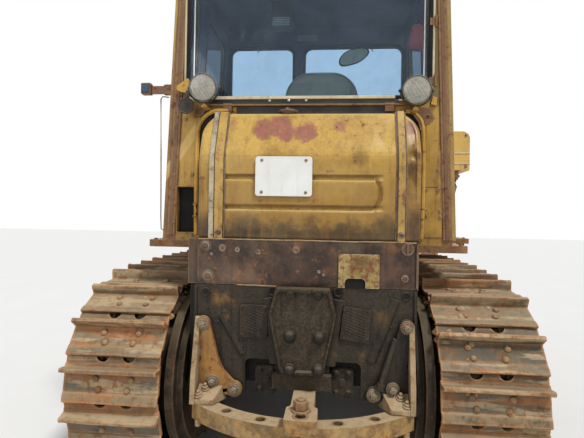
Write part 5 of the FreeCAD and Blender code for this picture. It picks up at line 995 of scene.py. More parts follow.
def coverMarks(f, colour):
    for x, z, wide, share in ((-430, 1085, 46, 0.8), (-380, 1098, 40, 0.8), (-350, 1070, 30, 0.7),
            (-396, 1012, 30, 0.7), (-330, 960, 18, 0.4), (-430, 900, 26, 0.35), (330, 820, 30, 0.5),
            (-40, 850, 24, 0.4), (420, 1010, 60, 0.35), (170, 830, 40, 0.4), (60, 1000, 60, 0.3)):
        patch = f.times(f.spot(x, -360, z, wide, 0.5, 0.22, x / 40), share)
        colour = f.blend(patch, colour, (136, 98, 52))
    # painted shade: near-black spots beside the boss, in the notches of the cover and under its tongue
    for x, z, wide in ((-150, 900, 70), (190, 900, 60), (-200, 720, 120), (240, 720, 120), (20, 680, 110),
            (-120, 1080, 50)):
        patch = f.times(f.spot(x, -360, z, wide, 0.8, 0.2, z / 30), 0.85)
        colour = f.blend(patch, colour, (16, 15, 14))
    return colour


coverFinish = weathered("oilyCover", look(oilCoat, (27, 25, 23), (46, 40, 33), (84, 72, 55)), coverMarks)
bossFinish = weathered("oilyBoss", look(oilCoat, (40, 34, 28), (24, 22, 19), (92, 77, 57), rust=(112, 84, 50),
    rustShare=0.1, speckle=0.7, patchSize=0.07))


def axleCover():
    m = cover["middle"]
    inner, outer = cover["notch"]
    foot, top, high, tongue = cover["foot"], cover["top"], cover["notchTop"], cover["tongue"]
    outline = [(cover["left"], top), (cover["right"], top), (cover["right"], foot), (m + outer, foot),
        (m + outer, high), (m + inner, high), (m + inner, tongue), (m - inner, tongue), (m - inner, high),
        (m - outer, high), (m - outer, foot), (cover["left"], foot)]
    radii = [10, 10, 30, 14, 30, 26, 20, 20, 26, 30, 14, 30]
    s = Shape()
    s.plate(roundedCorners(outline, radii, 5), "XZ", cover["front"], cover["rear"])
    s.piece("axleCoverPlate", coverFinish, bevel=7, steps=3, replaces=("axle_cover",))
    # raised ridges run from the boss to the corners
    for x0, z0, x1, z1, width in ((m + 180, 1100, m + 132, 760, 60), (m - 180, 1100, m - 132, 760, 60),
            (cover["left"] + 12, 1150, cover["left"] + 12, 1000, 12), (cover["right"] - 12, 1150, cover["right"] - 12,
            600, 12), (m + 350, 790, m + 470, 1110, 46), (m - 310, 800, m - 430, 1000, 30)):
        way = Vector((x1 - x0, 0, z1 - z0)).normalized()
        side = Vector((way.z, 0, -way.x)) * width / 2
        ring = []
        for k in range(9):
            p = Vector((x0, 0, z0)).lerp(Vector((x1, 0, z1)), k / 8)
            lift = 11 + 2 * wobble(p.x, 0, p.z, 30, 4)
            ring.append([(p.x - side.x * 1.3, -359, p.z - side.z * 1.3), (p.x - side.x * 0.6, -360 - lift,
                p.z - side.z * 0.6), (p.x + side.x * 0.6, -360 - lift, p.z + side.z * 0.6),
                (p.x + side.x * 1.3, -359, p.z + side.z * 1.3)])
        s.skin(ring)
    s.piece("axleCoverRibs", coverFinish, bevel=3)
    # the boss: a flat casting in a raised lip, hollowed between the bolts
    (a, za), (b, zb), (c, zc) = cover["boss"]
    shape = [(m - a, za), (m + a, za), (m + b, zb), (m + c, zc), (m - c, zc), (m - b, zb)]
    smooth = roundedCorners(shape, [14, 14, 60, 34, 34, 60], 6)
    s.plate(smooth, "XZ", cover["rear"] + 2, cover["bossRear"] + 12)
    middle = Vector((m, 0, 920))
    rings = []
    for share, y in ((1, cover["bossRear"] + 14), (1, cover["bossRear"] + 3), (0.985, cover["bossRear"]),
            (0.93, cover["bossRear"]), (0.91, cover["bossRear"] + 4), (0.88, cover["bossRear"] + 13)):
        rings.append([(middle.x + (x - middle.x) * share, y + 1.5 * wobble(x, y, z, 40, 6),
            middle.z + (z - middle.z) * share) for x, z in smooth])
    s.skin(rings)
    for x0, x1, z0, z1 in ((-66, -18, 700, 800), (80, 128, 700, 800)):
        s.plate(roundedCorners(rectangle((x0, x1), (z0 + 22, z1 - 16)), 20, 5), "XZ", -440, -424)
    s.box((m - 150, m + 150), (-400, -358), (642, 716))
    s.piece("powerBoss", bossFinish, bevel=4, angle=40)
    for x, z, size in ((-42, 918, 27), (104, 915, 27), (-40, 749, 27), (104, 754, 27)):
        s.lathe((x, -424, z), (0, -1, 0), [(-2, size * 1.25), (3, size * 1.2), (6, size * 1.02), (20, size),
            (30, size * 0.82), (37, size * 0.5), (40, 0)], 20)
    for x, z, size in ((-42, 1130, 15), (97, 1126, 15)):
        s.bolt((x, -436, z), (0, -1, 0), size, 12, True, x)
    for x, z, size in ((-138, 1133, 17), (200, 1138, 17), (-496, 1118, 15), (541, 1127, 15)):
        s.lathe((x, -361, z), (0, -1, 0), [(-2, size * 1.7), (4, size * 1.6), (5, size * 1.1), (1, size), (1, 0)], 20)
    for x, z in ((-424, 963), (468, 968), (-540, 860), (565, 860), (-300, 840), (60, 1010)):
        s.bolt((x, -360, z), (0, -1, 0), 8, 6, False, x, True)
    s.piece("axleCoverBolts", oilFinish, bevel=0.8)
    # painted shade: black discs stand for the dark insides of the open holes
    for x, z, size in ((-138, 1133, 14), (200, 1138, 14), (-496, 1118, 13), (541, 1127, 13)):
        s.lathe((x, -363.2, z), (0, -1, 0), [(0, size), (0.6, size), (0.6, 0)], 20)
    s.piece("axleCoverHoles", rubberFinish)
    # lids with pressed slanting ribs
    for way, name in sides:
        x = m + way * cover["lidSide"] + (8 if way < 0 else 6)
        half, low, high = cover["lidWidth"] / 2, cover["lidLow"], cover["lidHigh"]
        tilt = ("Y", 0 if way < 0 else 6, (x, -366, (low + high) / 2))
        s.plate(roundedCorners(rectangle((x - half, x + half), (low, high)), 8, 3), "XZ", -372, -358, turn=tilt)
        for k in range(9):
            z = low + 24 + (high - low - 48) * k / 8
            s.box((x - half + 16, x + half - 16), (-374.5, -371), (z - 2.4, z + 2.4), ("Y", 20, (x, -372, z)))
        for px in (-half + 12, half - 12):
            for pz in (low + 12, high - 12):
                s.bolt((x + px, -372, pz), (0, -1, 0), 6, 5, True, pz, True)
        s.piece("coverLid_" + name, coverFinish, bevel=1.6)
    # the two bolted blocks in the notches
    for way, x in ((-1, -172), (1, 228)):
        half = 56
        s.plate(roundedCorners([(x - half, 592), (x - 18, 592), (x - 12, 606), (x + 12, 606), (x + 18, 592),
            (x + half, 592), (x + half, 735), (x - half, 735)], [16, 5, 6, 6, 5, 16, 12, 12], 4), "XZ", -330, -296)
        s.lathe((x, -330, 664), (0, -1, 0), [(-2, 22), (5, 20), (8, 12), (8, 0)], 20)
        s.piece("bearingBlock" + str(way + 2), coverFinish, bevel=3)
        for px in (-32, 32):
            for pz in (612, 714):
                s.bolt((x + px, -330, pz), (0, -1, 0), 15, 13, True, px + pz, True)
        s.piece("bearingBolts" + str(way + 2), oilFinish)
    # a bar leans from the case to the right bracket
    s.rod((490, -372, 915), (412, -402, 668), 15, 16, 3)
    s.lathe((412, -402, 668), (-78, -30, -247), [(-26, 20), (4, 22), (10, 14)], 14)
    s.piece("leaningBar", coverFinish)


axleCover()
print("axle cover made")


# Brackets: a gusset with rounded ends around its bolts, a rib standing behind it, and the pad for the bow.
def bracket(way, outer, topBolt, footBolts, finish):
    name = "left" if way < 0 else "right"

    def across(distance):
        return outer - way * distance

    def arc(x, z, radius, start, end, steps=7):
        return [(x + way * radius * math.cos(math.radians(start + (end - start) * k / steps)),
            z + radius * math.sin(math.radians(start + (end - start) * k / steps))) for k in range(steps + 1)]

    tx, tz = topBolt
    (ax, az), (bx, bz) = footBolts
    outline = arc(tx, tz, 40, 170, 0, 8)
    outline = [(tx + way * 30, tz - 20)] + outline[::-1]
    side = []
    for share, bow in ((0.0, 0), (0.25, 10), (0.5, 22), (0.75, 20), (1.0, 0)):
        x0, z0 = tx - way * 42, tz - 10
        x1, z1 = bx + way * 6, bz + 42
        side.append((x0 + (x1 - x0) * share + way * bow, z0 + (z1 - z0) * share - bow * 0.9))
    foot = arc(bx, bz, 40, 110, 300, 8)
    low = [(ax - way * 14, az - 42), (across(8), az - 58), (across(2), az + 10), (across(34), az + 120),
        (across(4), az + 190)]
    points = outline + side + foot + low
    s = Shape()
    s.plate(points, "XZ", -388, -362)
    s.piece("bracketGusset_" + name, finish, slot="dusty_steel", bevel=3.5, replaces=("drawbar_brackets",), angle=40)
    for x, z in (topBolt, *footBolts):
        s.lathe((x, -387, z), (0, -1, 0), [(0, 36), (5, 35), (7, 31), (8, 22), (8, 0)], 28)
        s.bolt((x, -395, z), (0, -1, 0), 19, 18, False, x, False)
        s.lathe((x, -395, z), (0, -1, 0), [(0, 27), (5, 27), (7, 24), (7, 0)], 20)
        s.lathe((x, -395, z), (0, -1, 0), [(10, 11), (24, 10), (26, 8), (26, 0)], 14)
    s.piece("bracketBolts_" + name, greyedFinish, bevel=0.9)
    # the rib seen on edge: its rear edge runs back and down
    rib = roundedCorners([(-362, 985), (-378, 1000), (-392, 985), (-462, 690), (-470, 566), (-362, 566)],
        [0, 12, 16, 30, 6, 0], 5)
    s.plate(rib, "YZ", across(0), across(26))
    s.piece("bracketRib_" + name, dustyFinish, bevel=4, steps=3)
    # the pad slopes up to the gusset
    x0, x1 = across(24), across(168)
    s.skin([[(x0, -468, 566), (x0, -468, 594), (x0, -388, 646), (x0, -362, 650), (x0, -362, 566)],
        [(across(120), -466, 566), (across(120), -466, 592), (across(150), -388, 640), (across(160), -362, 646),
        (x1, -362, 566)]])
    s.piece("bracketPad_" + name, dustyFinish, bevel=5, steps=3)
    for px, py in ((66, -408), (40, -446)):
        z = 596 + (py + 466) * 0.62
        s.bolt((across(px), py, z), (0, -0.35 if py < -440 else -0.5, 1), 17, 13, True, px)
        s.lathe((across(px), py, z + 6), (0, -0.4, 1), [(0, 10), (20, 9), (22, 7), (22, 0)], 12)
        s.rod((across(px), py, 481), (across(px), py, 452), 15, 12, 3)
    s.piece("bracketPadNuts_" + name, dustyFinish, bevel=0.8)


greyedFinish = weathered("greyedSteel", look(dustySteel, (92, 82, 70), (70, 62, 52), (150, 134, 112), (190, 170, 140),
    dustShare=0.5, haze=0.2))
bracketYellow = weathered("bracketPaint", look(oldPaint, (156, 112, 50), (124, 86, 42), (182, 140, 80),
    rustShare=0.18, corner=0.7, haze=0.2, streaks=0.5))
bracket(-1, -540, (-503, 957), ((-443, 660), (-330, 624)), bracketYellow)
# the right gusset stands in shade, so it takes the near-black oily finish instead of yellow paint: painted shade
bracket(1, 580, (545, 975), ((478, 664), (384, 628)), oilFinish)
print("brackets made")

# The bow: an arc of thick flat bar, beige on top, rusty on its rear face, with four pin holes.
bow = {"middle": 20, "half": 560, "radius": 784.7, "centre": 129.7, "depth": 92, "low": 481, "high": 566,
    "holes": (-338, -158, 204, 380), "hole": 24}


def bowPoint(x, back):
    radius = bow["radius"] - back
    return bow["centre"] - math.sqrt(radius ** 2 - (x - bow["middle"]) ** 2)


def makeBow():
    m, half, depth = bow["middle"], bow["half"], bow["depth"]
    count = 48
    xs = [m - half + 2 * half * k / count for k in range(count + 1)]
    reach = (bow["radius"] - depth) / bow["radius"]
    outer = [(x, bowPoint(x, 0) + wobble(x, 0, 0, 40, 8) * 1.6) for x in xs]
    inner = [(m + (x - m) * reach, bowPoint(m + (x - m) * reach, depth) + wobble(x, 0, 0, 40, 9) * 1.6) for x in xs]
    holes = [circle(x, bowPoint(x, depth / 2) + 1, bow["hole"], 24) for x in bow["holes"]]
    s = Shape()
    s.plate(outer + inner[::-1], "XY", bow["low"], bow["high"], holes)
    s.piece("drawbarBow", bowFinish, bevel=5, steps=3, replaces=("drawbar_bow",), angle=40)
    for x in bow["holes"]:
        y = bowPoint(x, depth / 2) + 1
        s.lathe((x, y, bow["high"] - 1), (0, 0, 1), [(0, 25), (3.2, 26), (3.2, 31), (0, 33)], 28, False)
    s.piece("bowHoleRims", dustyFinish)


def bowMarks(f, colour):
    rear = f.facing("Y", -0.35, -0.8)
    tint = f.blend(f.spread(f.noise(0.06, 7, 0.7, shift=21), 0.36, 0.66), (168, 130, 74), (98, 78, 50))
    top = f.times(f.spread(f.noise(0.03, 6, 0.7, shift=30), 0.45, 0.62), 0.4)
    colour = f.blend(top, colour, (120, 92, 66))
    return f.blend(f.times(rear, 0.9), colour, tint)


bowFinish = weathered("bowSteel", look(dustySteel, (168, 144, 112), (132, 108, 80), dustShare=0.55), bowMarks)
makeBow()

# The drawbar: a flat bar under the case with a clevis plate, a great nut and the pin's hole.
shape = roundedCorners([(-18, 0), (-18, -590), (-36, -604), (-36, -745), (110, -745), (110, -604), (92, -590),
    (92, 0)], [0, 20, 14, 12, 12, 14, 20, 0], 5)
s.plate(shape, "XY", 571, 640, [circle(37, -700, 25, 28)])
s.piece("drawbarBar", bowFinish, bevel=5, steps=3, replaces=("drawbar",), angle=40)
s.lathe((37, -700, 638), (0, 0, 1), [(0, 26), (5, 27), (5, 37), (0, 40)], 28, False)
s.lathe((34, -640, 638), (0, 0, 1), [(0, 46), (8, 45), (10, 40), (10, 0)], 28)
s.bolt((34, -640, 646), (0, 0, 1), 36, 36, False, 0.25)
s.lathe((34, -640, 680), (0, 0, 1), [(0, 21), (14, 20), (17, 16), (17, 0)], 20)
s.piece("drawbarNut", boltFinish, bevel=1.6)
print("drawbar made")


# The cab's walls: paint that changes from the brown pillars to the yellow panels, lining on the inside.
cab = {"half": 828, "base": 1375, "lean": math.tan(math.radians(2.2)), "rear": -116, "pane": 690, "sill": 2202,
    "head": 2945, "round": 70}


def wallHalf(z):
    return cab["half"] - (z - cab["base"]) * cab["lean"]


liningTone = (48, 72, 104)


def lined(axis, low, high):
    def extra(f, colour):
        return f.blend(f.facing(axis, low, high), colour, liningTone)
    return extra


# Brown on the corner posts, olive beside the window, and a painted highlight: a paler sloping band of light on the
# left side panel.
def rearWallMarks(f, colour):
    x, z = f.along("X"), f.along("Z")
    lean = f.times(f.sum("SUBTRACT", z, 1.375), cab["lean"])
    ragged = f.times(f.sum("SUBTRACT", f.noise(0.05, 6, 0.7, shift=21), 0.5), 0.016)
    reach = f.plus(f.plus(f.sum("ABSOLUTE", x, 0.0), lean), ragged)
    brown = f.blend(f.spread(f.noise(0.09, 7, 0.7, shift=23), 0.3, 0.7), (104, 70, 50), (132, 92, 60))
    reach = f.sum("SUBTRACT", reach, f.spread(x, -0.01, 0.01, 0, 0.02))
    colour = f.blend(f.spread(reach, 0.746, 0.752), colour, brown)
    high = f.times(f.spread(reach, 0.814, 0.818), f.spread(z, 2.3, 2.6, 0.3, 1))
    colour = f.blend(high, colour, (164, 138, 70))
    upper = f.spread(z, 2.13, 2.17)
    olive = f.times(f.spread(reach, 0.70, 0.705), f.spread(reach, 0.754, 0.748))
    colour = f.blend(f.times(olive, upper), colour, (104, 90, 52))
    # painted highlight: a paler sloping band of light across the left side panel
    slope = f.plus(f.times(x, 0.9), f.times(z, -0.62))
    highlightBand = f.times(f.spread(slope, -1.862, -1.848), f.spread(slope, -1.79, -1.806))
    highlightBand = f.times(highlightBand, f.spread(x, -0.62, -0.66))
    colour = f.blend(f.times(highlightBand, 0.6), colour, (220, 186, 112))
    under = f.times(f.spread(z, 1.95, 1.6), f.spread(f.noise(0.12, 6, 0.7, shift=25), 0.4, 0.65, 0, 0.45))
    colour = f.blend(under, colour, (122, 88, 44))
    return f.blend(f.facing("Y", 0.4, 0.6), colour, liningTone)


# painted shade: the rear wall's yellow is a darker copy of the old paint
shadedRearWallFinish = weathered("cabRearPaintShaded", look(oldPaint, (176, 136, 56), (150, 112, 46), (194, 158, 84), streaks=0.6,
    corner=0.5), rearWallMarks)
frontWallFinish = weathered("cabFrontPaint", dict(oldPaint, corner=0.3), lined("Y", -0.4, -0.6))
leftWallFinish = weathered("cabLeftPaint", dict(oldPaint, corner=0.3), lined("X", 0.4, 0.6))
rightWallFinish = weathered("cabRightPaint", dict(oldPaint, corner=0.3), lined("X", -0.4, -0.6))
roofFinish = weathered("cabRoofPaint", dict(oldPaint, corner=0.3), lined("Z", -0.4, -0.6))

# Corner posts: folded covers with a raised middle, following the lean of the sides.
for side in (-1, 1):
    for inner, outer, stand in ((755, 805, 7), (768, 792, 11)):
        rings = []
        wide = 21 if side > 0 else 0
        for z in (1404, 3086):
            a, b = (edge + wide - (z - cab["base"]) * cab["lean"] for edge in (inner, outer))
            rings.append([(side * a, cab["rear"] + 1, z), (side * a, cab["rear"] - stand, z),
                (side * b, cab["rear"] - stand, z), (side * b, cab["rear"] + 1, z)])
        s.skin(rings)
s.piece("cornerPosts", pillarFinish, bevel=4, angle=30)
rings = []
for z in (1404, 3086):
    a, b = (edge - (z - cab["base"]) * cab["lean"] for edge in (824, 848))
    rings.append([(a, -60, z), (a, -122, z), (b, -118, z), (b, -64, z)])
s.skin(rings)
s.piece("cornerFlange", flangeFinish, bevel=3, angle=30)


# A closed bar around an outline, flat at one y unless a place is given for its points.
def frameRing(shape, outline, y, wide, deep, lift=0.0, count=8, place=None):
    place = place or (lambda u, out, v: (u, y + out, v))
    rings = []
    for i, (u, v) in enumerate(outline):
        before, after = Vector(outline[i - 1]), Vector(outline[(i + 1) % len(outline)])
        along = (after - before).normalized()
        normal = Vector((along.y, -along.x))
        ring = []
        for k in range(count):
            a = 2 * math.pi * (k + 0.5) / count
            shift = normal * (math.cos(a) * wide / 2 + lift)
            ring.append(place(u + shift.x, math.sin(a) * deep / 2, v + shift.y))
        rings.append(ring)
    made = [[shape.mesh.verts.new(point) for point in ring] for ring in rings]
    for ring, following in zip(made, made[1:] + made[:1]):
        for i in range(count):
            j = (i + 1) % count
            shape.mesh.faces.new((ring[i], ring[j], following[j], following[i]))


# The rear window: a rubber gasket lipped over the wall, a cream bead outside it.
window = roundedCorners(rectangle((-cab["pane"], cab["pane"]), (cab["sill"], cab["head"])), cab["round"], 8)
frameRing(s, window, cab["rear"] - 2, 24, 16)
s.piece("rearGasket", rubberFinish, angle=40)
frameRing(s, window, cab["rear"] - 3, 13, 14, 17)
s.piece("rearWindowBead", creamFinish, angle=40)
for side in (-1, 1):
    s.box(sorted((side * 655, side * 664)), (-107, -101), (cab["sill"] + 40, cab["head"] - 40))
s.piece("rearWindowSash", chromeFinish, bevel=2)

# The rail under the window: a cream band, a dark channel with clips, a brown lip, and painted shade for the gap over
# the tank.
s.box((-580, 500), (-134, -114), (2192, 2211))
s.piece("windowRail", creamFinish, bevel=4)
s.box((-560, 520), (-126, -114), (2166, 2191))
# painted shade: a black plate stands for the dark gap over the tank
s.box((-400, 500), (-120, -114), (2096, 2160))
s.piece("railChannelAndGapShade", blackFinish, bevel=2)
s.box((-560, 560), (-136, -114), (2154, 2165))
for x in (-452, 470):
    s.box((x - 26, x + 26), (-132, -114), (2120, 2170))
s.piece("railLip", pillarFinish, bevel=4)
for x in (-206, -96, 3):
    s.box((x - 7, x + 7), (-134, -120), (2178, 2191))
    s.lathe((x, -136, 2184), (0, 1, 0), [(0, 3), (1.5, 5), (4, 5)], 12)
s.piece("railClips", chromeFinish, bevel=1.5)

# The frame that follows the tank's shoulders, down both of its sides.
shoulder = 132
leftLine = [(-448, 2132), (-490, 2131)]
leftLine += [(-494 - shoulder * math.sin(a), 2000 + shoulder * math.cos(a))
    for a in (math.pi / 2 * k / 8 for k in range(1, 9))]
leftLine += [(-628, 1900), (-630, 1700), (-626, 1410)]
rightLine = [(560, 2124), (572, 2122)]
rightLine += [(562 + 94 * math.sin(a), 2030 + 94 * math.cos(a)) for a in (math.pi / 2 * k / 8 for k in range(1, 9))]
rightLine += [(660, 1900), (661, 1700), (655, 1410)]
for line in (leftLine, rightLine):
    s.sweep([(x, -122, z) for x, z in line], 13, 8, 0.9, (0, 1, 0))
s.piece("tankArch", yellowFinish, angle=30)
# painted shade: a black strip inside each arch stands for the dark gap beside the tank
for line, way in ((leftLine, 1), (rightLine, -1)):
    inner = [(x + way * 46, z - 10) for x, z in line]
    s.plate(line + inner[::-1], "XZ", -119, -115)
s.piece("tankArchShade", rubberFinish)
print("rear window and rail made")

# The hatch frame, the loops for the side panels, the right panel with its seam and bolts.
hatch = roundedCorners(rectangle((-741, -628), (1424, 1686)), 8, 4)
frameRing(s, hatch, -118, 9, 10, 5)
s.box((668, 770), (-121, -115), (1420, 1905))
s.box((672, 742), (-124, -115), (1700, 2080))
s.piece("sidePanels", shadedRearWallFinish, bevel=2)
# painted shade: a black plate set behind the hatch frame stands for the dark opening
s.plate(rectangle((-738, -631), (1427, 1683)), "XZ", -88, -84)
s.piece("hatchBack", rubberFinish)
for x, low, high in ((-634, 1517, 1587), (650, 1519, 1580)):
    s.sweep([(x, -112, high), (x + 3, -158, high - 2), (x + 20, -162, high - 6), (x + 22, -162, low + 6),
        (x + 3, -158, low), (x, -112, low)], 6, 10)
s.piece("panelLoops", yellowFinish, angle=50)
for x, z in ((677, 1683), (746, 1683), (738, 1795), (692, 2060), (757, 1532), (756, 1565), (-700, 2080), (-654, 1760),
        (-762, 1760), (-762, 1480), (-654, 1404)):
    s.bolt((x, -121, z), (0, -1, 0), 8, 6, True, x)
s.piece("panelBolts", boltFinish, bevel=0.8)
s.plate([(-748, 2262), (-742, 2240), (-712, 2228), (-676, 2222), (-670, 2300), (-682, 2310)], "XZ", -160, -152)
s.box((-700, -676), (-156, -112), (2236, 2300))
s.box((-738, -726), (-156, -112), (2240, 2262))
s.plate([(694, 2160), (726, 2150), (730, 2196), (706, 2204)], "XZ", -130, -114)
s.piece("lampBrackets", yellowFinish, bevel=2)
s.plate([(560, 2150), (690, 2138), (716, 2080), (664, 2044), (640, 2010), (628, 2060), (598, 2100)], "XZ", -132, -114,
    [circle(676, 2086, 12)])
s.plate([(-560, 2150), (-640, 2140), (-650, 2090), (-600, 2100)], "XZ", -132, -114)
s.piece("cornerGussets", pillarFinish, bevel=2)
for z in (2290, 2620, 2900):
    s.box((684, 716), (-128, -114), (z - 20, z + 20))
    s.rod((716, -130, z - 32), (716, -130, z + 32), 8, 12, 1.5)
s.piece("rearWindowHinges", pillarFinish, bevel=2)
print("rear wall fittings made")


# Round work lamps: a pressed bowl, a rim, a ribbed lens and the bail that holds it.
def workLamp(name, x, z, front, tilt, replaces=()):
    aim = Vector((tilt[0], 1 if front > 0 else -1, tilt[1])).normalized()
    middle = Vector((x, front, z))
    s = Shape()
    s.lathe(middle - aim * 88, aim, [(0, 20), (4, 34), (22, 52), (52, 68), (78, 75), (88, 76), (91, 71), (85, 70)],
        40)
    s.piece(name + "Bowl", blackFinish, angle=40, replaces=replaces)
    s.lathe(middle - aim * 10, aim, [(0, 74), (2, 77), (8, 78), (14, 77), (17, 74), (15, 71), (10, 69)], 48)
    s.piece(name + "Rim", rimFinish, angle=50)
    side = aim.cross(Vector((0, 0, 1))).normalized()
    other = aim.cross(side)
    rings = []
    for k in range(17):
        r = 70 * (k + 0.2) / 16.2
        ring = []
        for i in range(72):
            a = 2 * math.pi * i / 72
            u, v = r * math.cos(a), r * math.sin(a)
            crown = 9 * (1 - (r / 70) ** 2)
            rib = 2.4 * (abs(math.sin((u * 0.83 + v * 0.55) * math.pi / 17)) ** 0.6)
            ring.append(middle + aim * (1 + crown + rib) + side * u + other * v)
        rings.append(ring)
    s.skin(rings, True, False)
    s.faces(rings[0], [tuple(range(72))])
    s.welded(0.01)
    s.piece(name + "Lens", lensFinish, angle=20)
    points = [middle - aim * 34 + Vector((84 * math.cos(a), 0, 84 * math.sin(a)))
        for a in (math.pi * (1 + k / 14) for k in range(15))]
    s.sweep(points, 5, 8, 2.0, aim)
    for way in (-1, 1):
        s.bolt(middle - aim * 34 + Vector((way * 86, 0, 0)), (way, 0, 0), 9, 7)
    s.piece(name + "Bail", blackFinish, bevel=1)


workLamp("rearLampLeft", -568, 2235, -232, (0.05, -0.12))
workLamp("rearLampRight", 600, 2212, -232, (-0.06, -0.1))
workLamp("headLampLeft", -330, 2140, 2952, (0, -0.05), ("head_lamps",))
workLamp("headLampRight", 330, 2140, 2952, (0, -0.05))
for x, z in ((-568, 2235), (600, 2212)):
    s.rod((x, -198, z - 84), (x, -198, z - 100), 12, 12, 2)
    s.box((x - 16, x + 16), (-208, -114), (z - 104, z - 94))
for x in (-330, 330):
    s.rod((x, 2915, 2028), (x, 2915, 2058), 14, 16, 3)
    s.box((x - 36, x + 36), (2885, 2945), (2028, 2036))
s.piece("lampStands", yellowFinish, bevel=2)

# Horn, marker lamp and the thin grab rail at the left corner.
s.lathe((-676, -178, 2142), (0, -1, 0), [(0, 14), (4, 42), (12, 47), (17, 46), (18, 40), (13, 36), (13, 20), (19, 12),
    (21, 0)], 36)
s.rod((-676, -180, 2142), (-676, -114, 2142), 12, 12)
s.box((-684, -668), (-172, -160), (2142, 2236))
s.piece("horn", blackFinish, angle=40, replaces=("cab_lamps",))
s.box((-918, -790), (-102, -86), (2236, 2284))
s.box((-840, -790), (-110, -80), (2230, 2290))
s.piece("markerArm", pillarFinish, bevel=4)
s.box((-978, -918), (-118, -72), (2232, 2300))
s.piece("markerBox", pillarFinish, slot="dark_metal", bevel=8, steps=3)
s.box((-972, -924), (-128, -116), (2240, 2292))
s.piece("markerLens", cabinFinish, slot="glass", bevel=7, steps=3)
s.sweep([(-806, -112, 2212), (-836, -130, 2212), (-846, -134, 2196), (-840, -134, 1900), (-834, -134, 1500),
    (-832, -132, 1440), (-820, -118, 1430)], 3.5, 8)
s.piece("cornerRail", beamFinish, angle=60, slot="yellow_paint")
print("lamps and rails made")

# Inside the cab: the seat's cushions are swelled as cloth, then get their piping and channels.
def softened(item, voxel, pressure, cap):
    bpy.context.view_layer.objects.active = item
    grain = item.modifiers.new("even grain", "REMESH")
    grain.mode = "VOXEL"
    grain.voxel_size = voxel
    bpy.ops.object.modifier_apply(modifier=grain.name)
    before = [vert.co.copy() for vert in item.data.vertices]
    cloth = item.modifiers.new("swelling", "CLOTH")
    cloth.settings.use_pressure = True
    cloth.settings.uniform_pressure_force = pressure
    cloth.settings.effector_weights.gravity = 0
    cloth.settings.quality = 5
    for number in range(1, 21):
        bpy.context.scene.frame_set(number)
    shown = item.evaluated_get(bpy.context.evaluated_depsgraph_get())
    after = [vert.co.copy() for vert in shown.data.vertices]
    item.modifiers.remove(cloth)
    for vert, start, end in zip(item.data.vertices, before, after):
        step = end - start
        if step.length > cap:
            step = step.normalized() * cap
        vert.co = start + step
    bpy.context.scene.frame_set(1)
    return item


def cushion(name, outline, plane, start, end, crown, voxel=0.009):
    s = Shape()
    middle = (start + end) / 2
    centre = Vector((sum(u for u, v in outline) / len(outline), sum(v for u, v in outline) / len(outline)))
    order = planes[plane]
    rings = []
    for k in range(-6, 7):
        share = k / 6
        pull = 1 - 0.1 * abs(share) ** 4
        rings.append([order(centre.x + (u - centre.x) * pull, centre.y + (v - centre.y) * pull,
            middle + (end - start) / 2 * share * (1 if abs(share) < 1 else 0.97)) for u, v in outline])
    for side, level in ((0, start), (1, end)):
        for part in (0.8, 0.55, 0.3, 0.1):
            lift = crown * (1 - part ** 2)
            ring = [order(centre.x + (u - centre.x) * part, centre.y + (v - centre.y) * part,
                level + (lift if side else -lift)) for u, v in outline]
            rings = rings + [ring] if side else [ring] + rings
    s.skin(rings)
    item = s.piece(name, clothFinish)
    softened(item, voxel, 4, 0.012)
    return item


# Channels are pressed in after the swelling: the surface sinks along lines on the face named.
def sewn(item, lines, along, out, deep, wide):
    for vert in item.data.vertices:
        x, y, z = vert.co.x * 1000, (vert.co.y - shaftY) * 1000, vert.co.z * 1000
        place = {"x": x, "y": y, "z": z}[along]
        sink = sum(deep * math.exp(-((place - line) / wide) ** 2) for line in lines)
        vert.co -= Vector(out) * (sink / 1000)
    for face in item.data.polygons:
        face.use_smooth = True
    smooth = item.modifiers.new("fine cloth", "SUBSURF")
    smooth.levels = smooth.render_levels = 1


backOutline = roundedCorners([(-168, 1850), (322, 1850), (322, 2472), (-168, 2472)], [40, 40, 175, 175], 10)
backCushion = cushion("seatBack", backOutline, "XZ", 232, 322, 5)
seatOutline = roundedCorners([(-164, 338), (318, 338), (318, 800), (-164, 800)], [50, 50, 90, 90], 8)
baseCushion = cushion("seatBase", seatOutline, "XY", 1858, 1948, 6)
sewn(backCushion, (-10, 77, 164), "x", (0, 1, 0), 4, 9)
sewn(baseCushion, (450, 570, 690), "y", (0, 0, 1), 5, 9)
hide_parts("seat_cushions")
for y in (236, 318):
    frameRing(s, [(77 + (x - 77) * 0.945, 2161 + (z - 2161) * 0.95) for x, z in backOutline], y, 8, 8)
s.piece("seatPiping", clothFinish, angle=60)
shellOutline = roundedCorners([(-132, 1890), (286, 1890), (286, 2200), (-132, 2200)], [30, 30, 90, 90], 10)
s.plate(shellOutline, "XZ", 219, 227)
for x in (-40, 194):
    s.rod((x, 205, 1700), (x, 214, 2180), 14, 14, 2)
for x, z in ((-90, 1960), (244, 1960), (-90, 2120), (244, 2120)):
    s.bolt((x, 219, z), (0, -1, 0), 9, 5)
s.piece("seatShell", shellFinish, bevel=3)
print("seat made")

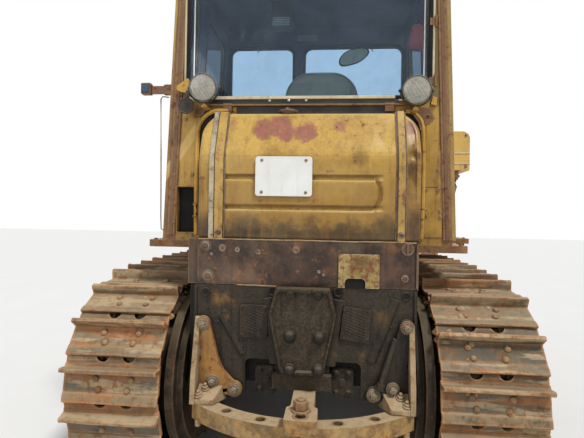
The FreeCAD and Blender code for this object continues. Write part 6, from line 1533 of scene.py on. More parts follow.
# Ceiling vent, plain panel over the windshield, mirror, wipers and the pouch on the right side.
s.box((-292, -150), (470, 560), (2862, 2936))
s.box((-300, -142), (560, 700), (2930, 3098))
s.piece("ceilingVent", blackFinish, bevel=5)
for i in range(5):
    z = 2874 + i * 12
    s.box((-282, -160), (462, 472), (z, z + 4), ("X", 20, (0, 467, z)))
s.piece("ventSlats", chromeFinish, bevel=1)
s.plate([(-160, 2990), (20, 2990), (6, 3040), (-148, 3040)], "XZ", 1052, 1064)
s.piece("plainPanel", lensFinish, slot="white_plate", bevel=3)
outline = [(315 + 122 * math.copysign(abs(math.cos(a)) ** 0.8, math.cos(a)) + 10 * math.sin(a),
    2838 + 56 * math.sin(a) * (1.15 - 0.2 * math.cos(a)) + 34 * math.cos(a))
    for a in (2 * math.pi * k / 40 for k in range(40))]
rings = []
for share, y in ((0.5, 1036), (0.86, 1030), (1.0, 1014), (1.0, 1004), (0.93, 1000), (0.91, 1003)):
    rings.append([(315 + (x - 315) * share, y, 2842 + (z - 2842) * share) for x, z in outline])
s.skin(rings)
s.rod((315, 1030, 2850), (315, 1062, 2968), 7, 12)
s.piece("mirrorBody", blackFinish, angle=40)
# painted reflection on the mirror's face
s.plate([(315 + (x - 315) * 0.9, 2842 + (z - 2842) * 0.9) for x, z in outline], "XZ", 1001.5, 1003.5)
s.piece("mirrorFace", mirrorReflectionFinish, slot="glass", bevel=0.8)
for x, way in ((-440, -1), (420, 1)):
    s.rod((x, 1098, 2975), (x, 1118, 2975), 12, 14, 2)
    s.sweep([(x, 1114, 2975), (x + way * 30, 1112, 2950), (x + way * 56, 1104, 2915)], 4, 8)
s.piece("wipers", blackFinish, bevel=1.5)
pouchOutline = roundedCorners([(612, 2580), (716, 2572), (708, 2735), (640, 2742)], 26, 6)
pouch = cushion("redPouch", pouchOutline, "XZ", 170, 215, 4, 0.008)
pouch.data.materials.clear()
pouch.data.materials.append(redFinish)
for face in pouch.data.polygons:
    face.use_smooth = True
s.rod((690, 190, 2735), (738, 190, 2760), 5, 10)
s.rod((690, 190, 2725), (690, 190, 2742), 5, 10)
s.piece("pouchHook", blackFinish)
# Knobs on the levers and dials on the dashboard.
for k in range(4):
    x = (k - 1.5) * 130
    s.lathe((x, 880, 2122), (0, 0, 1), [(0, 14), (8, 20), (24, 27), (44, 26), (58, 18), (64, 4)], 24)
s.piece("leverKnobs", rubberFinish, angle=60)
dials = Shape()
for k in range(5):
    x = -300 + k * 110
    dials.lathe((x, 904, 1900), (0, -1, 0), [(0, 38), (6, 40), (9, 38), (9, 33), (4, 32)], 28)
    s.lathe((x, 902, 1900), (0, -1, 0), [(0, 33), (6, 32), (7.5, 20), (8, 2)], 28)
dials.piece("dialRims", chromeFinish)
s.piece("dialFaces", blackFinish, angle=60)
gaskets = Shape()
for left, right in ((-719, -178), (-94, 719)):
    pane = roundedCorners(rectangle((left, right), (2060, 2945)), cab["round"], 8)
    frameRing(gaskets, pane, 1064, 26, 14)
    frameRing(gaskets, pane, 1100, 26, 14)
gaskets.piece("frontGaskets", rubberFinish, angle=40)
print("cab interior made")

# Ahead of the cab: hood with its seams and latches, the guard with its grille, stacks and lamps.
hood = {"half": 430, "rear": 1120, "front": 2850, "bend": 1800, "foot": 1190, "seams": (1158, 1692, 2272, 2812)}

section = roundedCorners([(-431, 1806), (-431, 1996), (431, 1996), (431, 1806)], [0, 90, 90, 0], 8)
for start, end in ((1122, 1690), (1694, 2270), (2274, 2849)):
    rings = []
    for y, shrink in ((start, 5), (start + 5, 0), (end - 5, 0), (end, 5)):
        rings.append([(x * (1 - shrink / 431), y, z - shrink * (1 if z > 1900 else 0)) for x, z in section])
    s.skin(rings, closed=False, capped=False)
    s.skin([[(x * 0.985, y, z - 6) for x, y, z in ring] for ring in rings], closed=False, capped=False)
s.piece("hoodSkin", yellowFinish, angle=35)
bands = Shape()
for y in hood["seams"]:
    outer = roundedCorners([(-433, 1802), (-433, 1999), (433, 1999), (433, 1802)], [0, 91, 91, 0], 8)
    bands.skin([[(x, y - 15, z) for x, z in outer], [(x, y + 15, z) for x, z in outer]], closed=False, capped=False)
    bands.skin([[(x * 0.99, y - 15, z - 4) for x, z in outer], [(x, y - 15, z) for x, z in outer]], closed=False,
        capped=False)
    bands.skin([[(x, y + 15, z) for x, z in outer], [(x * 0.99, y + 15, z - 4) for x, z in outer]], closed=False,
        capped=False)
bands.piece("hoodBands", yellowFinish, angle=35)
for y in hood["seams"]:
    for side in (-1, 1):
        for z in (1826, 1890):
            s.bolt((side * 433, y, z), (side, 0, 0), 9, 7, True, z)
    for x in (-250, 0, 250):
        s.bolt((x, y, 1999), (0, 0, 1), 9, 6, True, x)
s.piece("hoodBolts", boltFinish, bevel=0.8)

# Side panels: a folded rim, hooded louvres over the slots, handles and latches.
for side, name in sides:
    face = side * hood["half"]
    for y0, y1 in ((1130, 1700), (1704, 2270), (2274, 2840)):
        for a, b, c, d in ((y0, y1, 1192, 1214), (y0, y1, 1776, 1798), (y0, y0 + 22, 1192, 1798),
                (y1 - 22, y1, 1192, 1798)):
            s.box(sorted((face - side * 2, face + side * 6)), (a, b), (c, d))
    s.piece("hoodPanelRims_" + name, yellowFinish, bevel=3)
    for group in range(3):
        middle = hood["rear"] + (hood["front"] - hood["rear"]) * (group + 0.5) / 3
        for row in range(12):
            z = hood["foot"] + (hood["bend"] - hood["foot"]) * (row + 0.75) / 12.5
            rings = []
            for y, share in ((-172, 0.1), (-160, 0.8), (-150, 1), (150, 1), (160, 0.8), (172, 0.1)):
                out = 15 * share
                rings.append([(face - side * 1, middle + y, z + 16), (face + side * out * 0.55, middle + y, z + 11),
                    (face + side * out, middle + y, z), (face + side * out * 0.8, middle + y, z - 3),
                    (face + side * 1, middle + y, z + 6)])
            s.skin(rings)
    s.piece("hoodLouvres_" + name, yellowFinish, angle=40)
    for y in (1300, 1540, 1880, 2100, 2460, 2680):
        s.box(sorted((face, face + side * 12)), (y - 14, y + 14), (1782, 1806))
        s.rod((face + side * 10, y, 1744), (face + side * 10, y, 1800), 6, 10, 2)
        s.lathe((face, y, 1215), (side, 0, 0), [(0, 17), (4, 16), (6, 10), (9, 9), (10, 3)], 18)
    for y in (1415, 1990, 2560):
        s.sweep([(face, y - 46, 1500), (face + side * 26, y - 44, 1500), (face + side * 30, y - 34, 1500),
            (face + side * 30, y + 34, 1500), (face + side * 26, y + 44, 1500), (face, y + 46, 1500)], 6, 8)
    s.piece("hoodLatches_" + name, blackFinish, bevel=1.5)
print("hood made")

# Radiator guard: cast posts with a raised edge, bolts, and the bars in front of the core.
outline = roundedCorners([(-482, 862), (482, 862), (482, 2032), (-482, 2032)], [20, 20, 70, 70], 8)
opening = roundedCorners([(-388, 952), (388, 952), (388, 1908), (-388, 1908)], 26, 6)
s.plate(outline, "XZ", 2968, 2984, [opening])
s.piece("guardFace", yellowFinish, bevel=5, steps=3)
frameRing(s, opening, 2985, 14, 10, -9)
frameRing(s, roundedCorners([(-470, 874), (470, 874), (470, 2020), (-470, 2020)], [14, 14, 62, 62], 8), 2985, 9, 8)
s.piece("guardLips", yellowFinish, angle=40)
for x in (-436, 436):
    for k in range(9):
        s.bolt((x, 2984, 930 + k * 127), (0, 1, 0), 13, 10, True, k)
for k in range(6):
    s.bolt((-325 + k * 130, 2984, 1968), (0, 1, 0), 13, 10, True, k)
    s.bolt((-325 + k * 130, 2984, 906), (0, 1, 0), 13, 10, True, k)
for side in (-1, 1):
    for k in range(7):
        s.bolt((side * 481, 2890, 960 + k * 150), (side, 0, 0), 12, 9, True, k)
s.piece("guardBolts", boltFinish, bevel=0.8)
for k in range(3):
    z = 1180 + k * 245
    s.box((-386, 386), (2938, 2950), (z - 12, z + 12))
for k in range(15):
    x = -390 + 780 * (k + 0.5) / 15
    rings = [[(x - 9, y, z), (x + 9, y, z), (x + 5, y + 12, z), (x - 5, y + 12, z)]
        for y, z in ((2935, 955), (2935, 1905))]
    s.skin(rings)
s.piece("grilleBars", blackFinish, bevel=2)
for k in range(46):
    z = 965 + k * 20.4
    s.box((-384, 384), (2848, 2853), (z, z + 7))
s.piece("radiatorFins", oilFinish, slot="dark_metal")
s.lathe((0, 2915, 2028), (0, 0, 1), [(0, 52), (10, 52), (14, 40), (30, 40), (30, 58), (46, 60), (54, 50), (58, 20),
    (60, 0)], 32)
for way in (-1, 1):
    s.box((way * 62 - 12, way * 62 + 12), (2907, 2923), (2060, 2072))
s.piece("radiatorCap", blackFinish, angle=40)

# Exhaust: collar, heat sleeve, a raincap on its hinge. Air cleaner: bowl, bands and dome.
stack, cleanerMiddle = (-170, 2130), (190, 1720)
s.lathe((*stack, 1994), (0, 0, 1), [(0, 96), (6, 96), (10, 70), (24, 58), (40, 52)], 40)
s.lathe((*stack, 2090), (0, 0, 1), [(0, 53), (6, 72), (30, 88), (46, 93), (380, 93), (396, 88), (420, 70), (430, 53)],
    44)
s.lathe((*stack, 2520), (0, 0, 1), [(0, 51), (338, 50), (342, 52), (350, 52), (352, 44), (300, 44)], 36, False)
for z in (2150, 2440):
    s.lathe((*stack, z), (0, 0, 1), [(-14, 92), (-12, 96), (12, 96), (14, 92)], 44, False)
s.piece("exhaustMuffler", exhaustFinish, angle=40)
s.lathe((*stack, 2874), (-0.35, 0, 1), [(0, 54), (3, 55), (6, 52), (10, 20), (11, 0)], 32)
s.box((-236, -214), (2118, 2142), (2846, 2862))
s.rod((-222, 2112, 2862), (-222, 2148, 2862), 6, 12)
s.box((-262, -222), (2124, 2136), (2860, 2872))
s.piece("rainCap", exhaustFinish, bevel=1)
s.lathe((*cleanerMiddle, 1994), (0, 0, 1), [(0, 70), (4, 72), (30, 72), (34, 92), (60, 118), (72, 123), (240, 123),
    (250, 118), (262, 118), (266, 124), (300, 124), (304, 110), (306, 104), (318, 104), (322, 122), (350, 122),
    (372, 112), (392, 84), (402, 40), (405, 0)], 48)
s.piece("airCleanerBowl", yellowFinish, angle=30, replaces=("air_cleaner",))
for z in (2090, 2206):
    s.lathe((*cleanerMiddle, z), (0, 0, 1), [(0, 123), (1, 126), (23, 126), (24, 123)], 48, False)
    s.box((180, 200), (1586, 1600), (z + 2, z + 22))
    s.bolt((190, 1594, z + 12), (1, 0, 0), 8, 12)
s.piece("airCleanerStraps", blackFinish, bevel=1)
for k in range(36):
    a = 2 * math.pi * k / 36
    x, y = cleanerMiddle[0] + 107 * math.cos(a), cleanerMiddle[1] + 107 * math.sin(a)
    s.rod((x, y, 2294), (x, y, 2318), 3, 6)
s.piece("airCleanerScreen", blackFinish)
print("guard, stacks made")

# Cab roof: pressed ribs and gutters. Cab sides: door handles, gaskets, rails, fender decks and steps.
for x in (-520, -260, 0, 260, 520):
    s.box((x - 34, x + 34), (-60, 1040), (3178, 3190))
s.piece("roofRibs", roofFinish, bevel=8, steps=3)
ring = roundedCorners(rectangle((-782, 782), (-136, 1120)), 70, 6)
points = [(u, v, 3098) for u, v in ring] + [(ring[0][0], ring[0][1], 3098)]
s.sweep(points, 8, 8)
s.piece("roofGutter", roofFinish, angle=50)


def wallPoint(side, y, z, out=0.0):
    return (side * (wallHalf(z) + out), y, z)


for side, name in sides:
    for gasket, body, across, high in (("quarterGasket_", "root", (10, 240), 2945),
            ("doorGasket_", "door_" + name, (425, 935), 2890)):
        pane = roundedCorners(rectangle(across, (2120, high)), 55, 6)
        for face in (1, -37):
            frameRing(s, pane, 0, 24, 12, 0, 6, lambda u, out, v: wallPoint(side, u, v, face + out))
        s.piece(gasket + name, rubberFinish, body=body, angle=50)
    z = 1960
    s.lathe(wallPoint(side, 960, z, -2), (side, 0, 0), [(0, 24), (6, 24), (8, 14), (30, 13), (32, 10)], 24)
    s.sweep([wallPoint(side, 960, z, 30), wallPoint(side, 940, z - 4, 32), wallPoint(side, 850, z - 18, 32)], 9, 12)
    s.lathe(wallPoint(side, 975, z - 90, -1), (side, 0, 0), [(0, 13), (5, 12), (6, 6), (6, 0)], 20)
    s.piece("doorHandle_" + name, chromeFinish, body="door_" + name, angle=40)
    for y0, y1, z0, z1 in ((400, 950, 1500, 1520), (400, 950, 1980, 2000), (400, 420, 1500, 2000),
            (930, 950, 1500, 2000)):
        made = s.box((0, 7), (y0, y1), (z0, z1))
        for vert in made:
            vert.co.x = side * (wallHalf(vert.co.z) - 2 + vert.co.x)
    s.piece("doorPressing_" + name, leftWallFinish if side < 0 else rightWallFinish, body="door_" + name, bevel=4)
    for y in (290, 1056):
        s.sweep([wallPoint(side, y, 1700, -2), wallPoint(side, y, 1704, 34), wallPoint(side, y, 1730, 44),
            wallPoint(side, y, 2330, 44), wallPoint(side, y, 2356, 34), wallPoint(side, y, 2360, -2)], 11, 12, 1,
            (0, 1, 0))
    s.piece("grabRails_" + name, blackFinish, angle=60)
    # the right deck lies under the hydraulic tank, so only the left one has its tread
    for i in range(9 if side < 0 else 0):
        for j in range(4):
            x, y = side * (900 + j * 52), 1140 + i * 62
            s.box((x - 16, x + 16), (y - 5, y + 5), (1374, 1379), ("Z", 45 if (i + j) % 2 else -45, (x, y, 1376)))
    for y in (-90, 200, 500, 800):
        s.bolt((side * 880, y, 1375), (0, 0, 1), 11, 8, True, y)
    for y in (1120, 1400, 1680):
        s.bolt((side * 1235, y, 1375), (0, 0, 1), 11, 8, True, y)
    s.piece("fenderDeck_" + name, fenderFinish, bevel=1.5)
    s.box(sorted((side * 1194, side * 1262)), (1180, 1480), (1280, 1294))
    for y in (1186, 1474):
        s.box(sorted((side * 1196, side * 1260)), (y - 6, y + 6), (1290, 1340))
    for k in range(12):
        s.box(sorted((side * 1200, side * 1256)), (1192 + k * 24, 1198 + k * 24), (1292, 1299))
    s.piece("fenderStep_" + name, blackFinish, bevel=2)
print("cab sides made")

# The hydraulic tank: bands, its filler, a return pipe to the floor and the small fitting under it.
for z in (1975, 2060):
    s.box((848, 1265), (1076, 1604), (z, z + 16))
s.piece("hydraulicTankBands", creamFinish, bevel=5)
s.lathe((1000, 1340, 2243), (0, 0, 1), [(0, 52), (8, 52), (10, 40), (24, 40), (24, 54), (34, 56), (38, 46), (40, 0)],
    32)
for x in (880, 1056, 1232):
    for z in (1960, 2215):
        s.bolt((x, 1080, z), (0, -1, 0), 9, 7, True, x)
s.piece("hydraulicTankCap", boltFinish, bevel=0.8)
s.lathe((1165, 1130, 1936), (0, 0, -1), [(0, 36), (10, 36), (12, 24), (40, 24), (42, 34), (58, 34), (64, 22),
    (80, 20)], 24)
s.sweep([(1165, 1130, 1862), (1165, 1130, 1800), (1150, 1140, 1740), (1110, 1160, 1700), (1080, 1170, 1690)], 15, 12)
s.lathe((1098, 1166, 1694), (-1, 0.2, -0.1), [(0, 24), (12, 24), (14, 30), (20, 30)], 20)
s.piece("hydraulicFitting", boltFinish, angle=40)
print("hydraulic tank made")

# The blade: wear plates and seams on its face, bolted edge sections, end plates, lugs on its back.
blade = {"low": 25, "high": 1303, "front": 3950, "curve": 1350}
lift = {"side": 590, "y": 2985, "z": 1750, "foot": (3530, 470), "ahead": 400, "behind": 860}
arm = {"inner": 1250, "outer": 1410, "middle": 1330, "pin": (1150, 430)}
blade["middle"] = (blade["low"] + blade["high"]) / 2
blade["centre"] = blade["front"] + math.sqrt(blade["curve"] ** 2 - ((blade["high"] - blade["low"]) / 2) ** 2)


def faceY(z, out=0.0):
    return blade["centre"] - math.sqrt((blade["curve"] - out) ** 2 - (z - blade["middle"]) ** 2)


def faceStrip(s, x, z, thickness, steps=10):
    rings = []
    for k in range(steps + 1):
        height = z[0] + (z[1] - z[0]) * k / steps
        y = faceY(height)
        rings.append([(x[0], y - 3, height), (x[0], y + thickness, height), (x[1], y + thickness, height),
            (x[1], y - 3, height)])
    s.skin(rings)


for k in range(4):
    x0 = -1596 + k * 798
    faceStrip(s, (x0 + 4, x0 + 794), (214, 1180), 3.5, 22)
s.piece("bladeFacePlates", moldboardFinish, body="blade_assembly", bevel=1.2, angle=25)
faceStrip(s, (-1600, 1600), (1186, 1294), 10, 6)
for side in (-1, 1):
    faceStrip(s, sorted((side * 1564, side * 1600)), (206, 1190), 12, 18)
s.piece("bladeTopBand", bladeFinish, body="blade_assembly", slot="blade_steel", bevel=4, angle=25)


def edgeFace(z):
    low, high = 3972, faceY(203) + 22
    return low + (high - low) * (z - 3) / 200


for x0, x1 in ((-1600, -1290), (-1286, -432), (-428, 428), (432, 1286), (1290, 1600)):
    thick = 9 if abs(x0 + x1) > 2500 else 5
    s.skin([[(x, edgeFace(z) + (-2 if face == 0 else thick), z) for face, z in ((0, 10), (1, 6), (1, 196), (0, 200))]
        for x in (x0, x1)])
s.piece("edgeSections", edgeFinish, body="blade_assembly", bevel=2)
for k in range(22):
    x = -1540 + k * 3080 / 21
    y = edgeFace(150) + 6
    s.lathe((x, y - 3, 150), (0, 1, -0.12), [(0, 17), (5, 16), (7, 12), (8, 0)], 18)
    s.box((x - 9, x + 9), (y - 1, y + 3), (141, 159))
s.piece("edgeBolts", boltFinish, body="blade_assembly", bevel=0.8)

for k in range(6):
    x = -1588 + 3176 * k / 5
    s.skin([[(x - 26, 3640, z), (x - 12, 3628, z), (x + 12, 3628, z), (x + 26, 3640, z)] for z in (300, 1110)])
for z in (103, 273, 1048, 1218):
    line = [(x, 3637, z) for x in range(-1596, 1597, 56)]
    s.sweep([(x, y, z + 2 * wobble(x, 0, z, 40)) for x, y, z in line], 5, 6)
for side in (-1, 1):
    for way in (-1, 1):
        x = side * lift["side"] + way * 53
        s.lathe((x, *lift["foot"]), (way, 0, 0), [(8, 52), (14, 52), (18, 46), (18, 30), (24, 30), (26, 0)], 28)
        s.bolt((x + way * 26, lift["foot"][0], lift["foot"][1] + 22), (way, 0, 0), 7, 6)
    for x in (arm["middle"] * side - 70, arm["middle"] * side + 70):
        for z in (300, 640, 930, 1170):
            s.bolt((x, 3638, z), (0, -1, 0), 15, 12, True, z)
s.piece("bladeBackSeams", bladeFinish, body="blade_assembly", slot="blade_steel", bevel=2, angle=40)
print("blade made")

# Push arms with their wear pads, welds, pin caps; braces with threads, lock rings and grease fittings.
for side, name in sides:
    x0, x1 = sorted((side * arm["inner"], side * arm["outer"]))
    for z, way in ((330, -1), (530, 1)):
        for x in (x0 + 6, x1 - 6):
            line = [(x, 1240 + k * 60, z + way * 16 + 1.5 * wobble(x, k * 60, z, 50)) for k in range(40)]
            s.sweep(line, 6, 6)
    for y in (1500, 2300, 3250):
        for z in (330, 530):
            s.box((x0 - 4, x1 + 4), (y - 70, y + 70), (z - 4, z + 4))
    for way in (-1, 1):
        face = x1 if way > 0 else x0
        s.lathe((face - way * 2, *arm["pin"]), (way, 0, 0), [(0, 118), (6, 118), (10, 112), (10, 64), (4, 60)], 44,
            False)
    s.piece("pushArmTrim_" + name, bladeFinish, body="blade_assembly", bevel=2)
    outer = side * arm["outer"]
    s.lathe((outer - side * 2, *arm["pin"]), (side, 0, 0), [(0, 60), (14, 60), (20, 54), (22, 30), (24, 0)], 32)
    s.boltRing(outer + side * 19, *arm["pin"], 44, 6, side, 8, 6)
    s.piece("pushArmPinCap_" + name, boltFinish, bevel=0.8)
    foot, head = Vector((side * arm["middle"], 2750, 572)), Vector((side * arm["middle"], 3598, 1080))
    way = (head - foot).normalized()
    s.lathe(foot + way * 330, way, [(-8, 46), (-6, 64), (22, 66), (26, 61), (326, 61), (330, 66), (356, 64),
        (358, 46)], 28)
    for k in range(16):
        for start in (200, 706):
            s.lathe(foot + way * (start + k * 7.5), way, [(0, 42), (2, 45), (4, 45), (6, 42)], 24, False)
    s.rod(foot + way * 505 - way.cross(Vector((1, 0, 0))) * 92, foot + way * 505 + way.cross(Vector((1, 0, 0))) * 92,
        13, 12, 2)
    s.piece("braceSleeve_" + name, bladeFinish, body="blade_assembly", angle=40)
    for place in (foot, head):
        s.lathe(place - Vector((74, 0, 0)), (1, 0, 0), [(0, 22), (4, 30), (12, 30), (14, 24), (134, 24), (136, 30),
            (144, 30), (148, 22)], 24)
        s.bolt(place + Vector((side * 60, 26, 26)), (side, 0, 0), 7, 6)
    s.piece("bracePins_" + name, boltFinish, body="blade_assembly", bevel=0.8)
print("push arms made")

# Lift cylinders: head and gland with their bolts, the oil pipe along the barrel, the wiper and the rod's eye.
down = Vector((0, lift["foot"][0] - lift["y"], lift["foot"][1] - lift["z"])).normalized()
for side, name in sides:
    pivot = Vector((side * lift["side"], lift["y"], lift["z"]))
    mouth, head = pivot + down * lift["ahead"], pivot - down * lift["behind"]
    s.lathe(mouth - down * 58, down, [(0, 84), (4, 87), (40, 87), (46, 82), (58, 78), (60, 60), (66, 56), (66, 37)],
        40, False)
    s.lathe(head - down * 2, down, [(0, 20), (2, 60), (10, 72), (16, 79), (44, 79), (50, 73)], 40)
    for far in (-560, -240, 210):
        s.lathe(pivot - down * -far, down, [(-16, 73), (-14, 77), (14, 77), (16, 73)], 40, False)
    s.piece("barrelHead_" + name, yellowFinish, body="lift_barrel_" + name, angle=40)
    side1 = Vector((1, 0, 0))
    side2 = down.cross(side1)
    for k in range(8):
        a = math.pi * (k + 0.5) / 4
        s.bolt(mouth + down * 1 + side1 * 70 * math.cos(a) + side2 * 70 * math.sin(a), down, 8, 7, True, k)
    run = [head + down * 60 + side2 * -76, head + down * 60 + side2 * -100, head + down * 90 + side2 * -108,
        pivot - down * 20 + side2 * -108, mouth - down * 110 + side2 * -108, mouth - down * 82 + side2 * -100,
        mouth - down * 82 + side2 * -78]
    s.sweep(run, 13, 12, 1, (1, 0, 0))
    for place in (head + down * 60 + side2 * -72, mouth - down * 82 + side2 * -72):
        s.lathe(place, -side2, [(0, 24), (16, 24), (18, 18), (26, 18)], 6)
    s.piece("barrelPipes_" + name, blackFinish, body="lift_barrel_" + name, angle=40, bevel=0.8)
    foot = Vector((side * lift["side"], *lift["foot"]))
    s.lathe(foot - Vector((36, 0, 0)), (1, 0, 0), [(0, 50), (1, 59), (4, 60), (68, 60), (71, 59), (72, 50)], 36,
        False)
    s.lathe(foot - down * 104, down, [(0, 35), (4, 46), (40, 48), (56, 54)], 28)
    s.piece("rodEye_" + name, boltFinish, body="lift_rod_" + name, angle=40)
    x = side * (lift["side"] + 112)
    s.lathe((x - side * 4, lift["y"], lift["z"]), (side, 0, 0), [(0, 60), (8, 60), (12, 54), (12, 34), (16, 32),
        (18, 0)], 32)
    s.boltRing(x + side * 7, lift["y"], lift["z"], 45, 4, side, 8, 7, True, 0.5)
    s.piece("yokeCap_" + name, boltFinish, bevel=0.8)
print("cylinders made")

# Undercarriage: rims and bolts of the rollers and wheels, guards along the track frames, bolts of the plates below.
gear = {"side": 1070, "rollers": (510, 880, 1250, 1620, 1990), "rollerHeight": 292.3, "idler": (2517, 546),
    "sprocket": (0, 616)}
for side, name in sides:
    outer = side * gear["side"]
    for y in gear["rollers"]:
        s.lathe((outer - side * 6, y, gear["rollerHeight"]), (side, 0, 0),
            [(0, 96), (8, 96), (10, 84), (16, 60), (34, 56), (38, 44), (40, 0)], 32)
        s.boltRing(outer + side * 4, y, gear["rollerHeight"], 74, 6, side, 8, 6, False)
    s.piece("rollerHubs_" + name, gearFinish, bevel=1.2, angle=40)
    y, z = gear["idler"]
    for radius, stand in ((312, 6), (236, 10)):
        s.lathe((outer - side * 2, y, z), (side, 0, 0), [(0, radius + 12), (stand, radius + 8), (stand, radius - 8),
            (0, radius - 12)], 72, False)
    s.lathe((outer - side * 4, y, z), (side, 0, 0), [(0, 120), (12, 116), (20, 90), (48, 82), (54, 70), (58, 0)], 44)
    s.boltRing(outer + side * 8, y, z, 102, 8, side, 9, 7, False)
    for k in range(8):
        a = math.pi * k / 4
        s.lathe((outer - side * 1, y + 196 * math.cos(a + 0.39), z + 196 * math.sin(a + 0.39)), (side, 0, 0),
            [(0, 34), (3, 33), (3, 28), (0, 27)], 24, False)
    s.piece("idlerFace_" + name, gearFinish, angle=40)
    y, z = gear["sprocket"]
    s.lathe((outer - side * 3, y, z), (side, 0, 0), [(0, 318), (7, 314), (7, 262), (0, 258)], 60, False)
    s.boltRing(outer + side * 3, y, z, 288, 20, side, 14, 12)
    s.piece("sprocketRing_" + name, gearFinish, bevel=1, angle=40)
    for y0, y1 in ((360, 1080), (1100, 2120)):
        s.box(sorted((side * 1074, side * 1088)), (y0, y1), (500, 512))
    for k in range(12):
        s.bolt((side * 1085, 420 + k * 150, 560), (side, 0, 0), 13, 10, True, k)
    for y in (700, 1560):
        for low, high, foot, top in ((-110, 110, 420, 436), (-110, -98, 436, 500), (98, 110, 436, 500)):
            s.box(sorted((side * 1070, side * 1100)), (y + low, y + high), (foot, top))
    s.piece("trackFrameFittings_" + name, gearFinish, bevel=2)
for y0, y1 in ((1090, 2080), (2340, 2800)):
    for x in (-310, 310):
        for k in range(4):
            y = y0 + 60 + (y1 - y0 - 120) * k / 3
            s.bolt((x, y, 546), (0, 0, -1), 14, 10, True, k)
s.piece("bellyGuardBolts", boltFinish, bevel=1)
# the plate that carries the tank from the beam to the cab
s.box((-470, 470), (-250, -82), (1162, 1374))
s.box((-590, 590), (-252, -118), (1376, 1399))
s.piece("tankShelf", beamFinish, bevel=4)
# earth packed on the final drives and against the brackets
luck = random.Random(5)
for side in (-1, 1):
    for k in range(46):
        a = luck.uniform(-0.9, 0.5)
        r = luck.uniform(440, 462)
        x = side * luck.uniform(700, 782)
        size = luck.uniform(14, 40)
        y, z = r * math.sin(a) - 20, 616 + r * math.cos(a)
        s.lathe((x, y, z - size * 0.4), (luck.uniform(-0.3, 0.3), luck.uniform(-0.3, 0.3), 1),
            [(0, size * 1.1), (size * 0.4, size), (size * 0.8, size * 0.62), (size * luck.uniform(0.9, 1.3), 0)], 10)
for x, y, z in ((-706, -196, 968), (-722, -150, 962), (-738, -104, 952)):
    s.lathe((x, y, z), (0, 0, 1), [(0, 40), (22, 38), (50, 30), (72, 12), (78, 0)], 12)
for vert in s.mesh.verts:
    vert.co += Vector([7 * wobble(*vert.co, 22, seed) for seed in (1, 2, 3)])
s.piece("driveEarth", dustyFinish, angle=60)
for side in (-1, 1):
    s.lathe((side * 783, 0, 616), (side, 0, 0), [(0, 468), (0, 476), (8, 476), (8, 462)], 90, False)
s.piece("sprocketRimPaint", sprocketPaintFinish, slot="rusty_steel", angle=30)
print("undercarriage made")

# The rest of the CAD shows as it is, each node in its own finish.
shown = ((yellowFinish, ("hood_top", "hood_sides", "radiator_guard", "fuel_tank", "lift_barrel_left",
    "lift_barrel_right", "cylinder_yokes", "rear_beam")), (fenderFinish, ("fender_left", "fender_right")),
    (oilTankFinish, ("hydraulic_tank",)), (shadedRearWallFinish, ("cab_rear_wall",)),
    (frontWallFinish, ("cab_front_wall",)), (leftWallFinish, ("cab_wall_left", "door_left")),
    (rightWallFinish, ("cab_wall_right", "door_right")), (roofFinish, ("cab_roof",)),
    (bladeFinish, ("push_arms", "blade_braces")), (moldboardFinish, ("blade",)), (edgeFinish, ("cutting_edge",)),
    (oilFinish, ("axle_case", "axle_cover", "gear_case", "engine", "radiator")),
    (dustyFinish, ("drawbar_brackets", "drawbar_bow", "drawbar")), (gearFinish,
    ("sprockets", "idlers", "track_rollers", "track_frame_left", "track_frame_right", "equalizer_spring",
    "main_frame", "belly_guard")), (driveFinish, ("final_drives",)), (shellFinish, ("seat_frame",)),
    (blackFinish, ("radiator_grille", "cab_lamps", "head_lamps", "air_cleaner")), (exhaustFinish, ("exhaust_pipe",)),
    (cabinFinish, ("cab_floor", "cab_controls")), (plateFinish, ("number_plate",)), (clothFinish, ("seat_cushions",)),
    (glassFinish, ("window_glass", "door_glass_left", "door_glass_right")),
    (chromeFinish, ("lift_rod_left", "lift_rod_right")), (shoeFinish, ("track_left", "track_right")))
for finish, names in shown:
    for name in names:
        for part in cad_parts[name].material_slots:
            part.material = finish
        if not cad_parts[name].material_slots:
            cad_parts[name].data.materials.append(finish)
print("finishes given")

# A pale floor, soft studio light and the camera where the photographer stood.
groundMesh = bpy.data.meshes.new("ground")
groundMesh.from_pydata([(-40, -40, 0), (40, -40, 0), (40, 40, 0), (-40, 40, 0)], [], [(0, 1, 2, 3)])
ground = bpy.data.objects.new("ground", groundMesh)
bpy.context.scene.collection.objects.link(ground)
f = Finish("paleFloor")
paving = f.blend(f.noise(0.6, 4, 0.5), (222, 221, 218), (228, 227, 224))
f.surface(paving, 0.9)
groundMesh.materials.append(f.material)

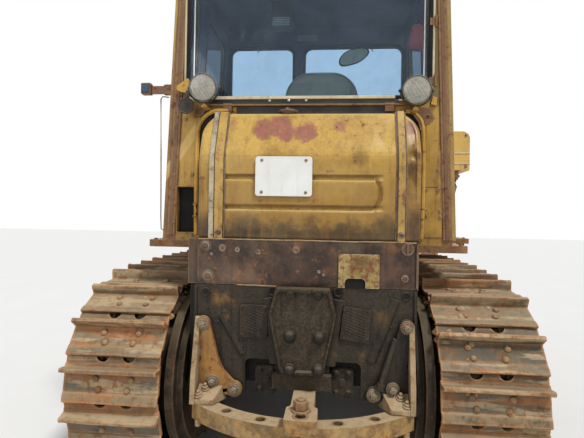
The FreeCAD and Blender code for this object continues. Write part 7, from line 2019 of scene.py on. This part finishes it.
studio = bpy.data.worlds.new("studio")
bpy.context.scene.world = studio
studio.use_nodes = True
tree = studio.node_tree
tree.nodes.clear()
rays = tree.nodes.new("ShaderNodeLightPath")
seen = tree.nodes.new("ShaderNodeMath")
seen.operation = "MAXIMUM"
seenThrough = tree.nodes.new("ShaderNodeMath")
seenThrough.operation = "MAXIMUM"
tree.links.new(rays.outputs["Is Camera Ray"], seen.inputs[0])
tree.links.new(rays.outputs["Is Glossy Ray"], seen.inputs[1])
tree.links.new(seen.outputs["Value"], seenThrough.inputs[0])
tree.links.new(rays.outputs["Is Transmission Ray"], seenThrough.inputs[1])
dim, white = tree.nodes.new("ShaderNodeBackground"), tree.nodes.new("ShaderNodeBackground")
dim.inputs["Color"].default_value = (0.93, 0.96, 1.0, 1.0)
dim.inputs["Strength"].default_value = 0.5
white.inputs["Color"].default_value = (1.0, 1.0, 1.0, 1.0)
white.inputs["Strength"].default_value = 1.0
choice, output = tree.nodes.new("ShaderNodeMixShader"), tree.nodes.new("ShaderNodeOutputWorld")
tree.links.new(seenThrough.outputs["Value"], choice.inputs["Fac"])
tree.links.new(dim.outputs["Background"], choice.inputs[1])
tree.links.new(white.outputs["Background"], choice.inputs[2])
tree.links.new(choice.outputs["Shader"], output.inputs["Surface"])


def lamp(name, kind, power, place, target, size):
    light = bpy.data.lights.new(name, kind)
    light.energy = power
    if kind == "SUN":
        light.angle = size
    else:
        light.shape = "DISK"
        light.size = size
    item = bpy.data.objects.new(name, light)
    item.location = place
    item.rotation_euler = (Vector(target) - Vector(place)).to_track_quat("-Z", "Y").to_euler()
    bpy.context.scene.collection.objects.link(item)


lamp("sunSoft", "SUN", 2.5, (4.6, -4.4, 10.0), (0.0, 0.0, 0.0), math.radians(9))
lamp("fillRear", "AREA", 90, (-4.0, -8.0, 3.5), (0.0, -1.5, 1.2), 4.0)

lens = bpy.data.cameras.new("photographer")
lens.sensor_width = 36
lens.lens = 27.74
camera = bpy.data.objects.new("photographer", lens)
camera.location = (0.161, shaftY - 2.680, 1.510)
camera.rotation_euler = (math.radians(90), math.radians(-1), math.radians(5.1))
bpy.context.scene.collection.objects.link(camera)
bpy.context.scene.camera = camera
bpy.context.scene.view_settings.view_transform = "Standard"
